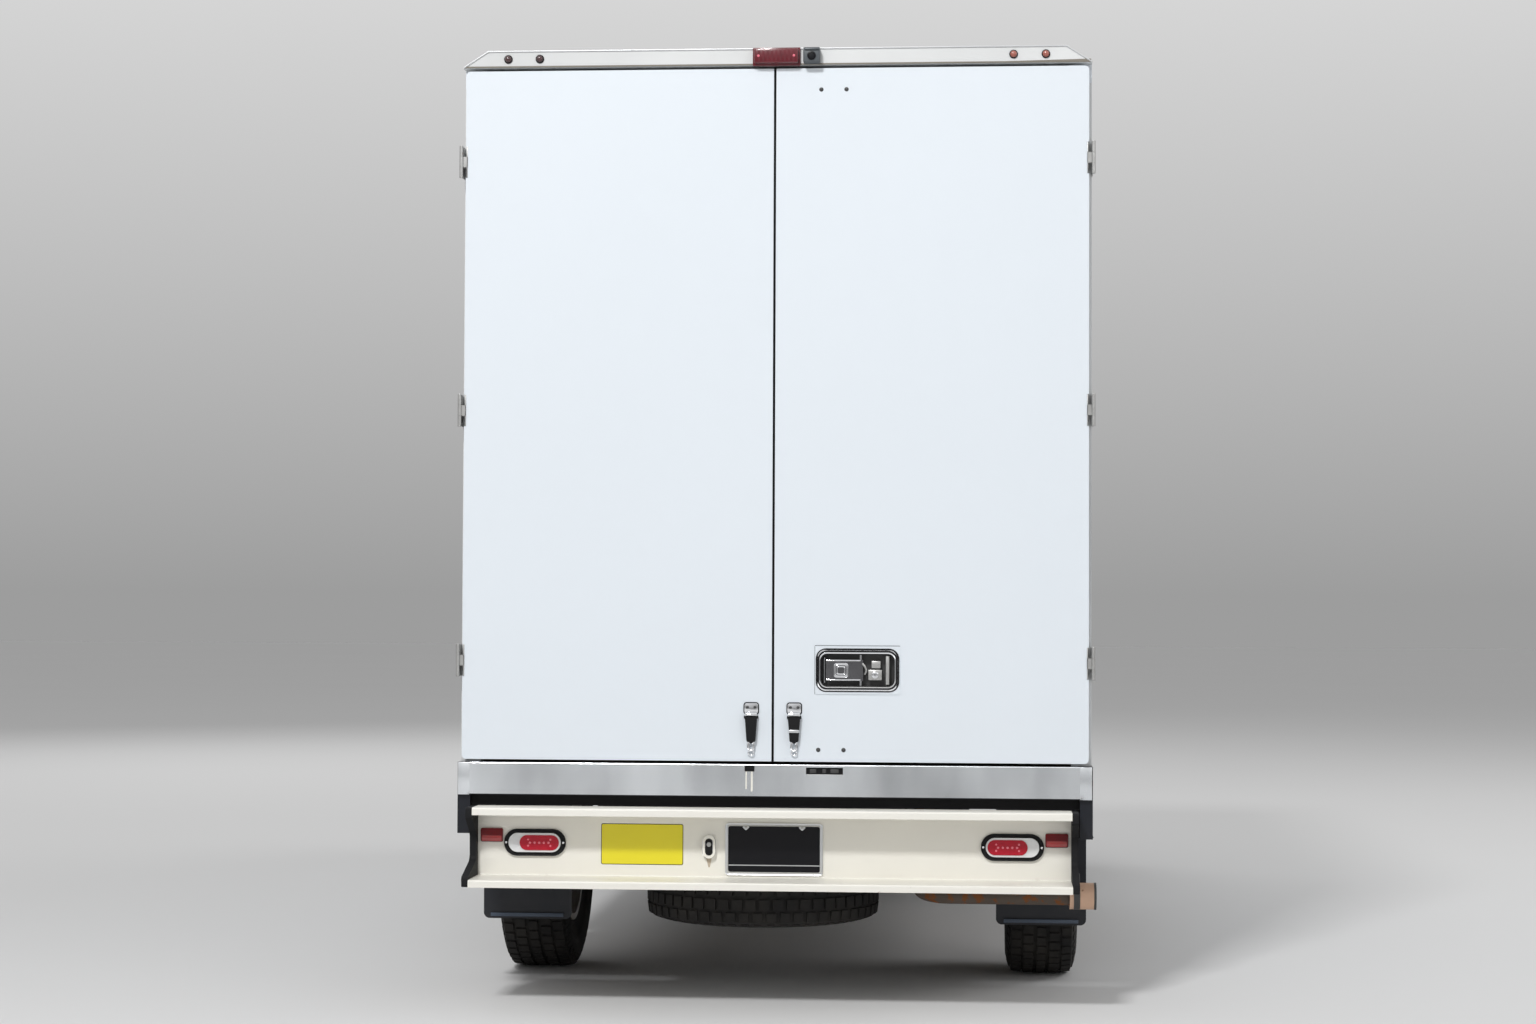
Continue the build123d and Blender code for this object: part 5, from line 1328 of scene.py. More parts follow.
@dataclass(frozen=True)
class RearDoor:
    """Seals, bolts, inner lining and lock rods of one rear door.

    Attributes:
        side: Which door.
        rail: Width of the frame round the recessed inner panel.
        recess: Depth of that panel.
        rod_x: Distance of the lock rods from the middle.
        bolts: The first button bolt of each pair: x, and distance from the door's lower edge, or from its
            upper edge where negative.
    """

    side: Side
    rail: float = 0.090
    recess: float = 0.012
    rod_x: float = 0.240
    bolts: tuple[tuple[float, float], ...] = ((0.146, 0.038), (0.149, -0.069))

    @property
    def body(self) -> str:
        """The door's body."""
        return f"rear_door_{self.side.word}"

    def build(self) -> None:
        """Build what is fixed to the door."""
        self._seals()
        self._lining()
        if self.side is Side.RIGHT:
            self._bolts()
            self._lock_rods()

    def _seals(self) -> None:
        """The bulb seal on the inner face and the strip on the closing edge."""
        s = self.side.value
        x0, x1 = DOOR_IN + 0.010, DOOR_OUT - 0.036
        z0, z1 = DOOR_LOW + 0.004, DOOR_HIGH - 0.004
        outer = rounded(rectangle(s * x0, s * x1, z0, z1), 0.012)
        inner = rounded(rectangle(s * (x0 + 0.014), s * (x1 - 0.014), z0 + 0.014, z1 - 0.014), 0.008)
        seal = Shape().ring(outer, inner, Axis.Y, DOOR_BACK - SEAT, DOOR_BACK + 0.0028, 0.0022)
        seal.block((s * (DOOR_IN - 0.0031), DOOR_FACE + 0.0095, DOOR_LOW),
                   (s * (DOOR_IN + SEAT), DOOR_FACE + 0.030, DOOR_HIGH), 0.001)
        seal.finish(f"door_seal_{self.side.word}", RUBBER, self.body)

    def _lining(self) -> None:
        """The ribbed lining of the recessed inner panel, with its screws."""
        s = self.side.value
        x0, x1 = DOOR_IN + self.rail + 0.004, DOOR_OUT - self.rail - 0.004
        z0, z1 = DOOR_LOW + self.rail + 0.004, DOOR_HIGH - self.rail - 0.004
        floor = DOOR_BACK - self.recess
        lining = Shape().prism(rounded(rectangle(s * x0, s * x1, z0, z1), 0.016), Axis.Y, floor - SEAT,
                               floor + 0.004, 0.001)
        step = (x1 - x0 - 0.12) / 5
        lining.absorb(BARS.grow(LINER_WHITE, {
            "Start": (s * (x0 + 0.06), floor + 0.0055, (z0 + z1) / 2), "Step": (s * step, 0.0, 0.0),
            "Count": 6,
            "Size": (0.018, 0.004, z1 - z0 - 0.10)}))
        lining.finish(f"door_lining_{self.side.word}", LINER_WHITE, self.body)
        heads = Shape()
        for x in (s * (x0 + 0.012), s * (x1 - 0.012)):
            domes(heads, ZINC, (x, floor + 0.004, z0 + 0.02), (0.0, 0.0, (z1 - z0 - 0.04) / 9), 10, 0.005,
                  0.002)
        heads.finish(f"door_lining_screws_{self.side.word}", ZINC, self.body)

    def _bolts(self) -> None:
        """The button bolts that hold the lock rods' guides."""
        heads = Shape()
        for x, offset in self.bolts:
            z = DOOR_LOW + offset if offset > 0 else DOOR_HIGH + offset
            domes(heads, DARK_STEEL, (x, DOOR_FACE, z), (0.081, 0.0, 0.0), 2, 0.0072, 0.0042)
        heads.finish("door_button_bolts", DARK_STEEL, self.body)

    def _lock_rods(self) -> None:
        """Latch case, rods and guides on the inner face."""
        z = middle_of("door_latch")[2]
        back = DOOR_BACK - self.recess + 0.004
        case = Shape().block((self.rod_x - 0.075, back - SEAT, z - 0.06),
                             (self.rod_x + 0.075, back + 0.020, z + 0.06), 0.004)
        for start, end in ((z + 0.05, DOOR_HIGH - 0.03), (DOOR_LOW + 0.03, z - 0.05)):
            case.rod((self.rod_x, back + 0.013, start), (self.rod_x, back + 0.013, end), 0.006, 16, 0.001)
        for level in (DOOR_LOW + 0.04, DOOR_HIGH - 0.055, z + 0.7, z + 1.3):
            case.block((self.rod_x - 0.02, back - SEAT, level - 0.012),
                       (self.rod_x + 0.02, back + 0.021, level + 0.012), 0.003)
        case.finish("lock_rods", ZINC, self.body)


@dataclass(frozen=True)
class Header:
    """The rear header's trim, stop lamp, camera and marker lamps.

    Attributes:
        markers: Distances of the bullet lamps from the middle.
        marker_radius: Radius of a bullet lamp.
        clip: Width and height of the clipped corner.
    """

    markers: tuple[float, float] = (0.765, 0.868)
    marker_radius: float = 0.014
    clip: Flat = (0.082, 0.054)

    def build(self) -> None:
        """Build all that the header carries."""
        self._edges()
        self._stop_lamp()
        self._camera()
        self._bullets()
        self._clearance_lamps()

    def _edges(self) -> None:
        """The drip edge below, and the bright rolled rim along the top and the clipped corners."""
        drip = Shape().block((-BOX_OUT + 0.004, HEADER_FACE - 0.0016, HEADER_LOW + 0.0006),
                             (BOX_OUT - 0.004, HEADER_FACE, HEADER_LOW + 0.0056), 0.0006)
        wedge = [(BOX_OUT - 0.30, HEADER_LOW + 0.005), (BOX_OUT - 0.004, HEADER_LOW + 0.005),
                 (BOX_OUT - 0.004, HEADER_LOW + 0.011)]
        drip.prism(wedge, Axis.Y, HEADER_FACE, HEADER_FACE - 0.0012)
        drip.finish("header_drip_edge", DRIP_EDGE_BROWN)
        corner = BOX_OUT - self.clip[0]
        shoulder = ROOF_TOP - self.clip[1]
        rim = 0.0028
        path = [(-BOX_OUT + rim, shoulder), (-corner, ROOF_TOP - rim), (corner, ROOF_TOP - rim),
                (BOX_OUT - rim, shoulder)]
        edge = Shape().tube([Vector((x, HEADER_FACE - 0.001, z)) for x, z in path], rim)
        edge.finish("header_rolled_rim", ALUMINIUM)

    def _stop_lamp(self) -> None:
        """A dark red lamp with a stepped lens, end screws and a base."""
        low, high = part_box("stop_lamp")
        z0 = HEADER_LOW - 0.004
        face = HEADER_FACE - SEAT
        base = Shape().block((low[0], face - 0.010, z0), (high[0], face, high[2]), 0.003)
        base.finish("stop_lamp_base", STOP_RED, replaces=("stop_lamp",))
        lens = Shape().block((low[0] + 0.006, low[1], z0 + 0.007), (high[0] - 0.006, face - 0.008,
                                                                    high[2] - 0.006), 0.005, 3)
        lens.absorb(BARS.grow(STOP_RED, {"Start": (low[0] + 0.022, low[1] - 0.0004, (z0 + high[2]) / 2),
                                         "Step": (0.0138, 0.0, 0.0), "Count": 9,
                                         "Size": (0.006, 0.0016, 0.034)}))
        lens.finish("stop_lamp_lens", STOP_RED)
        points = Shape()
        domes(points, LED_PINK, (low[0] + 0.020, low[1] - 0.0004, (z0 + high[2]) / 2),
              (high[0] - low[0] - 0.040, 0.0, 0.0), 2, 0.0045, 0.002)
        points.finish("stop_lamp_points", LED_PINK)

    def _camera(self) -> None:
        """A dark square housing with a hood and a lens."""
        low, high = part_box("camera_housing")
        x = (low[0] + high[0]) / 2
        z = HEADER_LOW + 0.024
        front = low[1] + 0.006
        body = Shape().block((low[0], front, low[2]), (high[0], HEADER_FACE - SEAT, high[2]), 0.005, 3)
        body.block((low[0] + 0.004, low[1] + 0.001, high[2] - 0.010), (high[0] - 0.004, front + 0.004,
                                                                       high[2] - 0.004), 0.002)
        body.finish("camera_body", CAMERA_GREY, replaces=("camera_housing",))
        eye = Shape().turned([(0.0, 0.0), (0.014, 0.0), (0.014, 0.004), (0.010, 0.005), (0.008, 0.003),
                              (0.0, 0.0035)], (x, front + 0.001, z), REARWARD, 32)
        eye.finish("camera_eye", PLATE_BLACK)

    def _bullets(self) -> None:
        """Four bullet lamps in their grommets; the left pair is darker."""
        z = (HEADER_LOW + ROOF_TOP) / 2
        r = self.marker_radius
        lens_profile = [(0.0, 0.013), (r * 0.45, 0.0115), (r * 0.72, 0.008), (r * 0.80, 0.003),
                        (r * 0.80, 0.0), (0.0, 0.0)]
        grommet_profile = [(r * 0.78, 0.0), (r, 0.0), (r * 0.98, 0.003), (r * 0.86, 0.0045),
                           (r * 0.78, 0.004)]
        grommets = Shape()
        for side in Side:
            lenses = Shape()
            for x in self.markers:
                place = (side.value * x, HEADER_FACE - SEAT, z)
                lenses.turned(lens_profile, place, REARWARD, 24)
                grommets.turned(grommet_profile, place, REARWARD, 24)
            finish = MARKER_RED if side is Side.RIGHT else MARKER_DARK
            lenses.finish(f"bullet_lamps_{side.word}", finish)
        grommets.finish("bullet_grommets", RUBBER, replaces=("marker_lamps",))

    def _clearance_lamps(self) -> None:
        """The front roof markers and the side markers in their bezels."""
        lens = Shape()
        base = Shape()
        z = ROOF_TOP - 0.078
        for x in (-0.18, 0.0, 0.18):
            base.block((x - 0.045, BOX_FRONT - SEAT, z - 0.014), (x + 0.045, BOX_FRONT + 0.010, z + 0.014),
                       0.003)
            lens.block((x - 0.038, BOX_FRONT + 0.004, z - 0.010), (x + 0.038, BOX_FRONT + 0.021, z + 0.010),
                       0.005, 3)
        rear_lens = Shape()
        skirt_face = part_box("side_skirts")[1][0]
        for side in Side:
            s = side.value
            for y, target in ((DOOR_FACE + 0.260, rear_lens), (BOX_FRONT - 0.260, lens)):
                base.block((s * (skirt_face - SEAT), y - 0.030, 0.694),
                           (s * (skirt_face + 0.005), y + 0.030, 0.722), 0.002)
                target.block((s * (skirt_face + 0.003), y - 0.025, 0.697),
                             (s * (skirt_face + 0.0098), y + 0.025, 0.719), 0.003, 3)
        lens.finish("amber_markers", AMBER, replaces=("marker_lamps",))
        rear_lens.finish("rear_side_markers", RED_LENS)
        base.finish("marker_bases", BLACK_PLASTIC)


@dataclass(frozen=True)
class RearSill:
    """The brushed sill's notch, pocket and edges.

    Attributes:
        notch: Left and right ends of the drain notch.
        pocket: Left and right ends of the latch pocket.
    """

    notch: Flat = (-0.089, -0.057)
    pocket: Flat = (0.108, 0.226)

    def build(self) -> None:
        """Build what shows in and round the sill."""
        low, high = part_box("rear_sill")
        # Black sheets of painted shade: a thin line along the sill's lower edge, the inside of the drain
        # notch and the back of the latch pocket.
        dark = Shape().block((low[0], SILL_FACE - 0.0006, low[2]), (high[0], SILL_FACE + SEAT,
                                                                    low[2] + 0.0035))
        dark.block((self.notch[0] + 0.001, SILL_FACE + 0.004, high[2] - 0.021),
                   (self.notch[1] - 0.001, SILL_FACE + 0.012, high[2] - 0.001))
        p0, p1 = self.pocket
        back = SILL_FACE + 0.0075
        dark.block((p0 + 0.0005, back, high[2] - 0.0295), (p1 - 0.0005, back + 0.002, high[2] - 0.0085))
        dark.finish("sill_painted_recess_shade", INK_BLACK)
        grey = Shape()
        for x, w in ((p0 + 0.012, 0.020), (p0 + 0.052, 0.012), (p1 - 0.040, 0.026)):
            grey.block((x, SILL_FACE + 0.0015, high[2] - 0.026), (x + w, back + SEAT, high[2] - 0.013),
                       0.0015)
        grey.finish("sill_latch_keeper", DARK_STEEL)
        stains = Shape()
        for x, w, drop in ((-0.0835, 0.0045, 0.078), (-0.0655, 0.0060, 0.086)):
            stains.prism(rounded(rectangle(x - w / 2, x + w / 2, high[2] - drop, high[2] - 0.022), w * 0.45),
                         Axis.Y, SILL_FACE + SEAT, SILL_FACE - 0.0003)
        stains.finish("sill_drip_stains", DRIP_STAIN)
        line = Shape().block((p0 + 0.002, SILL_FACE - 0.0008, high[2] - 0.0315),
                             (p1 - 0.002, SILL_FACE + SEAT, high[2] - 0.0295), 0.0004)
        line.finish("sill_pocket_lip", ALUMINIUM)
        lip = Shape().tube([Vector((low[0], SILL_FACE + 0.001, high[2] - 0.0016)),
                            Vector((high[0], SILL_FACE + 0.001, high[2] - 0.0016))], 0.0022)
        lip.finish("sill_rolled_lip", BRUSHED_WITH_PAINTED_REFLECTIONS)


@dataclass(frozen=True)
class StepBumper:
    """What the step bumper carries: end plates, lamps, reflectors, sticker, plate and oval fitting.

    Attributes:
        half: Half the length of the channel.
        lamp: Distance from the middle, and level, of the oval lamps.
        lamp_size: Width and height of a lamp's flange.
        reflector: Distance from the middle, and level, of the reflectors.
        reflector_size: Their width and height.
        sticker: Left, right, lower and upper edge of the yellow sticker.
        fitting: Place of the oval fitting.
    """

    half: float = 0.951
    lamp: Flat = (0.765, 0.518)
    lamp_size: Flat = (0.200, 0.086)
    reflector: Flat = (0.905, 0.541)
    reflector_size: Flat = (0.072, 0.044)
    sticker: tuple[float, float, float, float] = (-0.551, -0.286, 0.450, 0.581)
    fitting: Flat = (-0.202, 0.510)

    def build(self) -> None:
        """Build the bumper's fittings."""
        self._end_plates()
        for side in Side:
            self._lamp(side)
            self._reflector(side)
        self._sticker()
        self._plate()
        self._fitting()

    def _end_plates(self) -> None:
        """Black plates that close the channel's ends and follow its section."""
        low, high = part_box("rear_bumper")
        back = low[1] + 0.0006
        top = high[2]
        outline = [(WEB_FACE + 0.008, top), (WEB_FACE - 0.114, top), (WEB_FACE - 0.114, top - 0.034),
                   (WEB_FACE - 0.034, top - 0.085), (WEB_FACE - 0.030, low[2] + 0.075),
                   (back, low[2] + 0.032), (back, low[2] + 0.001), (WEB_FACE + 0.008, low[2] + 0.001)]
        radii = (0.004, 0.006, 0.008, 0.02, 0.02, 0.006, 0.004, 0.004)
        plates = Shape()
        for side in Side:
            s = side.value
            plates.prism(rounded(outline, radii, 4), Axis.X, s * (self.half - SEAT), s * (self.half + 0.021),
                         0.003)
        plates.finish("bumper_end_plates", RUBBER)

    def _lamp(self, side: Side) -> None:
        """An oval lamp: black flange with two screws, clear outboard part and red inboard part."""
        s = side.value
        x, z = s * self.lamp[0], self.lamp[1]
        w, h = self.lamp_size[0] / 2, self.lamp_size[1] / 2
        face = WEB_FACE - SEAT
        outer = rounded(rectangle(x - w, x + w, z - h, z + h), h - 0.0005, 10)
        inner = rounded(rectangle(x - w + 0.015, x + w - 0.015, z - h + 0.012, z + h - 0.012), h - 0.0125,
                        10)
        flange = Shape().ring(outer, inner, Axis.Y, face, face - 0.0075, 0.0028)
        flange.finish(f"lamp_flange_{side.word}", RUBBER, replaces=("rear_lamps",))
        glass = rounded(rectangle(x - w + 0.0155, x + w - 0.0155, z - h + 0.0125, z + h - 0.0125), h - 0.013,
                        10)
        lens = Shape().prism(glass, Axis.Y, face - 0.001, face - 0.0125, 0.004)
        lens.finish(f"lamp_clear_lens_{side.word}", LAMP_WHITE)
        inboard = x - s * (w - 0.021)
        outboard = x + s * (w - 0.052)
        red = rounded(rectangle(min(inboard, outboard), max(inboard, outboard), z - h + 0.019,
                                z + h - 0.019), h - 0.0195, 10)
        cover = Shape().prism(red, Axis.Y, face - 0.010, face - 0.0150, 0.002)
        cover.finish(f"lamp_red_lens_{side.word}", RED_LENS)
        middle = (inboard + outboard) / 2
        diodes = Shape()
        domes(diodes, LED_PINK, (middle - 0.030, face - 0.0150, z), (0.015, 0.0, 0.0), 5, 0.0040, 0.0014)
        for end in (-0.036, 0.036):
            domes(diodes, LED_PINK, (middle + end, face - 0.0150, z - 0.010), (0.0, 0.0, 0.020), 2, 0.0034,
                  0.0012)
        diodes.finish(f"lamp_diodes_{side.word}", LED_PINK)
        screws = Shape()
        domes(screws, CHROME, (x - w + 0.0075, face - 0.0098, z), (2 * w - 0.015, 0.0, 0.0), 2, 0.0040,
              0.002)
        screws.finish(f"lamp_screws_{side.word}", CHROME)

    def _reflector(self, side: Side) -> None:
        """A dark red reflector with a lighter lower band."""
        x, z = side.value * self.reflector[0], self.reflector[1]
        w, h = self.reflector_size[0] / 2, self.reflector_size[1] / 2
        face = WEB_FACE - SEAT
        pane = Shape().prism(rounded(rectangle(x - w, x + w, z - h, z + h), 0.005), Axis.Y, face,
                             face - 0.0075, 0.002)
        pane.finish(f"reflector_{side.word}", RED_REFLECTOR)
        band = Shape().prism(rounded(rectangle(x - w + 0.004, x + w - 0.004, z - h + 0.003, z - 0.002),
                                     0.003), Axis.Y, face - 0.006, face - 0.0080, 0.0006)
        band.finish(f"reflector_band_{side.word}", REFLECTOR_BAND)

    def _sticker(self) -> None:
        """A blank yellow sticker with a thin black border."""
        x0, x1, z0, z1 = self.sticker
        face = WEB_FACE
        outer = rounded(rectangle(x0, x1, z0, z1), 0.006)
        black = Shape().prism(outer, Axis.Y, face + SEAT, face - 0.0004)
        black.finish("sticker_border", INK_BLACK)
        inset = 0.0022
        inner = rounded(rectangle(x0 + inset, x1 - inset, z0 + inset, z1 - inset), 0.0045)
        yellow = Shape().prism(inner, Axis.Y, face + SEAT, face - 0.0007)
        yellow.finish("sticker_yellow_face", STICKER_YELLOW)

    def _plate(self) -> None:
        """The blank plate in its silver frame, with two screw tabs at the top and a line near the bottom."""
        low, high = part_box("number_plate")
        face = WEB_FACE - SEAT
        outer = rounded(rectangle(low[0], high[0], low[2], high[2]), 0.010)
        inner = rounded(rectangle(low[0] + 0.009, high[0] - 0.009, low[2] + 0.010, high[2] - 0.010), 0.007)
        rim = Shape().ring(outer, inner, Axis.Y, face, face - 0.0055, 0.0022)
        middle = (low[0] + high[0]) / 2
        for x in (middle - 0.090, middle + 0.090):
            tab = [(x - 0.015, high[2] - 0.010), (x, high[2] - 0.024), (x + 0.015, high[2] - 0.010)]
            rim.prism(rounded(tab, 0.003, 4), Axis.Y, face, face - 0.0062, 0.001)
        rim.finish("plate_frame", ALUMINIUM, replaces=("number_plate",))
        blank = Shape().prism(inner, Axis.Y, face, face - 0.0030)
        blank.finish("plate_blank_face", PLATE_BLACK)
        line = Shape().block((low[0] + 0.010, face - 0.0046, low[2] + 0.030),
                             (high[0] - 0.010, face - 0.0028, low[2] + 0.033))
        line.finish("plate_lower_line", ALUMINIUM)
        screws = Shape()
        domes(screws, ZINC, (middle - 0.090, face - 0.0062, high[2] - 0.0135), (0.180, 0.0, 0.0), 2, 0.0042,
              0.0022)
        screws.finish("plate_screws", ZINC)

    def _fitting(self) -> None:
        """The small oval fitting, with a black sheet of painted shade in its hole."""
        x, z = self.fitting
        face = WEB_FACE - SEAT
        outer = rounded(rectangle(x - 0.0215, x + 0.0215, z - 0.0375, z + 0.0375), 0.0212, 8)
        inner = rounded(rectangle(x - 0.0120, x + 0.0120, z - 0.0270, z + 0.0270), 0.0118, 8)
        ring = Shape().ring(outer, inner, Axis.Y, face, face - 0.0145, 0.003)
        ring.finish("fitting_ring", CHROME)
        # Painted shade: a black sheet filling the ring's hole.
        hole = Shape().prism(inner, Axis.Y, face - 0.013, face - 0.0147)
        hole.finish("fitting_hole_shade", INK_BLACK)
        pin = Shape().turned([(0.0, 0.0), (0.0075, 0.0), (0.0070, 0.002), (0.0, 0.003)],
                             (x, face - 0.0146, z + 0.008), REARWARD, 20)
        pin.finish("fitting_pin", ZINC)
        stain = Shape().prism(rounded([(x - 0.010, z - 0.034), (x - 0.003, z - 0.066),
                                       (x + 0.002, z - 0.066), (x + 0.008, z - 0.034)], 0.002), Axis.Y,
                              face + 0.0008, face - 0.0002)
        stain.finish("fitting_drip_stain", RUST_STAIN)


def turn_to(axis: Axis) -> Matrix:
    """The rotation that carries the X axis to another axis."""
    return Matrix.Rotation(-math.pi / 2, 4, "Y") if axis is Axis.Z else Matrix.Identity(4)


@dataclass(frozen=True)
class Tyre:
    """A tyre with rounded side walls and seven rows of tread blocks.

    Attributes:
        name: The piece's name.
        centre: Its centre.
        body: The body it rides on.
        replaces: The CAD nodes it stands for.
        axis: The axis it turns about.
        blocks: Blocks in each row.
        steps: Segments round the tyre.
    """

    name: str
    centre: Point
    body: str | Body
    replaces: tuple[str, ...] = ()
    axis: Axis = Axis.X
    blocks: int = 54
    steps: int = 72

    WALL = ((0.2126, 0.0870), (0.2320, 0.0875), (0.2360, 0.0900), (0.2430, 0.0922), (0.2460, 0.0908),
            (0.2620, 0.0975), (0.2850, 0.1070), (0.2865, 0.1088), (0.2925, 0.1110), (0.2940, 0.1098),
            (0.3120, 0.1175), (0.3250, 0.1218), (0.3380, 0.1180), (0.3560, 0.1120), (0.3700, 0.1060),
            (0.3785, 0.1020))
    ROWS = (
        # offset, slant, radius, width, length, height, phase
        (0.0, 0.0, 0.3802, 0.030, 0.036, 0.0120, 0.0),
        (0.0440, 0.0, 0.3802, 0.034, 0.034, 0.0120, 0.5),
        (0.0850, 0.13, 0.3775, 0.032, 0.031, 0.0120, 0.0),
        (0.1110, -0.31, 0.3560, 0.006, 0.022, 0.0240, 0.0),
    )

    def build(self) -> None:
        """Build the carcass and its tread."""
        place = Matrix.Translation(self.centre) @ turn_to(self.axis)
        profile = list(self.WALL) + [(0.3792, 0.040),
                                     (0.3792, -0.040)] + [(r, -d) for r, d in self.WALL[::-1]]
        tyre = Shape().turned(profile, self.centre, place.to_3x3() @ Vector((1, 0, 0)), self.steps)
        for offset, slant, radius, width, length, height, phase in self.ROWS:
            for sign in ((1, -1) if offset else (1,)):
                row = LUGS.grow(TYRE_RUBBER, {"Count": self.blocks, "Radius": radius,
                                              "Offset": sign * offset, "Size": (width, length, height),
                                              "Slant": sign * slant,
                                              "Phase": phase + (0.25 if sign < 0 else 0.0)})
                tyre.absorb(row, place)
        tyre.finish(self.name, TYRE_RUBBER, self.body, self.replaces, smooth=40)


@dataclass(frozen=True)
class Wheel:
    """Tyre, nuts, hub cap and valve of one road wheel.

    Attributes:
        end: Front or rear, as the nodes are named.
        side: Which side.
        nuts: How many wheel nuts.
        nut_circle: Radius of their circle.
        dish: Distance of the disc's face from the wheel's middle.
        hub: Distance of the hub's face from it.
        valve_circle: Distance of the valve from the wheel's middle.
        valve_angle: Its angle round the wheel, in radians.
    """

    end: str
    side: Side
    nuts: int = 8
    nut_circle: float = 0.098
    dish: float = 0.056
    hub: float = 0.078
    valve_circle: float = 0.176
    valve_angle: float = 0.4

    def build(self) -> None:
        """Build what turns with the wheel."""
        name = f"{self.end}_{self.side.word}"
        body = f"wheel_{name}"
        centre = middle_of(f"rim_{name}")
        Tyre(f"tread_tyre_{name}", centre, body, (f"tyre_{name}",)).build()
        self._nuts(name, body, centre)
        self._cap(name, body, centre)

    def _nuts(self, name: str, body: str, centre: Point) -> None:
        """Hexagon nuts on washers, and the studs' ends."""
        s = self.side.value
        nuts = Shape()
        rows = ((24, 0.0165, 0.003, 0.0014), (6, 0.0130, 0.016, 0.0105), (16, 0.0070, 0.014, 0.0215))
        for sides, radius, depth, out in rows:
            nuts.absorb(STUDS.grow(ZINC, {"Count": self.nuts, "Circle": self.nut_circle, "Sides": sides,
                                          "Radius": radius, "Depth": depth,
                                          "Offset": s * (self.dish + out)}), Matrix.Translation(centre))
        nuts.finish(f"wheel_nuts_{name}", ZINC, body)

    def _cap(self, name: str, body: str, centre: Point) -> None:
        """The pressed hub cap, and the valve between two hand holes."""
        axis = Vector((self.side.value, 0, 0))
        face = self.hub - SEAT
        rows = [(0.0, 0.0150), (0.018, 0.0146), (0.030, 0.0125), (0.037, 0.0080), (0.041, 0.0025),
                (0.047, 0.0015), (0.047, 0.0), (0.0, 0.0)]
        cap = Shape().turned([(r, d + face) for r, d in rows], centre, axis, 40)
        cap.finish(f"hub_cap_{name}", CHROME, body)
        middle = Vector(centre)
        out = Vector((0.0, math.cos(self.valve_angle), math.sin(self.valve_angle)))
        foot = middle + axis * 0.052 + out * self.valve_circle
        tip = middle + axis * 0.088 + out * (self.valve_circle - 0.006)
        valve = Shape().rod(foot, tip, 0.0045, 14, 0.001)
        valve.finish(f"valve_{name}", RUBBER, body)


@dataclass(frozen=True)
class SpareWheel:
    """The spare: its treaded tyre, its rim with black discs of painted shade where its hand holes are, and
    the carrier that holds it up.

    Attributes:
        half_width: Half the tyre's width.
        holes: How many hand holes.
    """

    half_width: float = 0.125
    holes: int = 8

    def build(self) -> None:
        """Build the spare."""
        low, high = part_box("spare_wheel")
        x = (low[0] + high[0]) / 2
        y = (low[1] + high[1]) / 2
        z = low[2] + self.half_width
        Tyre("tread_tyre_spare", (x, y, z), Body.CHASSIS, ("spare_wheel",), Axis.Z).build()
        rows = [(0.0, -0.056), (0.130, -0.056), (0.180, -0.032), (0.1775, -0.060), (0.203, -0.0889),
                (0.226, -0.0889), (0.226, -0.0979), (0.200, -0.0979), (0.170, -0.070), (0.168, -0.024),
                (0.130, -0.046), (0.0, -0.046)]
        back = [(0.186, -0.030), (0.186, 0.0), (0.212, 0.020), (0.212, 0.0889), (0.226, 0.0889),
                (0.226, 0.0979), (0.203, 0.0979), (0.203, 0.022), (0.176, -0.004), (0.176, -0.030)]
        rim = Shape().turned(rows, (x, y, z), Vector((0, 0, 1)), 56)
        rim.turned(back, (x, y, z), Vector((0, 0, 1)), 56)
        rim.finish("spare_rim", RIM_SILVER)
        # The hand holes are not cut: black discs on the rim stand for them as painted shade.
        dark = Shape()
        for k in range(self.holes):
            angle = math.tau * k / self.holes
            cx, cy = x + 0.138 * math.cos(angle), y + 0.138 * math.sin(angle)
            dark.rod((cx, cy, z - 0.0555), (cx, cy, z - 0.0500), 0.021, 24, 0.0005)
        dark.finish("spare_hand_hole_shade", INK_BLACK)
        carrier = Shape().block((x - 0.045, y - 0.19, z - 0.046), (x + 0.045, y + 0.19, z - 0.036), 0.003)
        carrier.rod((x, y, z - 0.062), (x, y, high[2]), 0.013, 20, 0.002)
        carrier.block((x - 0.035, y - 0.035, high[2] - 0.02), (x + 0.035, y + 0.035, high[2]), 0.003)
        carrier.finish("spare_carrier", CHASSIS_BLACK)


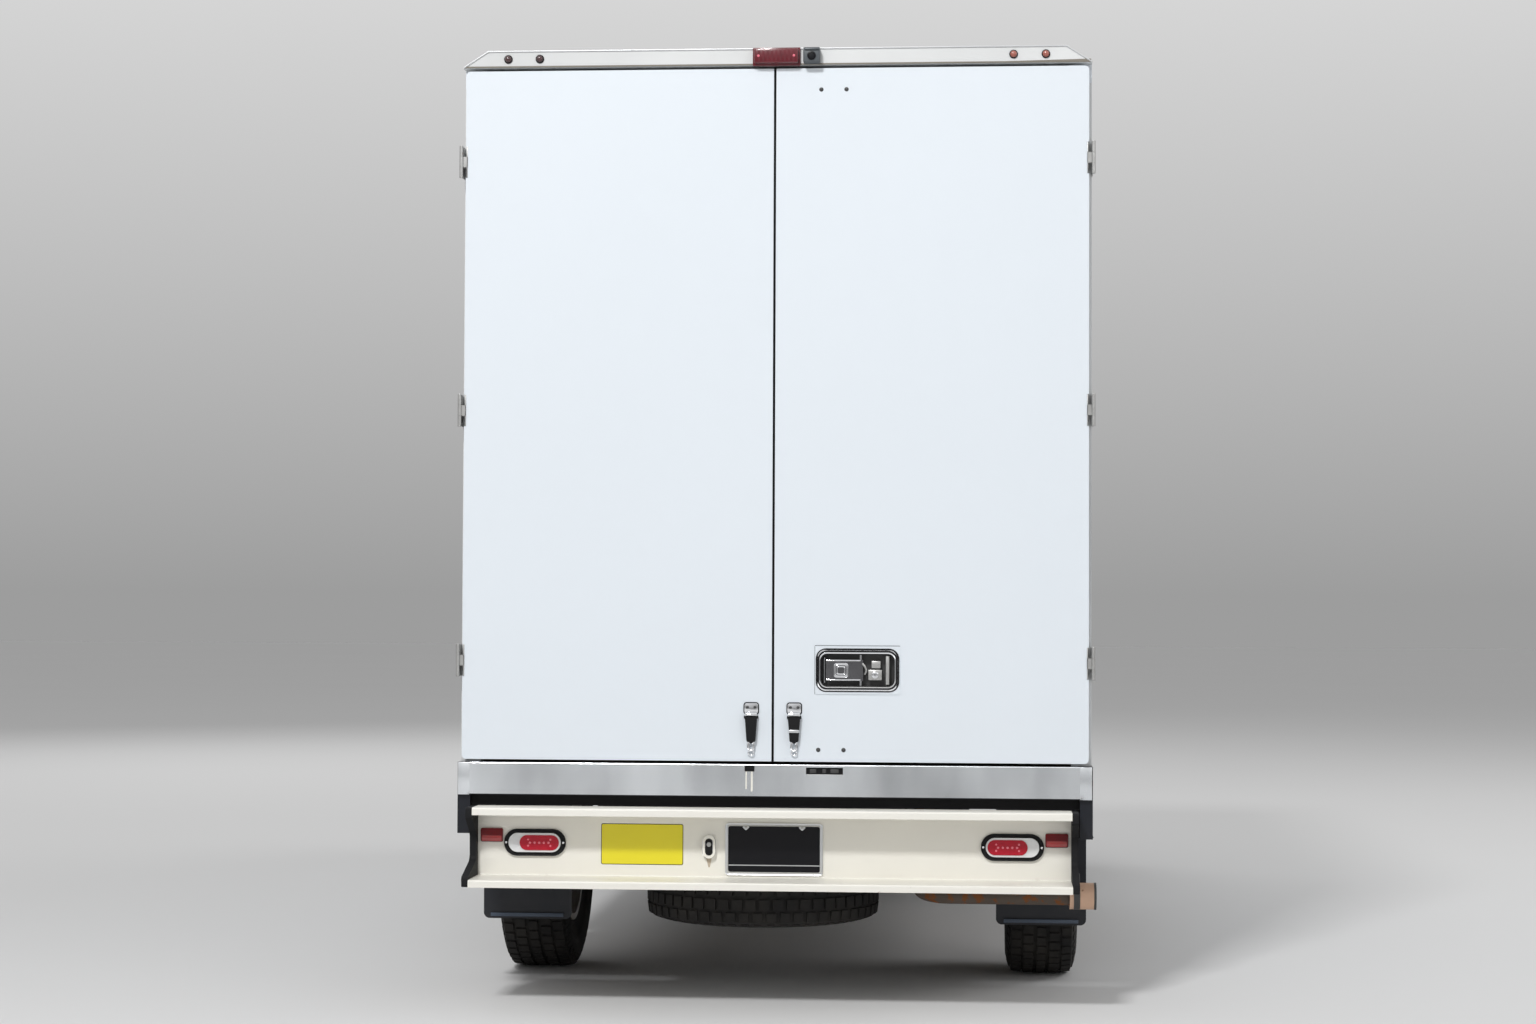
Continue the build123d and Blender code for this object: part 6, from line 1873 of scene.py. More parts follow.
@dataclass(frozen=True)
class Underside:
    """The exhaust's outlet, the sill's closing strip, and the fittings of skirts, guards and springs.

    Attributes:
        outlet: Place of the outlet in y and z.
        outlet_from: Where the sleeve starts.
        outlet_radius: Its radius.
        guard_face: Where the splash guards' rear faces lie along y.
    """

    outlet: Flat = (-2.445, 0.348)
    outlet_from: float = 0.952
    outlet_radius: float = 0.042
    guard_face: float = -2.1485

    def build(self) -> None:
        """Build the pieces below and beside the sill."""
        self._outlet()
        self._closing()
        self._skirt_bolts()
        self._guards()
        self._springs()

    def _outlet(self) -> None:
        """The heat-tinted sleeve with a dark rolled end and a strap."""
        y, z = self.outlet
        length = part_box("exhaust")[1][0] - self.outlet_from
        r = self.outlet_radius
        ahead = Vector((1, 0, 0))
        origin = (self.outlet_from, y, z)
        sleeve = Shape().turned([(r - 0.005, -0.001), (r + 0.0008, -0.001), (r + 0.0008, length + 0.0004),
                                 (r - 0.005, length + 0.0004)], origin, ahead, 40)
        sleeve.finish("outlet_sleeve", EXHAUST_TAN, smooth=40)
        end = Shape().turned([(r - 0.0055, length - 0.007), (r + 0.0016, length - 0.007),
                              (r + 0.0016, length + 0.0006), (r - 0.0055, length + 0.0006)], origin, ahead,
                             40)
        end.turned([(r + 0.0004, 0.012), (r + 0.0028, 0.012), (r + 0.0028, 0.032), (r + 0.0004, 0.032)],
                   origin, ahead, 40)
        end.block((self.outlet_from + 0.012, y - 0.012, z + r), (self.outlet_from + 0.032, y + 0.012,
                                                                 z + r + 0.030), 0.003)
        end.finish("outlet_strap", DARK_STEEL)

    def _closing(self) -> None:
        """A dark strip under the sill, and brushed pieces over the skirts' ends."""
        low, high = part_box("rear_sill")
        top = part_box("rear_bumper")[1][2]
        strip = Shape().block((low[0], SILL_FACE + 0.030, top + 0.001),
                              (high[0], SILL_FACE + 0.034, low[2] + SEAT))
        strip.finish("closing_strip", RUBBER)
        skirt_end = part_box("side_skirts")[0][1]
        ends = Shape()
        for side in Side:
            s = side.value
            ends.block((s * (high[0] - 0.001), SILL_FACE + 0.0004, low[2]),
                       (s * BOX_OUT, skirt_end + SEAT, high[2]), 0.0015)
        ends.finish("sill_end_pieces", BRUSHED_WITH_PAINTED_REFLECTIONS)

    def _skirt_bolts(self) -> None:
        """Button bolts along the top of each skirt, and a dark bead along its lower edge."""
        low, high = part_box("side_skirts")
        bolts = Shape()
        beads = Shape()
        for side in Side:
            x = side.value * high[0]
            for start, count in ((-0.98, 9), (low[1] + 0.06, 3)):
                domes(bolts, ZINC, (x, start, high[2] - 0.022), (0.0, 0.145, 0.0), count, 0.006, 0.0025,
                      Axis.X)
            for y0, y1 in ((low[1] + 0.03, low[1] + 0.42), (-1.19, high[1] - 0.01)):
                beads.tube([Vector((x, y0, 0.5495)), Vector((x, y1, 0.5495))], 0.0035)
        bolts.finish("skirt_bolts", ZINC)
        beads.finish("skirt_beads", BLACK_PLASTIC)

    def _guards(self) -> None:
        """A painted highlight along the lower edge of each splash guard, and two bolts on each."""
        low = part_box("side_skirts")[0]
        y = self.guard_face
        bands = Shape()
        bolts = Shape()
        for side in Side:
            s = side.value
            bands.block((s * 0.742, y + SEAT, low[2] + 0.008), (s * 0.990, y - 0.0022, low[2] + 0.020),
                        0.0008)
            domes(bolts, ZINC, (s * 0.790, y, 0.500), (s * 0.150, 0.0, 0.0), 2, 0.007, 0.004)
        bands.finish("guard_highlight_bands", GUARD_EDGE_HIGHLIGHT)
        bolts.finish("guard_bolts", ZINC)

    def _springs(self) -> None:
        """Clamp plates and U-bolts over the rear axle at both springs."""
        _, y, z = middle_of("rim_rear_left")
        clamps = Shape()
        for side in Side:
            x = side.value * SPRING_X
            for dy in (-0.062, 0.062):
                path = [Vector((x + dx, y + dy, z + dz)) for dx, dz in
                        ((-0.046, -0.075), (-0.046, 0.130), (-0.034, 0.142), (0.034, 0.142), (0.046, 0.130),
                         (0.046, -0.075))]
                clamps.tube(path, 0.007)
            clamps.block((x - 0.060, y - 0.078, z - 0.066), (x + 0.060, y + 0.078, z - 0.054), 0.002)
            for dx in (-0.046, 0.046):
                for dy in (-0.062, 0.062):
                    clamps.rod((x + dx, y + dy, z - 0.080), (x + dx, y + dy, z - 0.066), 0.013, 6)
        clamps.finish("spring_clamps", CAST_METAL)


@dataclass(frozen=True)
class BoxBody:
    """Rivets and joint strips outside, and posts, rails, bows and lamps inside.

    Attributes:
        panel: Width of one side panel.
        rivet_pitch: Distance between rivets.
        post_pitch: Distance between the inner posts.
        rails: Levels of the cargo rails.
        kick: Lower and upper edge of the kick boards.
    """

    panel: float = 1.219
    rivet_pitch: float = 0.0762
    post_pitch: float = 0.406
    rails: Flat = (1.25, 1.95)
    kick: Flat = (0.86, 1.10)

    def build(self) -> None:
        """Build the outside and the inside."""
        for side in Side:
            self._outside(side)
            self._inside(side)
        self._front_wall()
        self._ceiling()

    def _outside(self, side: Side) -> None:
        """Rivet rows along the rails and down the joint strips of one side."""
        s = side.value
        low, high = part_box(f"box_side_{side.word}")
        x = s * BOX_OUT
        long_count = int((high[1] - low[1] - 0.04) / self.rivet_pitch)
        rivets = Shape()
        for z in (low[2] + 0.022, high[2] - 0.022, high[2] + 0.022):
            domes(rivets, BODY_WHITE, (x, low[1] + 0.025, z), (0.0, self.rivet_pitch, 0.0), long_count,
                  0.0055, 0.0018, Axis.X)
        strips = Shape()
        tall = high[2] - low[2] - 0.09
        for k in (1, 2):
            y = high[1] - k * self.panel
            strips.block((x - s * SEAT, y - 0.022, low[2] + 0.045), (x + s * 0.0014, y + 0.022,
                                                                     high[2] - 0.045), 0.0004)
            for dy in (-0.013, 0.013):
                domes(rivets, BODY_WHITE, (x + s * 0.0014, y + dy, low[2] + 0.06),
                      (0.0, 0.0, self.rivet_pitch), int(tall / self.rivet_pitch), 0.0048, 0.0016, Axis.X)
        rivets.finish(f"side_rivets_{side.word}", BODY_WHITE)
        for z in (low[2] + 0.044, high[2] - 0.002):
            strips.block((x - s * SEAT, low[1] + 0.001, z), (x + s * 0.0016, high[1] - 0.001, z + 0.0035),
                         0.0005)
        strips.finish(f"side_strips_{side.word}", BODY_WHITE)

    def _inside(self, side: Side) -> None:
        """Posts, two slotted cargo rails and a plywood kick board on one inner wall."""
        s = side.value
        low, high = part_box(f"box_side_{side.word}")
        wall = abs(low[0]) if side is Side.RIGHT else abs(high[0])
        x = s * wall
        count = int((high[1] - low[1]) / self.post_pitch)
        posts = Shape()
        posts.absorb(BARS.grow(LINER_WHITE, {
            "Start": (x - s * 0.0040, low[1] + 0.20, (low[2] + high[2]) / 2),
            "Step": (0.0, self.post_pitch, 0.0),
            "Count": count, "Size": (0.0088, 0.045, high[2] - low[2] - 0.02)}))
        posts.finish(f"wall_posts_{side.word}", LINER_WHITE)
        rails = Shape()
        slots = Shape()
        for z in self.rails:
            rails.block((x + s * SEAT, low[1] + 0.03, z - 0.062), (x - s * 0.0120, high[1] - 0.03,
                                                                   z + 0.062), 0.002)
            slots.absorb(BARS.grow(INK_BLACK, {"Start": (x - s * 0.0122, low[1] + 0.09, z),
                                               "Step": (0.0, 0.0508, 0.0), "Count": 54,
                                               "Size": (0.0010, 0.014, 0.055)}))
        rails.finish(f"cargo_rails_{side.word}", ZINC)
        slots.finish(f"cargo_rail_slots_{side.word}", INK_BLACK)
        z0, z1 = self.kick
        kick = Shape().block((x + s * SEAT, low[1] + 0.02, z0), (x - s * 0.0105, high[1] - 0.02, z1), 0.001)
        kick.finish(f"kick_board_{side.word}", BOARDS)

    def _front_wall(self) -> None:
        """Boards on the inner face of the front wall, with screws."""
        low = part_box("box_front_wall")[0]
        boards = Shape().block((-0.93, low[1] + SEAT, 0.80), (0.93, low[1] - 0.009, 2.05), 0.002)
        boards.finish("bulkhead_boards", BOARDS)
        screws = Shape()
        for z in (0.84, 1.42, 2.01):
            domes(screws, ZINC, (-0.90, low[1] - 0.009, z), (0.20, 0.0, 0.0), 10, 0.006, 0.002)
        screws.finish("bulkhead_screws", ZINC)

    def _ceiling(self) -> None:
        """Roof bows, and two flat lamps between them."""
        skin = Skin("box_roof")
        low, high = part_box("box_roof")
        level = skin.hit((0.0, -1.0, 2.0), (0.0, 0.0, 1.0))[0].z
        count = int((high[1] - low[1] - 0.2) / self.post_pitch)
        bows = Shape()
        bows.absorb(BARS.grow(LINER_WHITE, {"Start": (0.0, low[1] + 0.22, level - 0.0075),
                                            "Step": (0.0, self.post_pitch, 0.0), "Count": count,
                                            "Size": (1.90, 0.040, 0.016)}))
        bows.finish("roof_bows", LINER_WHITE)
        lamps = Shape()
        for y in (-1.95, -0.32):
            lamps.block((-0.15, y - 0.035, level - 0.018), (0.15, y + 0.035, level + SEAT), 0.004)
        lamps.finish("ceiling_lamps", LAMP_WHITE)


def drape(outline: Sequence[Flat], skin: Skin, axis: Axis, start: float, out: float, thick: float,
          rings: int = 5) -> Shape:
    """A sheet with a plane outline laid on a curved surface.

    Args:
        outline: The closed outline, seen along the axis.
        skin: The surface it lies on.
        axis: The direction it is seen along.
        start: Where the rays start along that axis, outside the surface.
        out: How far its outer face stands beyond the surface; negative for behind it.
        thick: Its thickness, inwards from that face.
        rings: Rings of points between the middle and the outline.

    Returns:
        The shape, still open for more.
    """
    sign = 1 if start > 0 else -1
    ahead = lift((0.0, 0.0), -sign, axis)
    middle = Vector((sum(p[0] for p in outline) / len(outline), sum(p[1] for p in outline) / len(outline)))
    part = bmesh.new()
    loops = []
    for level in (0.0, -thick):
        for ring in range(1, rings + 1):
            loop = []
            for point in outline:
                flat = middle.lerp(Vector(point), ring / rings)
                place = skin.hit(lift(flat, start, axis), ahead)[0] - ahead * (out + level)
                loop.append(part.verts.new(place))
            loops.append(loop)
    count = len(outline)
    for side in (0, rings):
        for ring in range(rings - 1):
            a, b = loops[side + ring], loops[side + ring + 1]
            for i in range(count):
                part.faces.new((a[i], a[(i + 1) % count], b[(i + 1) % count], b[i]))
        part.faces.new(loops[side])
    a, b = loops[rings - 1], loops[2 * rings - 1]
    for i in range(count):
        part.faces.new((a[i], a[(i + 1) % count], b[(i + 1) % count], b[i]))
    shape = Shape()
    shape.absorb(part)
    return shape


def along(path: Sequence[Flat], skin: Skin, axis: Axis, start: float, step: float = 0.05,
          closed: bool = False) -> list[Vector]:
    """Points along a plane path laid on a curved surface.

    Args:
        path: The path's corners, seen along the axis.
        skin: The surface it lies on.
        axis: The direction it is seen along.
        start: Where the rays start along that axis.
        step: Distance between points.
        closed: Return to the first corner.

    Returns:
        The points.
    """
    sign = 1 if start > 0 else -1
    corners = list(path) + ([path[0]] if closed else [])
    points = []
    for p, q in zip(corners, corners[1:]):
        run = (Vector(q) - Vector(p)).length
        pieces = max(1, round(run / step))
        for k in range(pieces):
            points.append(skin.hit(lift(Vector(p).lerp(Vector(q), k / pieces), start, axis),
                                   lift((0, 0), -sign, axis))[0])
    if not closed:
        points.append(skin.hit(lift(corners[-1], start, axis), lift((0, 0), -sign, axis))[0])
    return points


def panel_frame(origin: Vector, up: Vector, normal: Vector) -> Matrix:
    """The placement whose X is across, Y up a tilted panel and Z out of it."""
    across = up.cross(normal).normalized()
    matrix = Matrix((across, up.normalized(), normal.normalized())).transposed().to_4x4()
    matrix.translation = origin
    return matrix


@dataclass(frozen=True)
class Windscreen:
    """The windscreen's black border, rubber, wipers and inner mirror.

    Attributes:
        middle: The middle of the screen in y and z.
        up: The direction up the screen in y and z.
        half_low: Half width and place up the screen of its lower edge.
        half_high: The same for its upper edge.
    """

    middle: Flat = (1.610, 1.750)
    up: Flat = (-0.640, 0.700)
    half_low: Flat = (0.850, -0.395)
    half_high: Flat = (0.745, 0.360)

    def frame(self) -> Matrix:
        """The placement of the screen's outer face."""
        up = Vector((0.0, *self.up)).normalized()
        normal = Vector((0.0, self.up[1], -self.up[0])).normalized()
        middle = Vector((0.0, *self.middle))
        place = Skin("windscreen").hit(middle + normal * 0.4, -normal)[0]
        return panel_frame(place, up, normal)

    def outline(self, grow: float) -> list[Flat]:
        """The screen's outline, grown or shrunk."""
        (wide, low), (narrow, high) = self.half_low, self.half_high
        corners = [(-wide - grow, low - grow), (wide + grow, low - grow), (narrow + grow, high + grow),
                   (-narrow - grow, high + grow)]
        return rounded(corners, 0.06 + grow, 8)

    def build(self) -> None:
        """Build the border, the rubber and the wipers."""
        frame_matrix = self.frame()
        band = Shape().ring(self.outline(-0.008), self.outline(-0.042), Axis.Z, -SEAT, 0.0008)
        border = Shape()
        border.absorb(band.bm, frame_matrix)
        border.finish("screen_border", INK_BLACK)
        seal = Shape().ring(self.outline(0.006), self.outline(-0.014), Axis.Z, -SEAT, 0.0045, 0.002)
        rubber = Shape()
        rubber.absorb(seal.bm, frame_matrix)
        rubber.finish("screen_rubber", RUBBER)
        self._wipers(frame_matrix)
        self._mirror()

    def _wipers(self, matrix: Matrix) -> None:
        """Two wipers parked along the lower edge."""
        wipers = Shape()
        for pivot in (-0.62, 0.08):
            blade_low = Vector((pivot + 0.04, -0.352, 0.017))
            blade_high = Vector((pivot + 0.60, -0.328, 0.017))
            hub = Vector((pivot, -0.425, 0.006))
            joint = blade_low.lerp(blade_high, 0.5) + Vector((0, 0, 0.008))
            part = Shape().tube([hub + Vector((0, 0, 0.018)), hub.lerp(joint, 0.3) + Vector((0, 0, 0.012)),
                                 joint], 0.0055)
            part.rod(tuple(hub), tuple(hub + Vector((0, 0, 0.024))), 0.014, 20, 0.003)
            part.tube([blade_low, blade_high], 0.0048)
            part.tube([blade_low - Vector((0, 0, 0.009)), blade_high - Vector((0, 0, 0.009))], 0.0034)
            wipers.absorb(part.bm, matrix)
        wipers.finish("wipers", RUBBER)

    @staticmethod
    def _mirror() -> None:
        """The inner mirror on its stalk below the roof."""
        skin = Skin("windscreen")
        foot = skin.hit((0.0, 1.20, 1.90), (0.0, 1.0, 0.0))[0]
        stalk = Shape().rod(tuple(foot), (0.0, foot.y - 0.055, foot.z - 0.020), 0.008, 16)
        stalk.block((-0.120, foot.y - 0.075, foot.z - 0.055), (0.120, foot.y - 0.052, foot.z + 0.012), 0.010,
                    3)
        stalk.finish("inner_mirror", CABIN_PLASTIC)
        glass = Shape().block((-0.112, foot.y - 0.0762, foot.z - 0.048),
                              (0.112, foot.y - 0.0745, foot.z + 0.005), 0.0007)
        glass.finish("inner_mirror_glass", MIRROR_GLASS)


@dataclass(frozen=True)
class CabDoorTrim:
    """Window rubber, belt and rub strips, handle, mirror glass and inner panel of one cab door.

    Attributes:
        side: Which door.
        window: The window's outline in y and z.
        handle: Place of the handle.
    """

    side: Side
    window: tuple[Flat, ...] = ((0.640, 1.400), (0.640, 1.930), (1.175, 1.930), (1.520, 1.548),
                                (1.520, 1.400))
    handle: Flat = (0.690, 1.195)

    @property
    def body(self) -> str:
        """The door's body."""
        return f"cab_door_{self.side.word}"

    def build(self) -> None:
        """Build the door's trim."""
        s = self.side.value
        word = self.side.word
        skin = Skin(f"cab_door_{word}", f"cab_glass_{word}")
        far = s * FAR_OUT
        middle = (1.08, 1.66)
        ring = [(y + (0.005 if y > middle[0] else -0.005), z + (0.005 if z > middle[1] else -0.005))
                for y, z in rounded(self.window, 0.045, 5)]
        rubber = Shape().tube(along(ring, skin, Axis.X, far, 0.04, True), 0.0065, closed=True)
        rubber.tube(along([(0.600, 1.385), (1.560, 1.385)], skin, Axis.X, far), 0.0085)
        rubber.tube(along([(0.585, 0.845), (1.585, 0.845)], skin, Axis.X, far), 0.0120)
        rubber.finish(f"cab_door_rubbers_{word}", RUBBER, self.body)
        self._handle(skin, far)
        self._mirror()
        self._inner()

    def _handle(self, skin: Skin, far: float) -> None:
        """A black cup with a pull bar, and the key barrel below."""
        s = self.side.value
        y, z = self.handle
        cup = drape(rounded(rectangle(y - 0.075, y + 0.075, z - 0.034, z + 0.034), 0.016), skin, Axis.X, far,
                    0.0035, 0.005)
        face = skin.hit((far, y, z), (-s, 0, 0))[0].x
        cup.block((face + s * 0.001, y - 0.062, z - 0.004), (face + s * 0.0105, y + 0.062, z + 0.022), 0.004,
                  3)
        cup.finish(f"cab_door_handle_{self.side.word}", BLACK_PLASTIC, self.body)
        barrel = Shape().turned([(0.0, 0.0), (0.012, 0.0), (0.012, 0.003), (0.010, 0.0045), (0.0, 0.0045)],
                                (face - s * 0.001, y - 0.030, z - 0.060), Vector((s, 0, 0)), 24)
        barrel.finish(f"cab_door_lock_{self.side.word}", CHROME, self.body)

    def _mirror(self) -> None:
        """Main and wide-angle glasses in the mirror head, with a gasket."""
        low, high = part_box(f"mirror_{self.side.word}")
        s = self.side.value
        outer = s * max(abs(low[0]), abs(high[0]))
        x0, x1 = outer - s * 0.012, outer - s * 0.132
        glass = Shape()
        rim = Shape()
        for z0, z1 in ((low[2] + 0.100, high[2] - 0.014), (low[2] + 0.016, low[2] + 0.088)):
            pane = rounded(rectangle(x0, x1, z0, z1), 0.014)
            edge = rounded(rectangle(x0 + s * 0.003, x1 - s * 0.003, z0 - 0.003, z1 + 0.003), 0.016)
            rim.ring(edge, pane, Axis.Y, low[1] + 0.004, low[1] - 0.0026, 0.001)
            glass.prism(pane, Axis.Y, low[1] + 0.004, low[1] - 0.0016, 0.0006)
        glass.finish(f"mirror_panes_{self.side.word}", MIRROR_GLASS, self.body)
        rim.finish(f"mirror_rims_{self.side.word}", RUBBER, self.body)

    def _inner(self) -> None:
        """The inner door panel with an arm rest, a pocket, a crank and a release."""
        s = self.side.value
        skin = Skin(f"cab_door_{self.side.word}")
        near = s * 0.70
        panel_line = rounded([(0.600, 0.560), (0.600, 1.350), (1.540, 1.350), (1.540, 0.830), (1.400, 0.700),
                              (1.400, 0.560)], 0.05)
        hit = skin.hit((near, 0.85, 1.10), (s, 0, 0))[0].x
        panel = Shape().prism(panel_line, Axis.X, hit + s * SEAT, hit - s * 0.006, 0.003)
        panel.block((hit, 0.700, 1.085), (hit - s * 0.042, 1.050, 1.135), 0.014, 4)
        panel.block((hit, 0.680, 0.640), (hit - s * 0.022, 1.280, 0.770), 0.008, 3)
        panel.finish(f"cab_door_panel_{self.side.word}", CABIN_PLASTIC, self.body)
        crank = Shape().rod((hit - s * 0.004, 1.230, 1.030), (hit - s * 0.022, 1.230, 1.030), 0.016, 24,
                            0.003)
        crank.rod((hit - s * 0.018, 1.230, 1.030), (hit - s * 0.022, 1.140, 1.000), 0.007, 16, 0.002)
        crank.rod((hit - s * 0.018, 1.140, 1.000), (hit - s * 0.038, 1.140, 1.000), 0.011, 20, 0.003)
        crank.block((hit - s * 0.004, 1.300, 1.190), (hit - s * 0.013, 1.400, 1.235), 0.004)
        crank.finish(f"cab_door_crank_{self.side.word}", CHROME, self.body)


@dataclass(frozen=True)
class Nose:
    """Headlamps, radiator, arch lips and side repeaters of the cab's front.

    Attributes:
        lamp: Headlamp outline: inner and outer x, lower and upper z.
        bowl: Place (x, z) and radius of the reflector bowl.
        arch: Place (y, z) and radius of the front arch's lip.
    """

    lamp: tuple[float, float, float, float] = (0.5605, 0.9045, 0.8005, 1.0295)
    bowl: tuple[float, float, float] = (0.672, 0.915, 0.092)
    arch: tuple[float, float, float] = (1.870, 0.387, 0.453)

    def build(self) -> None:
        """Build the front's trim."""
        for side in Side:
            self._headlamp(side)
            self._arch(side)
        self._radiator()

    def _headlamp(self, side: Side) -> None:
        """A housing with a bright bowl and an amber corner behind a clear cover."""
        s = side.value
        skin = Skin("headlamps")
        x0, x1, z0, z1 = self.lamp
        x0, x1 = x0 * s, x1 * s
        inset = 0.0012
        edge = rounded(rectangle(x0 + s * inset, x1 - s * inset, z0 + inset, z1 - inset), 0.048)
        cover = drape(edge, skin, Axis.Y, FAR_AHEAD, -0.0008, 0.0030, 8)
        cover.finish(f"headlamp_cover_{side.word}", LENS_CLEAR, replaces=("headlamps",))
        housing = drape(edge, skin, Axis.Y, FAR_AHEAD, -0.034, 0.003, 8)
        housing.finish(f"headlamp_housing_{side.word}", ALUMINIUM)
        hole = rounded(rectangle(x0 + s * 0.010, x1 - s * 0.010, z0 + 0.010, z1 - 0.010), 0.040)
        wall = Shape()
        part = bmesh.new()
        loops = [[part.verts.new(skin.hit(lift(p, FAR_AHEAD, Axis.Y), (0, -1, 0))[0] + Vector((0, d, 0)))
                  for p in line] for line, d in ((edge, -0.004), (edge, -0.036), (hole, -0.036),
                                                 (hole, -0.004))]
        for a, b in zip(loops, loops[1:] + loops[:1]):
            for i in range(len(a)):
                part.faces.new((a[i], a[(i + 1) % len(a)], b[(i + 1) % len(a)], b[i]))
        wall.absorb(part)
        wall.finish(f"headlamp_wall_{side.word}", INK_BLACK)
        bx, bz, r = self.bowl
        face = skin.hit((s * bx, FAR_AHEAD, bz), (0, -1, 0))[0].y
        rows = [(0.0, -0.033), (r * 0.35, -0.0315), (r * 0.65, -0.0265), (r * 0.88, -0.0180), (r, -0.0090),
                (r + 0.004, -0.0090), (r + 0.004, -0.0340), (0.0, -0.0340)]
        bowl = Shape().turned(rows, (s * bx, face, bz), Vector((0, 1, 0)), 48)
        bowl.finish(f"headlamp_bowl_{side.word}", CHROME, smooth=60)
        bulb = Shape().turned([(0.0, -0.008), (0.010, -0.011), (0.013, -0.020), (0.013, -0.032),
                               (0.0, -0.032)], (s * bx, face, bz), Vector((0, 1, 0)), 24)
        bulb.finish(f"headlamp_bulb_{side.word}", LAMP_WHITE)
        window = rounded(rectangle(s * 0.800, x1 - s * 0.014, z0 + 0.022, z1 - 0.022), 0.020)
        corner = drape(window, skin, Axis.Y, FAR_AHEAD, -0.0080, 0.024)
        corner.finish(f"turn_lamp_{side.word}", AMBER)

    def _arch(self, side: Side) -> None:
        """The black lip round the front arch, and the amber repeater above it."""
        s = side.value
        skin = Skin("cab_shell")
        y, z, r = self.arch
        points = [skin.hit((s * FAR_OUT, y + r * math.cos(a), z + r * math.sin(a)), (-s, 0, 0))[0]
                  for a in (math.radians(18 + 4 * k) for k in range(37))]
        lip = Shape().tube(points, 0.0095, segments=16)
        lip.finish(f"front_arch_lip_{side.word}", RUBBER)
        repeater = drape(rounded(rectangle(2.060, 2.130, 0.985, 1.015), 0.008), skin, Axis.X, s * FAR_OUT,
                         0.0085, 0.010, 3)
        repeater.finish(f"side_repeater_{side.word}", AMBER)

    @staticmethod
    def _radiator() -> None:
        """Upright fins and a frame behind the grille."""
        low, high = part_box("grille")
        y = low[1] - 0.030
        fins = Shape()
        fins.absorb(BARS.grow(DARK_STEEL, {"Start": (low[0] + 0.03, y, (low[2] + high[2]) / 2),
                                           "Step": (0.0094, 0.0, 0.0), "Count": 100,
                                           "Size": (0.0016, 0.014, high[2] - low[2] - 0.02)}))
        fins.finish("radiator_fins", DARK_STEEL)
        core = Shape().block((low[0] + 0.015, y - 0.020, low[2] + 0.005),
                             (high[0] - 0.015, y - 0.006, high[2] - 0.005), 0.003)
        core.finish("radiator_core", CHASSIS_BLACK)


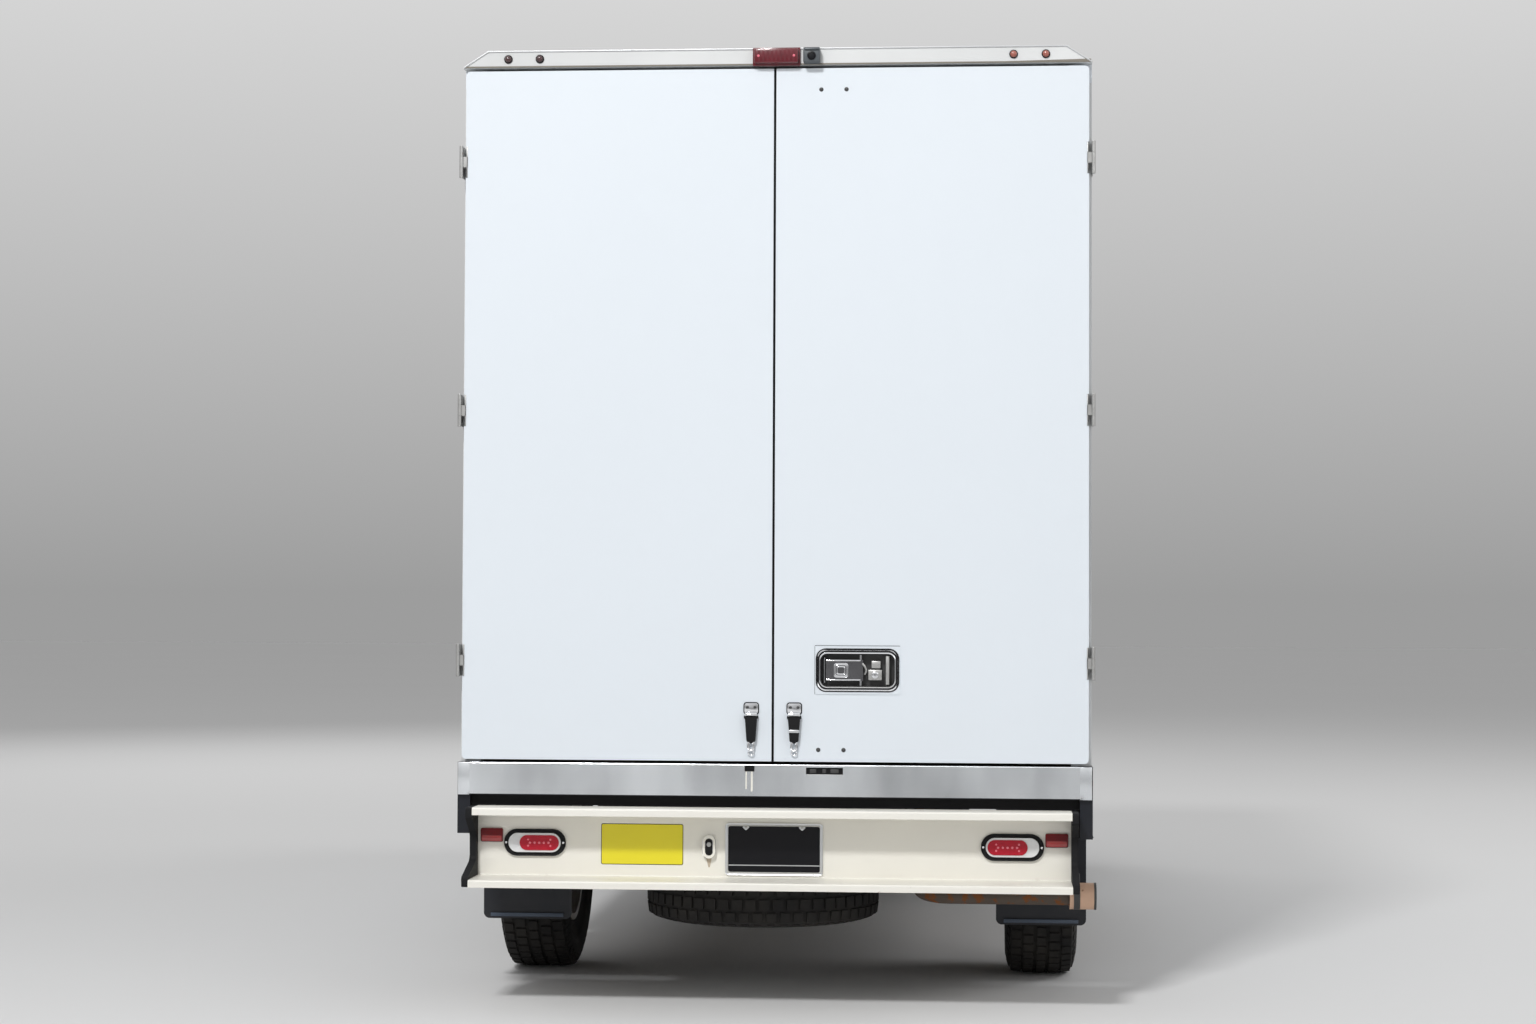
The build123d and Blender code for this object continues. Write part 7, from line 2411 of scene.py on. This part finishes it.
@dataclass(frozen=True)
class Dashboard:
    """Gauge hood, gauges, vents, radio, knobs, glove box lid, pedals, mats and column stalks.

    Attributes:
        driver_x: The driver's place across the cab.
        vents: Places of the vents across the dashboard.
    """

    driver_x: float = -0.470
    vents: tuple[float, ...] = (-0.800, -0.150, 0.150, 0.800)

    def build(self) -> None:
        """Build the dashboard's details."""
        skin = Skin("dashboard")
        self._hood()
        self._gauges()
        self._vents(skin)
        self._middle(skin)
        self._pedals()
        self._wheel()

    def _hood(self) -> None:
        """The hood over the gauges."""
        x = self.driver_x
        rows = [(1.548, 1.345), (1.560, 1.430), (1.640, 1.438), (1.760, 1.405), (1.790, 1.350)]
        hood = Shape().prism(rounded(rows, (0.002, 0.012, 0.03, 0.03, 0.002)), Axis.X, x - 0.190, x + 0.190,
                             0.010)
        hood.finish("gauge_hood", CABIN_PLASTIC)

    def _gauges(self) -> None:
        """Two large and two small gauges with rings, ticks and needles."""
        axis = Vector((0.0, -1.0, 0.14)).normalized()
        rings, faces, marks = Shape(), Shape(), Shape()
        for dx, r in ((-0.065, 0.040), (0.065, 0.040), (-0.145, 0.026), (0.145, 0.026)):
            place = (self.driver_x + dx, 1.5535, 1.388)
            rings.turned([(r, 0.0), (r + 0.004, 0.0), (r + 0.003, 0.006), (r, 0.005)], place, axis, 40)
            faces.turned([(0.0, 0.002), (r, 0.002), (r, 0.0), (0.0, 0.0)], place, axis, 40)
            for k in range(11):
                angle = math.radians(-40 + 26 * k)
                tick = Vector((place[0] + (r - 0.005) * math.cos(angle), place[1] - 0.0042,
                               place[2] + (r - 0.005) * math.sin(angle)))
                marks.rod(tuple(tick), tuple(tick + Vector((0.004 * math.cos(angle), 0,
                                                            0.004 * math.sin(angle)))), 0.0008, 6)
            marks.rod((place[0], place[1] - 0.0048, place[2]), (place[0] - r * 0.6, place[1] - 0.0048,
                                                                place[2] - r * 0.4), 0.0012, 8)
        rings.finish("gauge_rings", CHROME)
        faces.finish("gauge_faces", PLATE_BLACK)
        marks.finish("gauge_marks", LAMP_WHITE)

    def _vents(self, skin: Skin) -> None:
        """Air vents: a frame with slats."""
        frames, slats = Shape(), Shape()
        for x in self.vents:
            y = skin.hit((x, 1.1, 1.250), (0, 1, 0))[0].y
            outer = rounded(rectangle(x - 0.058, x + 0.058, 1.218, 1.282), 0.012)
            inner = rounded(rectangle(x - 0.050, x + 0.050, 1.226, 1.274), 0.008)
            frames.ring(outer, inner, Axis.Y, y + 0.014, y - 0.013, 0.002)
            slats.absorb(BARS.grow(INK_BLACK, {"Start": (x, y - 0.004, 1.232), "Step": (0.0, 0.0, 0.0115),
                                               "Count": 4, "Size": (0.101, 0.012, 0.0025),
                                               "Turn": (0.5, 0.0, 0.0)}))
        frames.finish("vent_frames", BLACK_PLASTIC)
        slats.finish("vent_slats", INK_BLACK)

    def _middle(self, skin: Skin) -> None:
        """The blank radio, three knobs, and the glove box lid."""
        y = skin.hit((0.0, 1.1, 1.180), (0, 1, 0))[0].y
        radio = Shape().block((-0.095, y - 0.008, 1.150), (0.095, y + 0.020, 1.205), 0.004)
        radio.finish("radio", PLATE_BLACK)
        knobs = Shape()
        for x in (-0.080, 0.080):
            knobs.rod((x, y - 0.006, 1.178), (x, y - 0.022, 1.178), 0.010, 24, 0.002)
        for x in (-0.055, 0.0, 0.055):
            knobs.rod((x, y + 0.020, 1.118), (x, y - 0.012, 1.118), 0.015, 24, 0.003)
        knobs.finish("dash_knobs", CHROME)
        glove_y = skin.hit((0.47, 1.1, 1.200), (0, 1, 0))[0].y
        lid = Shape().block((0.290, glove_y - 0.006, 1.150), (0.660, glove_y + 0.020, 1.225), 0.006)
        lid.block((0.445, glove_y - 0.012, 1.196), (0.505, glove_y, 1.212), 0.003)
        lid.finish("glove_box_lid", CABIN_PLASTIC)

    def _pedals(self) -> None:
        """Two pedals, and ribbed mats on both sides."""
        x = self.driver_x
        toe = Skin("cab_floor").hit((x, 0.9, 0.75), (0, 1, 0))[0].y
        floor = Skin("cab_floor").hit((x, 1.30, 0.80), (0, 0, -1))[0].z
        pedals = Shape()
        for dx, w, low, high in ((-0.030, 0.055, 0.745, 0.800), (0.115, 0.030, 0.700, 0.800)):
            pedals.block((x + dx - w, toe - 0.075, low), (x + dx + w, toe - 0.062, high), 0.005, 3)
            pedals.rod((x + dx, toe - 0.064, (low + high) / 2), (x + dx, toe + 0.001, high + 0.030), 0.007,
                       14)
        pedals.finish("pedals", RUBBER)
        mats = Shape()
        for centre in (x, -x):
            mats.block((centre - 0.215, toe - 0.250, floor - SEAT), (centre + 0.215, toe - 0.012,
                                                                     floor + 0.006), 0.002)
            mats.absorb(BARS.grow(RUBBER, {"Start": (centre - 0.19, toe - 0.131, floor + 0.0065),
                                           "Step": (0.02, 0.0, 0.0), "Count": 20,
                                           "Size": (0.006, 0.215, 0.003)}))
        mats.finish("floor_mats", RUBBER)

    def _wheel(self) -> None:
        """The steering wheel's horn pad and seams, and the column's stalks."""
        tilt = math.radians(35)
        axis = Vector((0.0, -math.cos(tilt), math.sin(tilt)))
        foot = Vector((self.driver_x, 1.530, 1.215))
        pad = Shape().turned([(0.0, 0.190), (0.030, 0.189), (0.055, 0.184), (0.066, 0.176), (0.068, 0.166),
                              (0.0, 0.166)], tuple(foot), axis, 40)
        across = Vector((1, 0, 0))
        up = axis.cross(across)
        for angle in (math.radians(a) for a in (35, 145, 215, 325)):
            middle = foot + axis * 0.170 + (across * math.cos(angle) + up * math.sin(angle)) * 0.190
            tangent = (up * math.cos(angle) - across * math.sin(angle)) * 0.007
            pad.rod(tuple(middle - tangent), tuple(middle + tangent), 0.0165, 20, 0.001)
        pad.finish("horn_pad", RUBBER, Body.STEERING_WHEEL)
        stalks = Shape()
        root = foot + axis * 0.095
        for s, drop in ((-1, 0.010), (1, -0.010)):
            tip = root + Vector((s * 0.175, 0.0, 0.0)) + up * drop
            stalks.rod(tuple(root + Vector((s * 0.028, 0, 0))), tuple(tip), 0.0065, 14)
            stalks.rod(tuple(tip - Vector((s * 0.045, 0, 0))), tuple(tip + Vector((s * 0.004, 0, 0))),
                       0.0100, 16, 0.003)
        stalks.finish("column_stalks", CABIN_PLASTIC)


@dataclass(frozen=True)
class PaddedSeats:
    """Two seats with cloth-simulated cushions, piping, plinths and head rest posts.

    Attributes:
        x: Distance of each seat from the middle.
        half: Half the width of a cushion before it swells.
        head_half: The same for the head rest.
        voxel: Size of the remeshed grid.
        pressure: Pressure inside the cushions.
        cap: The most that a point may move.
        frames: Simulated frames.
    """

    x: float = 0.470
    half: float = 0.236
    head_half: float = 0.118
    voxel: float = 0.0105
    pressure: float = 4.0
    cap: float = 0.0115
    frames: int = 20

    PADS = (
        # name, half width field, outline in y and z
        ("base", "half", ((0.748, 0.884), (1.120, 0.884), (1.136, 0.986), (0.752, 0.974))),
        ("back", "half", ((0.632, 0.952), (0.716, 1.002), (0.610, 1.545), (0.528, 1.545))),
        ("head", "head_half", ((0.548, 1.594), (0.603, 1.594), (0.595, 1.746), (0.547, 1.746))),
    )

    def build(self) -> None:
        """Build both seats; the pads are simulated once and set twice."""
        first = True
        for name, width, outline in self.PADS:
            half = getattr(self, width)
            mesh = self._swell(Shape().prism(rounded(outline, 0.022, 3), Axis.X, -half, half))
            for side in Side:
                pad = Shape()
                copy = mesh.copy()
                pad.absorb(copy, Matrix.Translation((side.value * self.x, 0.0, 0.0)))
                replaced = ("seats",) if first else ()
                piece = pad.finish(f"seat_{name}_{side.word}", SEAT_CLOTH, replaces=replaced, smooth=180)
                first = False
                self._piping(name, side, piece)
            bpy.data.meshes.remove(mesh)
        self._frames()

    def _swell(self, shape: Shape) -> bpy.types.Mesh:
        """Remesh a block, blow it up as cloth, cap its movement and smooth it.

        Args:
            shape: The block.

        Returns:
            The cushion's mesh.
        """
        bmesh.ops.recalc_face_normals(shape.bm, faces=shape.bm.faces)
        block = bpy.data.meshes.new("pad_block")
        shape.bm.to_mesh(block)
        shape.bm.free()
        holder = bpy.data.objects.new("pad_block", block)
        bpy.context.scene.collection.objects.link(holder)
        grid = holder.modifiers.new("grid", "REMESH")
        grid.mode = "VOXEL"
        grid.voxel_size = self.voxel
        mesh = self._baked(holder)
        smooth = bmesh.new()
        smooth.from_mesh(mesh)
        for _ in range(3):
            bmesh.ops.smooth_vert(smooth, verts=smooth.verts, factor=0.5, use_axis_x=True, use_axis_y=True,
                                  use_axis_z=True)
        smooth.to_mesh(mesh)
        smooth.free()
        bpy.data.objects.remove(holder)
        bpy.data.meshes.remove(block)
        pad = bpy.data.objects.new("pad", mesh)
        bpy.context.scene.collection.objects.link(pad)
        self._simulate(pad)
        finer = pad.modifiers.new("finer", "SUBSURF")
        finer.levels = 1
        finer.render_levels = 1
        done = self._baked(pad)
        bpy.data.objects.remove(pad)
        bpy.data.meshes.remove(mesh)
        return done

    @staticmethod
    def _baked(holder: bpy.types.Object) -> bpy.types.Mesh:
        """The mesh of an object with its modifiers applied."""
        bpy.context.view_layer.update()
        return bpy.data.meshes.new_from_object(holder.evaluated_get(bpy.context.evaluated_depsgraph_get()))

    def _simulate(self, pad: bpy.types.Object) -> None:
        """Blow the pad up with pressure, and leave each point within the cap of its start."""
        cloth = pad.modifiers.new("cloth", "CLOTH")
        settings = cloth.settings
        settings.quality = 5
        settings.use_pressure = True
        settings.uniform_pressure_force = self.pressure
        settings.tension_stiffness = 15.0
        settings.compression_stiffness = 15.0
        settings.bending_stiffness = 0.5
        settings.effector_weights.gravity = 0.0
        scene = bpy.context.scene
        cloth.point_cache.frame_start = 1
        cloth.point_cache.frame_end = self.frames
        for number in range(1, self.frames + 1):
            scene.frame_set(number)
        moved = pad.evaluated_get(bpy.context.evaluated_depsgraph_get()).data
        places = [v.co.copy() for v in moved.vertices]
        pad.modifiers.remove(cloth)
        scene.frame_set(1)
        for vertex, place in zip(pad.data.vertices, places):
            shift = place - vertex.co
            if shift.length > self.cap:
                shift *= self.cap / shift.length
            vertex.co += shift
        pad.data.update()

    def _piping(self, name: str, side: Side, pad: bpy.types.Object) -> None:
        """Sewn piping round the inset of a pad's face, and two channels across it."""
        if name == "head":
            return
        x = side.value * self.x
        skin = Skin(pad)
        axis, start, v0, v1 = (Axis.Z, 2.0, 0.800, 1.085) if name == "base" else (Axis.Y, 2.0, 1.060, 1.500)
        outline = rounded(rectangle(x - 0.165, x + 0.165, v0, v1), 0.040, 5)
        piping = Shape().tube(along(outline, skin, axis, start, 0.03, True), 0.0028, closed=True)
        for share in (1 / 3, 2 / 3):
            v = v0 + (v1 - v0) * share
            piping.tube(along([(x - 0.163, v), (x + 0.163, v)], skin, axis, start, 0.02), 0.0022)
        piping.finish(f"seat_piping_{name}_{side.word}", RUBBER)

    def _frames(self) -> None:
        """Plinths, recliner covers, buckles and head rest posts."""
        plinths, posts = Shape(), Shape()
        for side in Side:
            x = side.value * self.x
            plinths.block((x - 0.240, 0.602, 0.8604), (x + 0.240, 1.122, 0.8860), 0.006, 3)
            for edge in (-1, 1):
                plinths.block((x + edge * 0.232, 0.606, 0.872), (x + edge * 0.249, 0.745, 0.985), 0.007, 3)
            inner = -side.value
            plinths.block((x + inner * 0.252, 0.700, 0.885), (x + inner * 0.268, 0.735, 1.010), 0.006, 3)
            for dx in (-0.050, 0.050):
                posts.rod((x + dx, 0.570, 1.530), (x + dx, 0.572, 1.610), 0.0065, 16, 0.001)
        plinths.finish("seat_plinths", CABIN_PLASTIC)
        posts.finish("head_rest_posts", CHROME)


@dataclass(frozen=True)
class Studio:
    """Floor, lamps, world and camera.

    Attributes:
        lens: Focal length in millimetres on a 36 mm sensor.
        eye: The camera's place.
        yaw: Turn to the left in radians.
        pitch: Tilt upwards in radians.
        roll: Roll in radians.
        horizon: Background level at the horizon, the same as the far floor's.
        paling: How fast it rises upwards.
        ambient: Level of the even light.
        floor_half: Half the floor's width.
    """

    lens: float = 65.6
    eye: Point = (0.661, DOOR_FACE - 8.951, 1.322)
    yaw: float = 0.0757
    pitch: float = 0.029
    roll: float = 0.004
    horizon: float = 0.337
    paling: float = 1.6
    ambient: float = 0.39
    floor_half: float = 60.0

    def build(self) -> None:
        """Set the whole studio."""
        self._floor()
        self._lamps()
        self._world()
        self._camera()

    def _floor(self) -> None:
        """A wide pale floor."""
        mesh = bpy.data.meshes.new("studio_floor")
        half = self.floor_half
        mesh.from_pydata([(-half, -half, 0), (half, -half, 0), (half, half, 0), (-half, half, 0)], [],
                         [(0, 1, 2, 3)])
        floor = bpy.data.objects.new("studio_floor", mesh)
        bpy.context.scene.collection.objects.link(floor)
        mesh.materials.append(FLOOR_GREY.material())

    def _lamps(self) -> None:
        """Soft boxes behind, at both sides and ahead."""
        rows = (
            # name, place, aim, width, height, power, seen in reflections
            ("key_lamp", (-2.5, -11.5, 9.6), (0.0, -2.6, 1.3), 1.7, 1.2, 960.0, True),
            ("fill_lamp", (8.0, -9.0, 5.0), (0.0, -2.0, 1.2), 6.0, 5.0, 110.0, True),
            ("side_lamp", (11.0, 3.0, 7.0), (0.0, 0.0, 1.2), 7.0, 5.0, 400.0, False),
            ("front_lamp", (-6.0, 11.0, 8.0), (0.0, 1.0, 1.2), 7.0, 5.0, 330.0, False),
        )
        for name, place, aim, width, height, power, mirrored in rows:
            lamp = bpy.data.lights.new(name, "AREA")
            lamp.shape = "RECTANGLE"
            lamp.size = width
            lamp.size_y = height
            lamp.energy = power
            holder = bpy.data.objects.new(name, lamp)
            holder.location = place
            holder.rotation_euler = (Vector(aim) - Vector(place)).to_track_quat("-Z", "Y").to_euler()
            holder.visible_glossy = mirrored
            bpy.context.scene.collection.objects.link(holder)

    def _world(self) -> None:
        """Even soft light, and a background for camera, glossy and glass rays that pales upwards."""
        world = bpy.data.worlds.new("studio_world")
        bpy.context.scene.world = world
        world.use_nodes = True
        desk = Desk(world.node_tree)
        shader = world.node_tree.nodes["Background"]
        path = desk.add("ShaderNodeLightPath").outputs
        seen = desk.math("ADD", path["Is Camera Ray"], desk.math("ADD", path["Is Glossy Ray"],
                                                                 path["Is Transmission Ray"]), clamp=True)
        height = desk.add("ShaderNodeSeparateXYZ",
                          {0: desk.add("ShaderNodeNewGeometry").outputs["Position"]})
        rise = desk.math("MAXIMUM", height.outputs["Z"], 0.0)
        level = desk.plus(self.horizon, rise, self.paling, clamp=True)
        strength = desk.math("ADD", desk.math("MULTIPLY", seen, level),
                             desk.math("MULTIPLY", desk.math("SUBTRACT", 1.0, seen), self.ambient))
        desk.feed(shader.inputs["Strength"], strength)
        shader.inputs["Color"].default_value = rgba((1.0, 1.0, 1.0))

    def _camera(self) -> None:
        """The camera of the photograph: straight behind, a little to the right of the middle."""
        ahead = Vector((-math.sin(self.yaw) * math.cos(self.pitch),
                        math.cos(self.yaw) * math.cos(self.pitch), math.sin(self.pitch)))
        right = Vector((math.cos(self.yaw), math.sin(self.yaw), 0.0))
        up = right.cross(ahead)
        turned_right = right * math.cos(self.roll) + up * math.sin(self.roll)
        turned_up = up * math.cos(self.roll) - right * math.sin(self.roll)
        data = bpy.data.cameras.new("photo_camera")
        data.lens = self.lens
        data.sensor_width = 36.0
        data.clip_end = 500.0
        camera = bpy.data.objects.new("photo_camera", data)
        matrix = Matrix((turned_right, turned_up, -ahead)).transposed().to_4x4()
        matrix.translation = Vector(self.eye)
        camera.matrix_world = matrix
        bpy.context.scene.collection.objects.link(camera)
        bpy.context.scene.camera = camera


NODE_FINISHES: dict[Surface, tuple[str, ...]] = {
    DOOR_WHITE: ("rear_door_left", "rear_door_right"),
    BODY_WHITE: ("box_front_wall", "box_roof", "box_side_left", "box_side_right"),
    HEADER_WHITE: ("rear_frame",),
    CAB_WHITE: ("cab_shell", "cab_door_left", "cab_door_right", "bonnet"),
    BUMPER_CREAM: ("rear_bumper",),
    BOARDS: ("box_floor",),
    SKIRT_BLACK: ("side_skirts",),
    BLACK_PLASTIC: ("front_bumper", "grille", "mirror_left", "mirror_right", "camera_housing"),
    CABIN_PLASTIC: ("dashboard", "steering_wheel"),
    PLATE_BLACK: ("number_plate",),
    CHASSIS_BLACK: ("ladder_frame", "rear_axle", "front_suspension", "cab_floor", "fuel_tank"),
    CAST_METAL: ("drivetrain", "knuckle_left", "knuckle_right"),
    EXHAUST_STEEL: ("exhaust",),
    BRUSHED_WITH_PAINTED_REFLECTIONS: ("rear_sill",),
    CHROME: ("door_latch",),
    ZINC: ("door_hinges", "door_hardware_left", "door_hardware_right"),
    RED_LENS: ("rear_lamps",),
    STOP_RED: ("stop_lamp",),
    MARKER_RED: ("marker_lamps",),
    LENS_CLEAR: ("headlamps",),
    GLASS: ("cab_glass_left", "cab_glass_right", "windscreen"),
    SEAT_CLOTH: ("seats",),
    RIM_SILVER: ("rim_front_left", "rim_front_right", "rim_rear_left", "rim_rear_right"),
    TYRE_RUBBER: ("tyre_front_left", "tyre_front_right", "tyre_rear_left", "tyre_rear_right", "spare_wheel"),
}


def dress_nodes() -> None:
    """Give each CAD node its finish."""
    for finish, nodes in NODE_FINISHES.items():
        for node in nodes:
            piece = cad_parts[node]
            for place in piece.material_slots:
                place.material = finish.material()


ASSEMBLIES = (
    Header(),
    *(RearDoor(side) for side in Side),
    *(DoorHardware(side) for side in Side),
    PaddleLatch(),
    RearSill(),
    StepBumper(),
    Underside(),
    BoxBody(),
    SpareWheel(),
    *(Wheel(end, side) for end in ("front", "rear") for side in Side),
    Windscreen(),
    *(CabDoorTrim(side) for side in Side),
    Nose(),
    Dashboard(),
    PaddedSeats(),
)


def main() -> None:
    """Build the studio and every sub-assembly, and report them."""
    logging.basicConfig(level=logging.INFO, format="%(name)s %(message)s")
    bpy.context.scene.view_settings.view_transform = "Standard"
    Studio().build()
    dress_nodes()
    for assembly in ASSEMBLIES:
        assembly.build()
        LOG.info("%s is built", type(assembly).__name__)


if __name__ == "__main__":
    main()
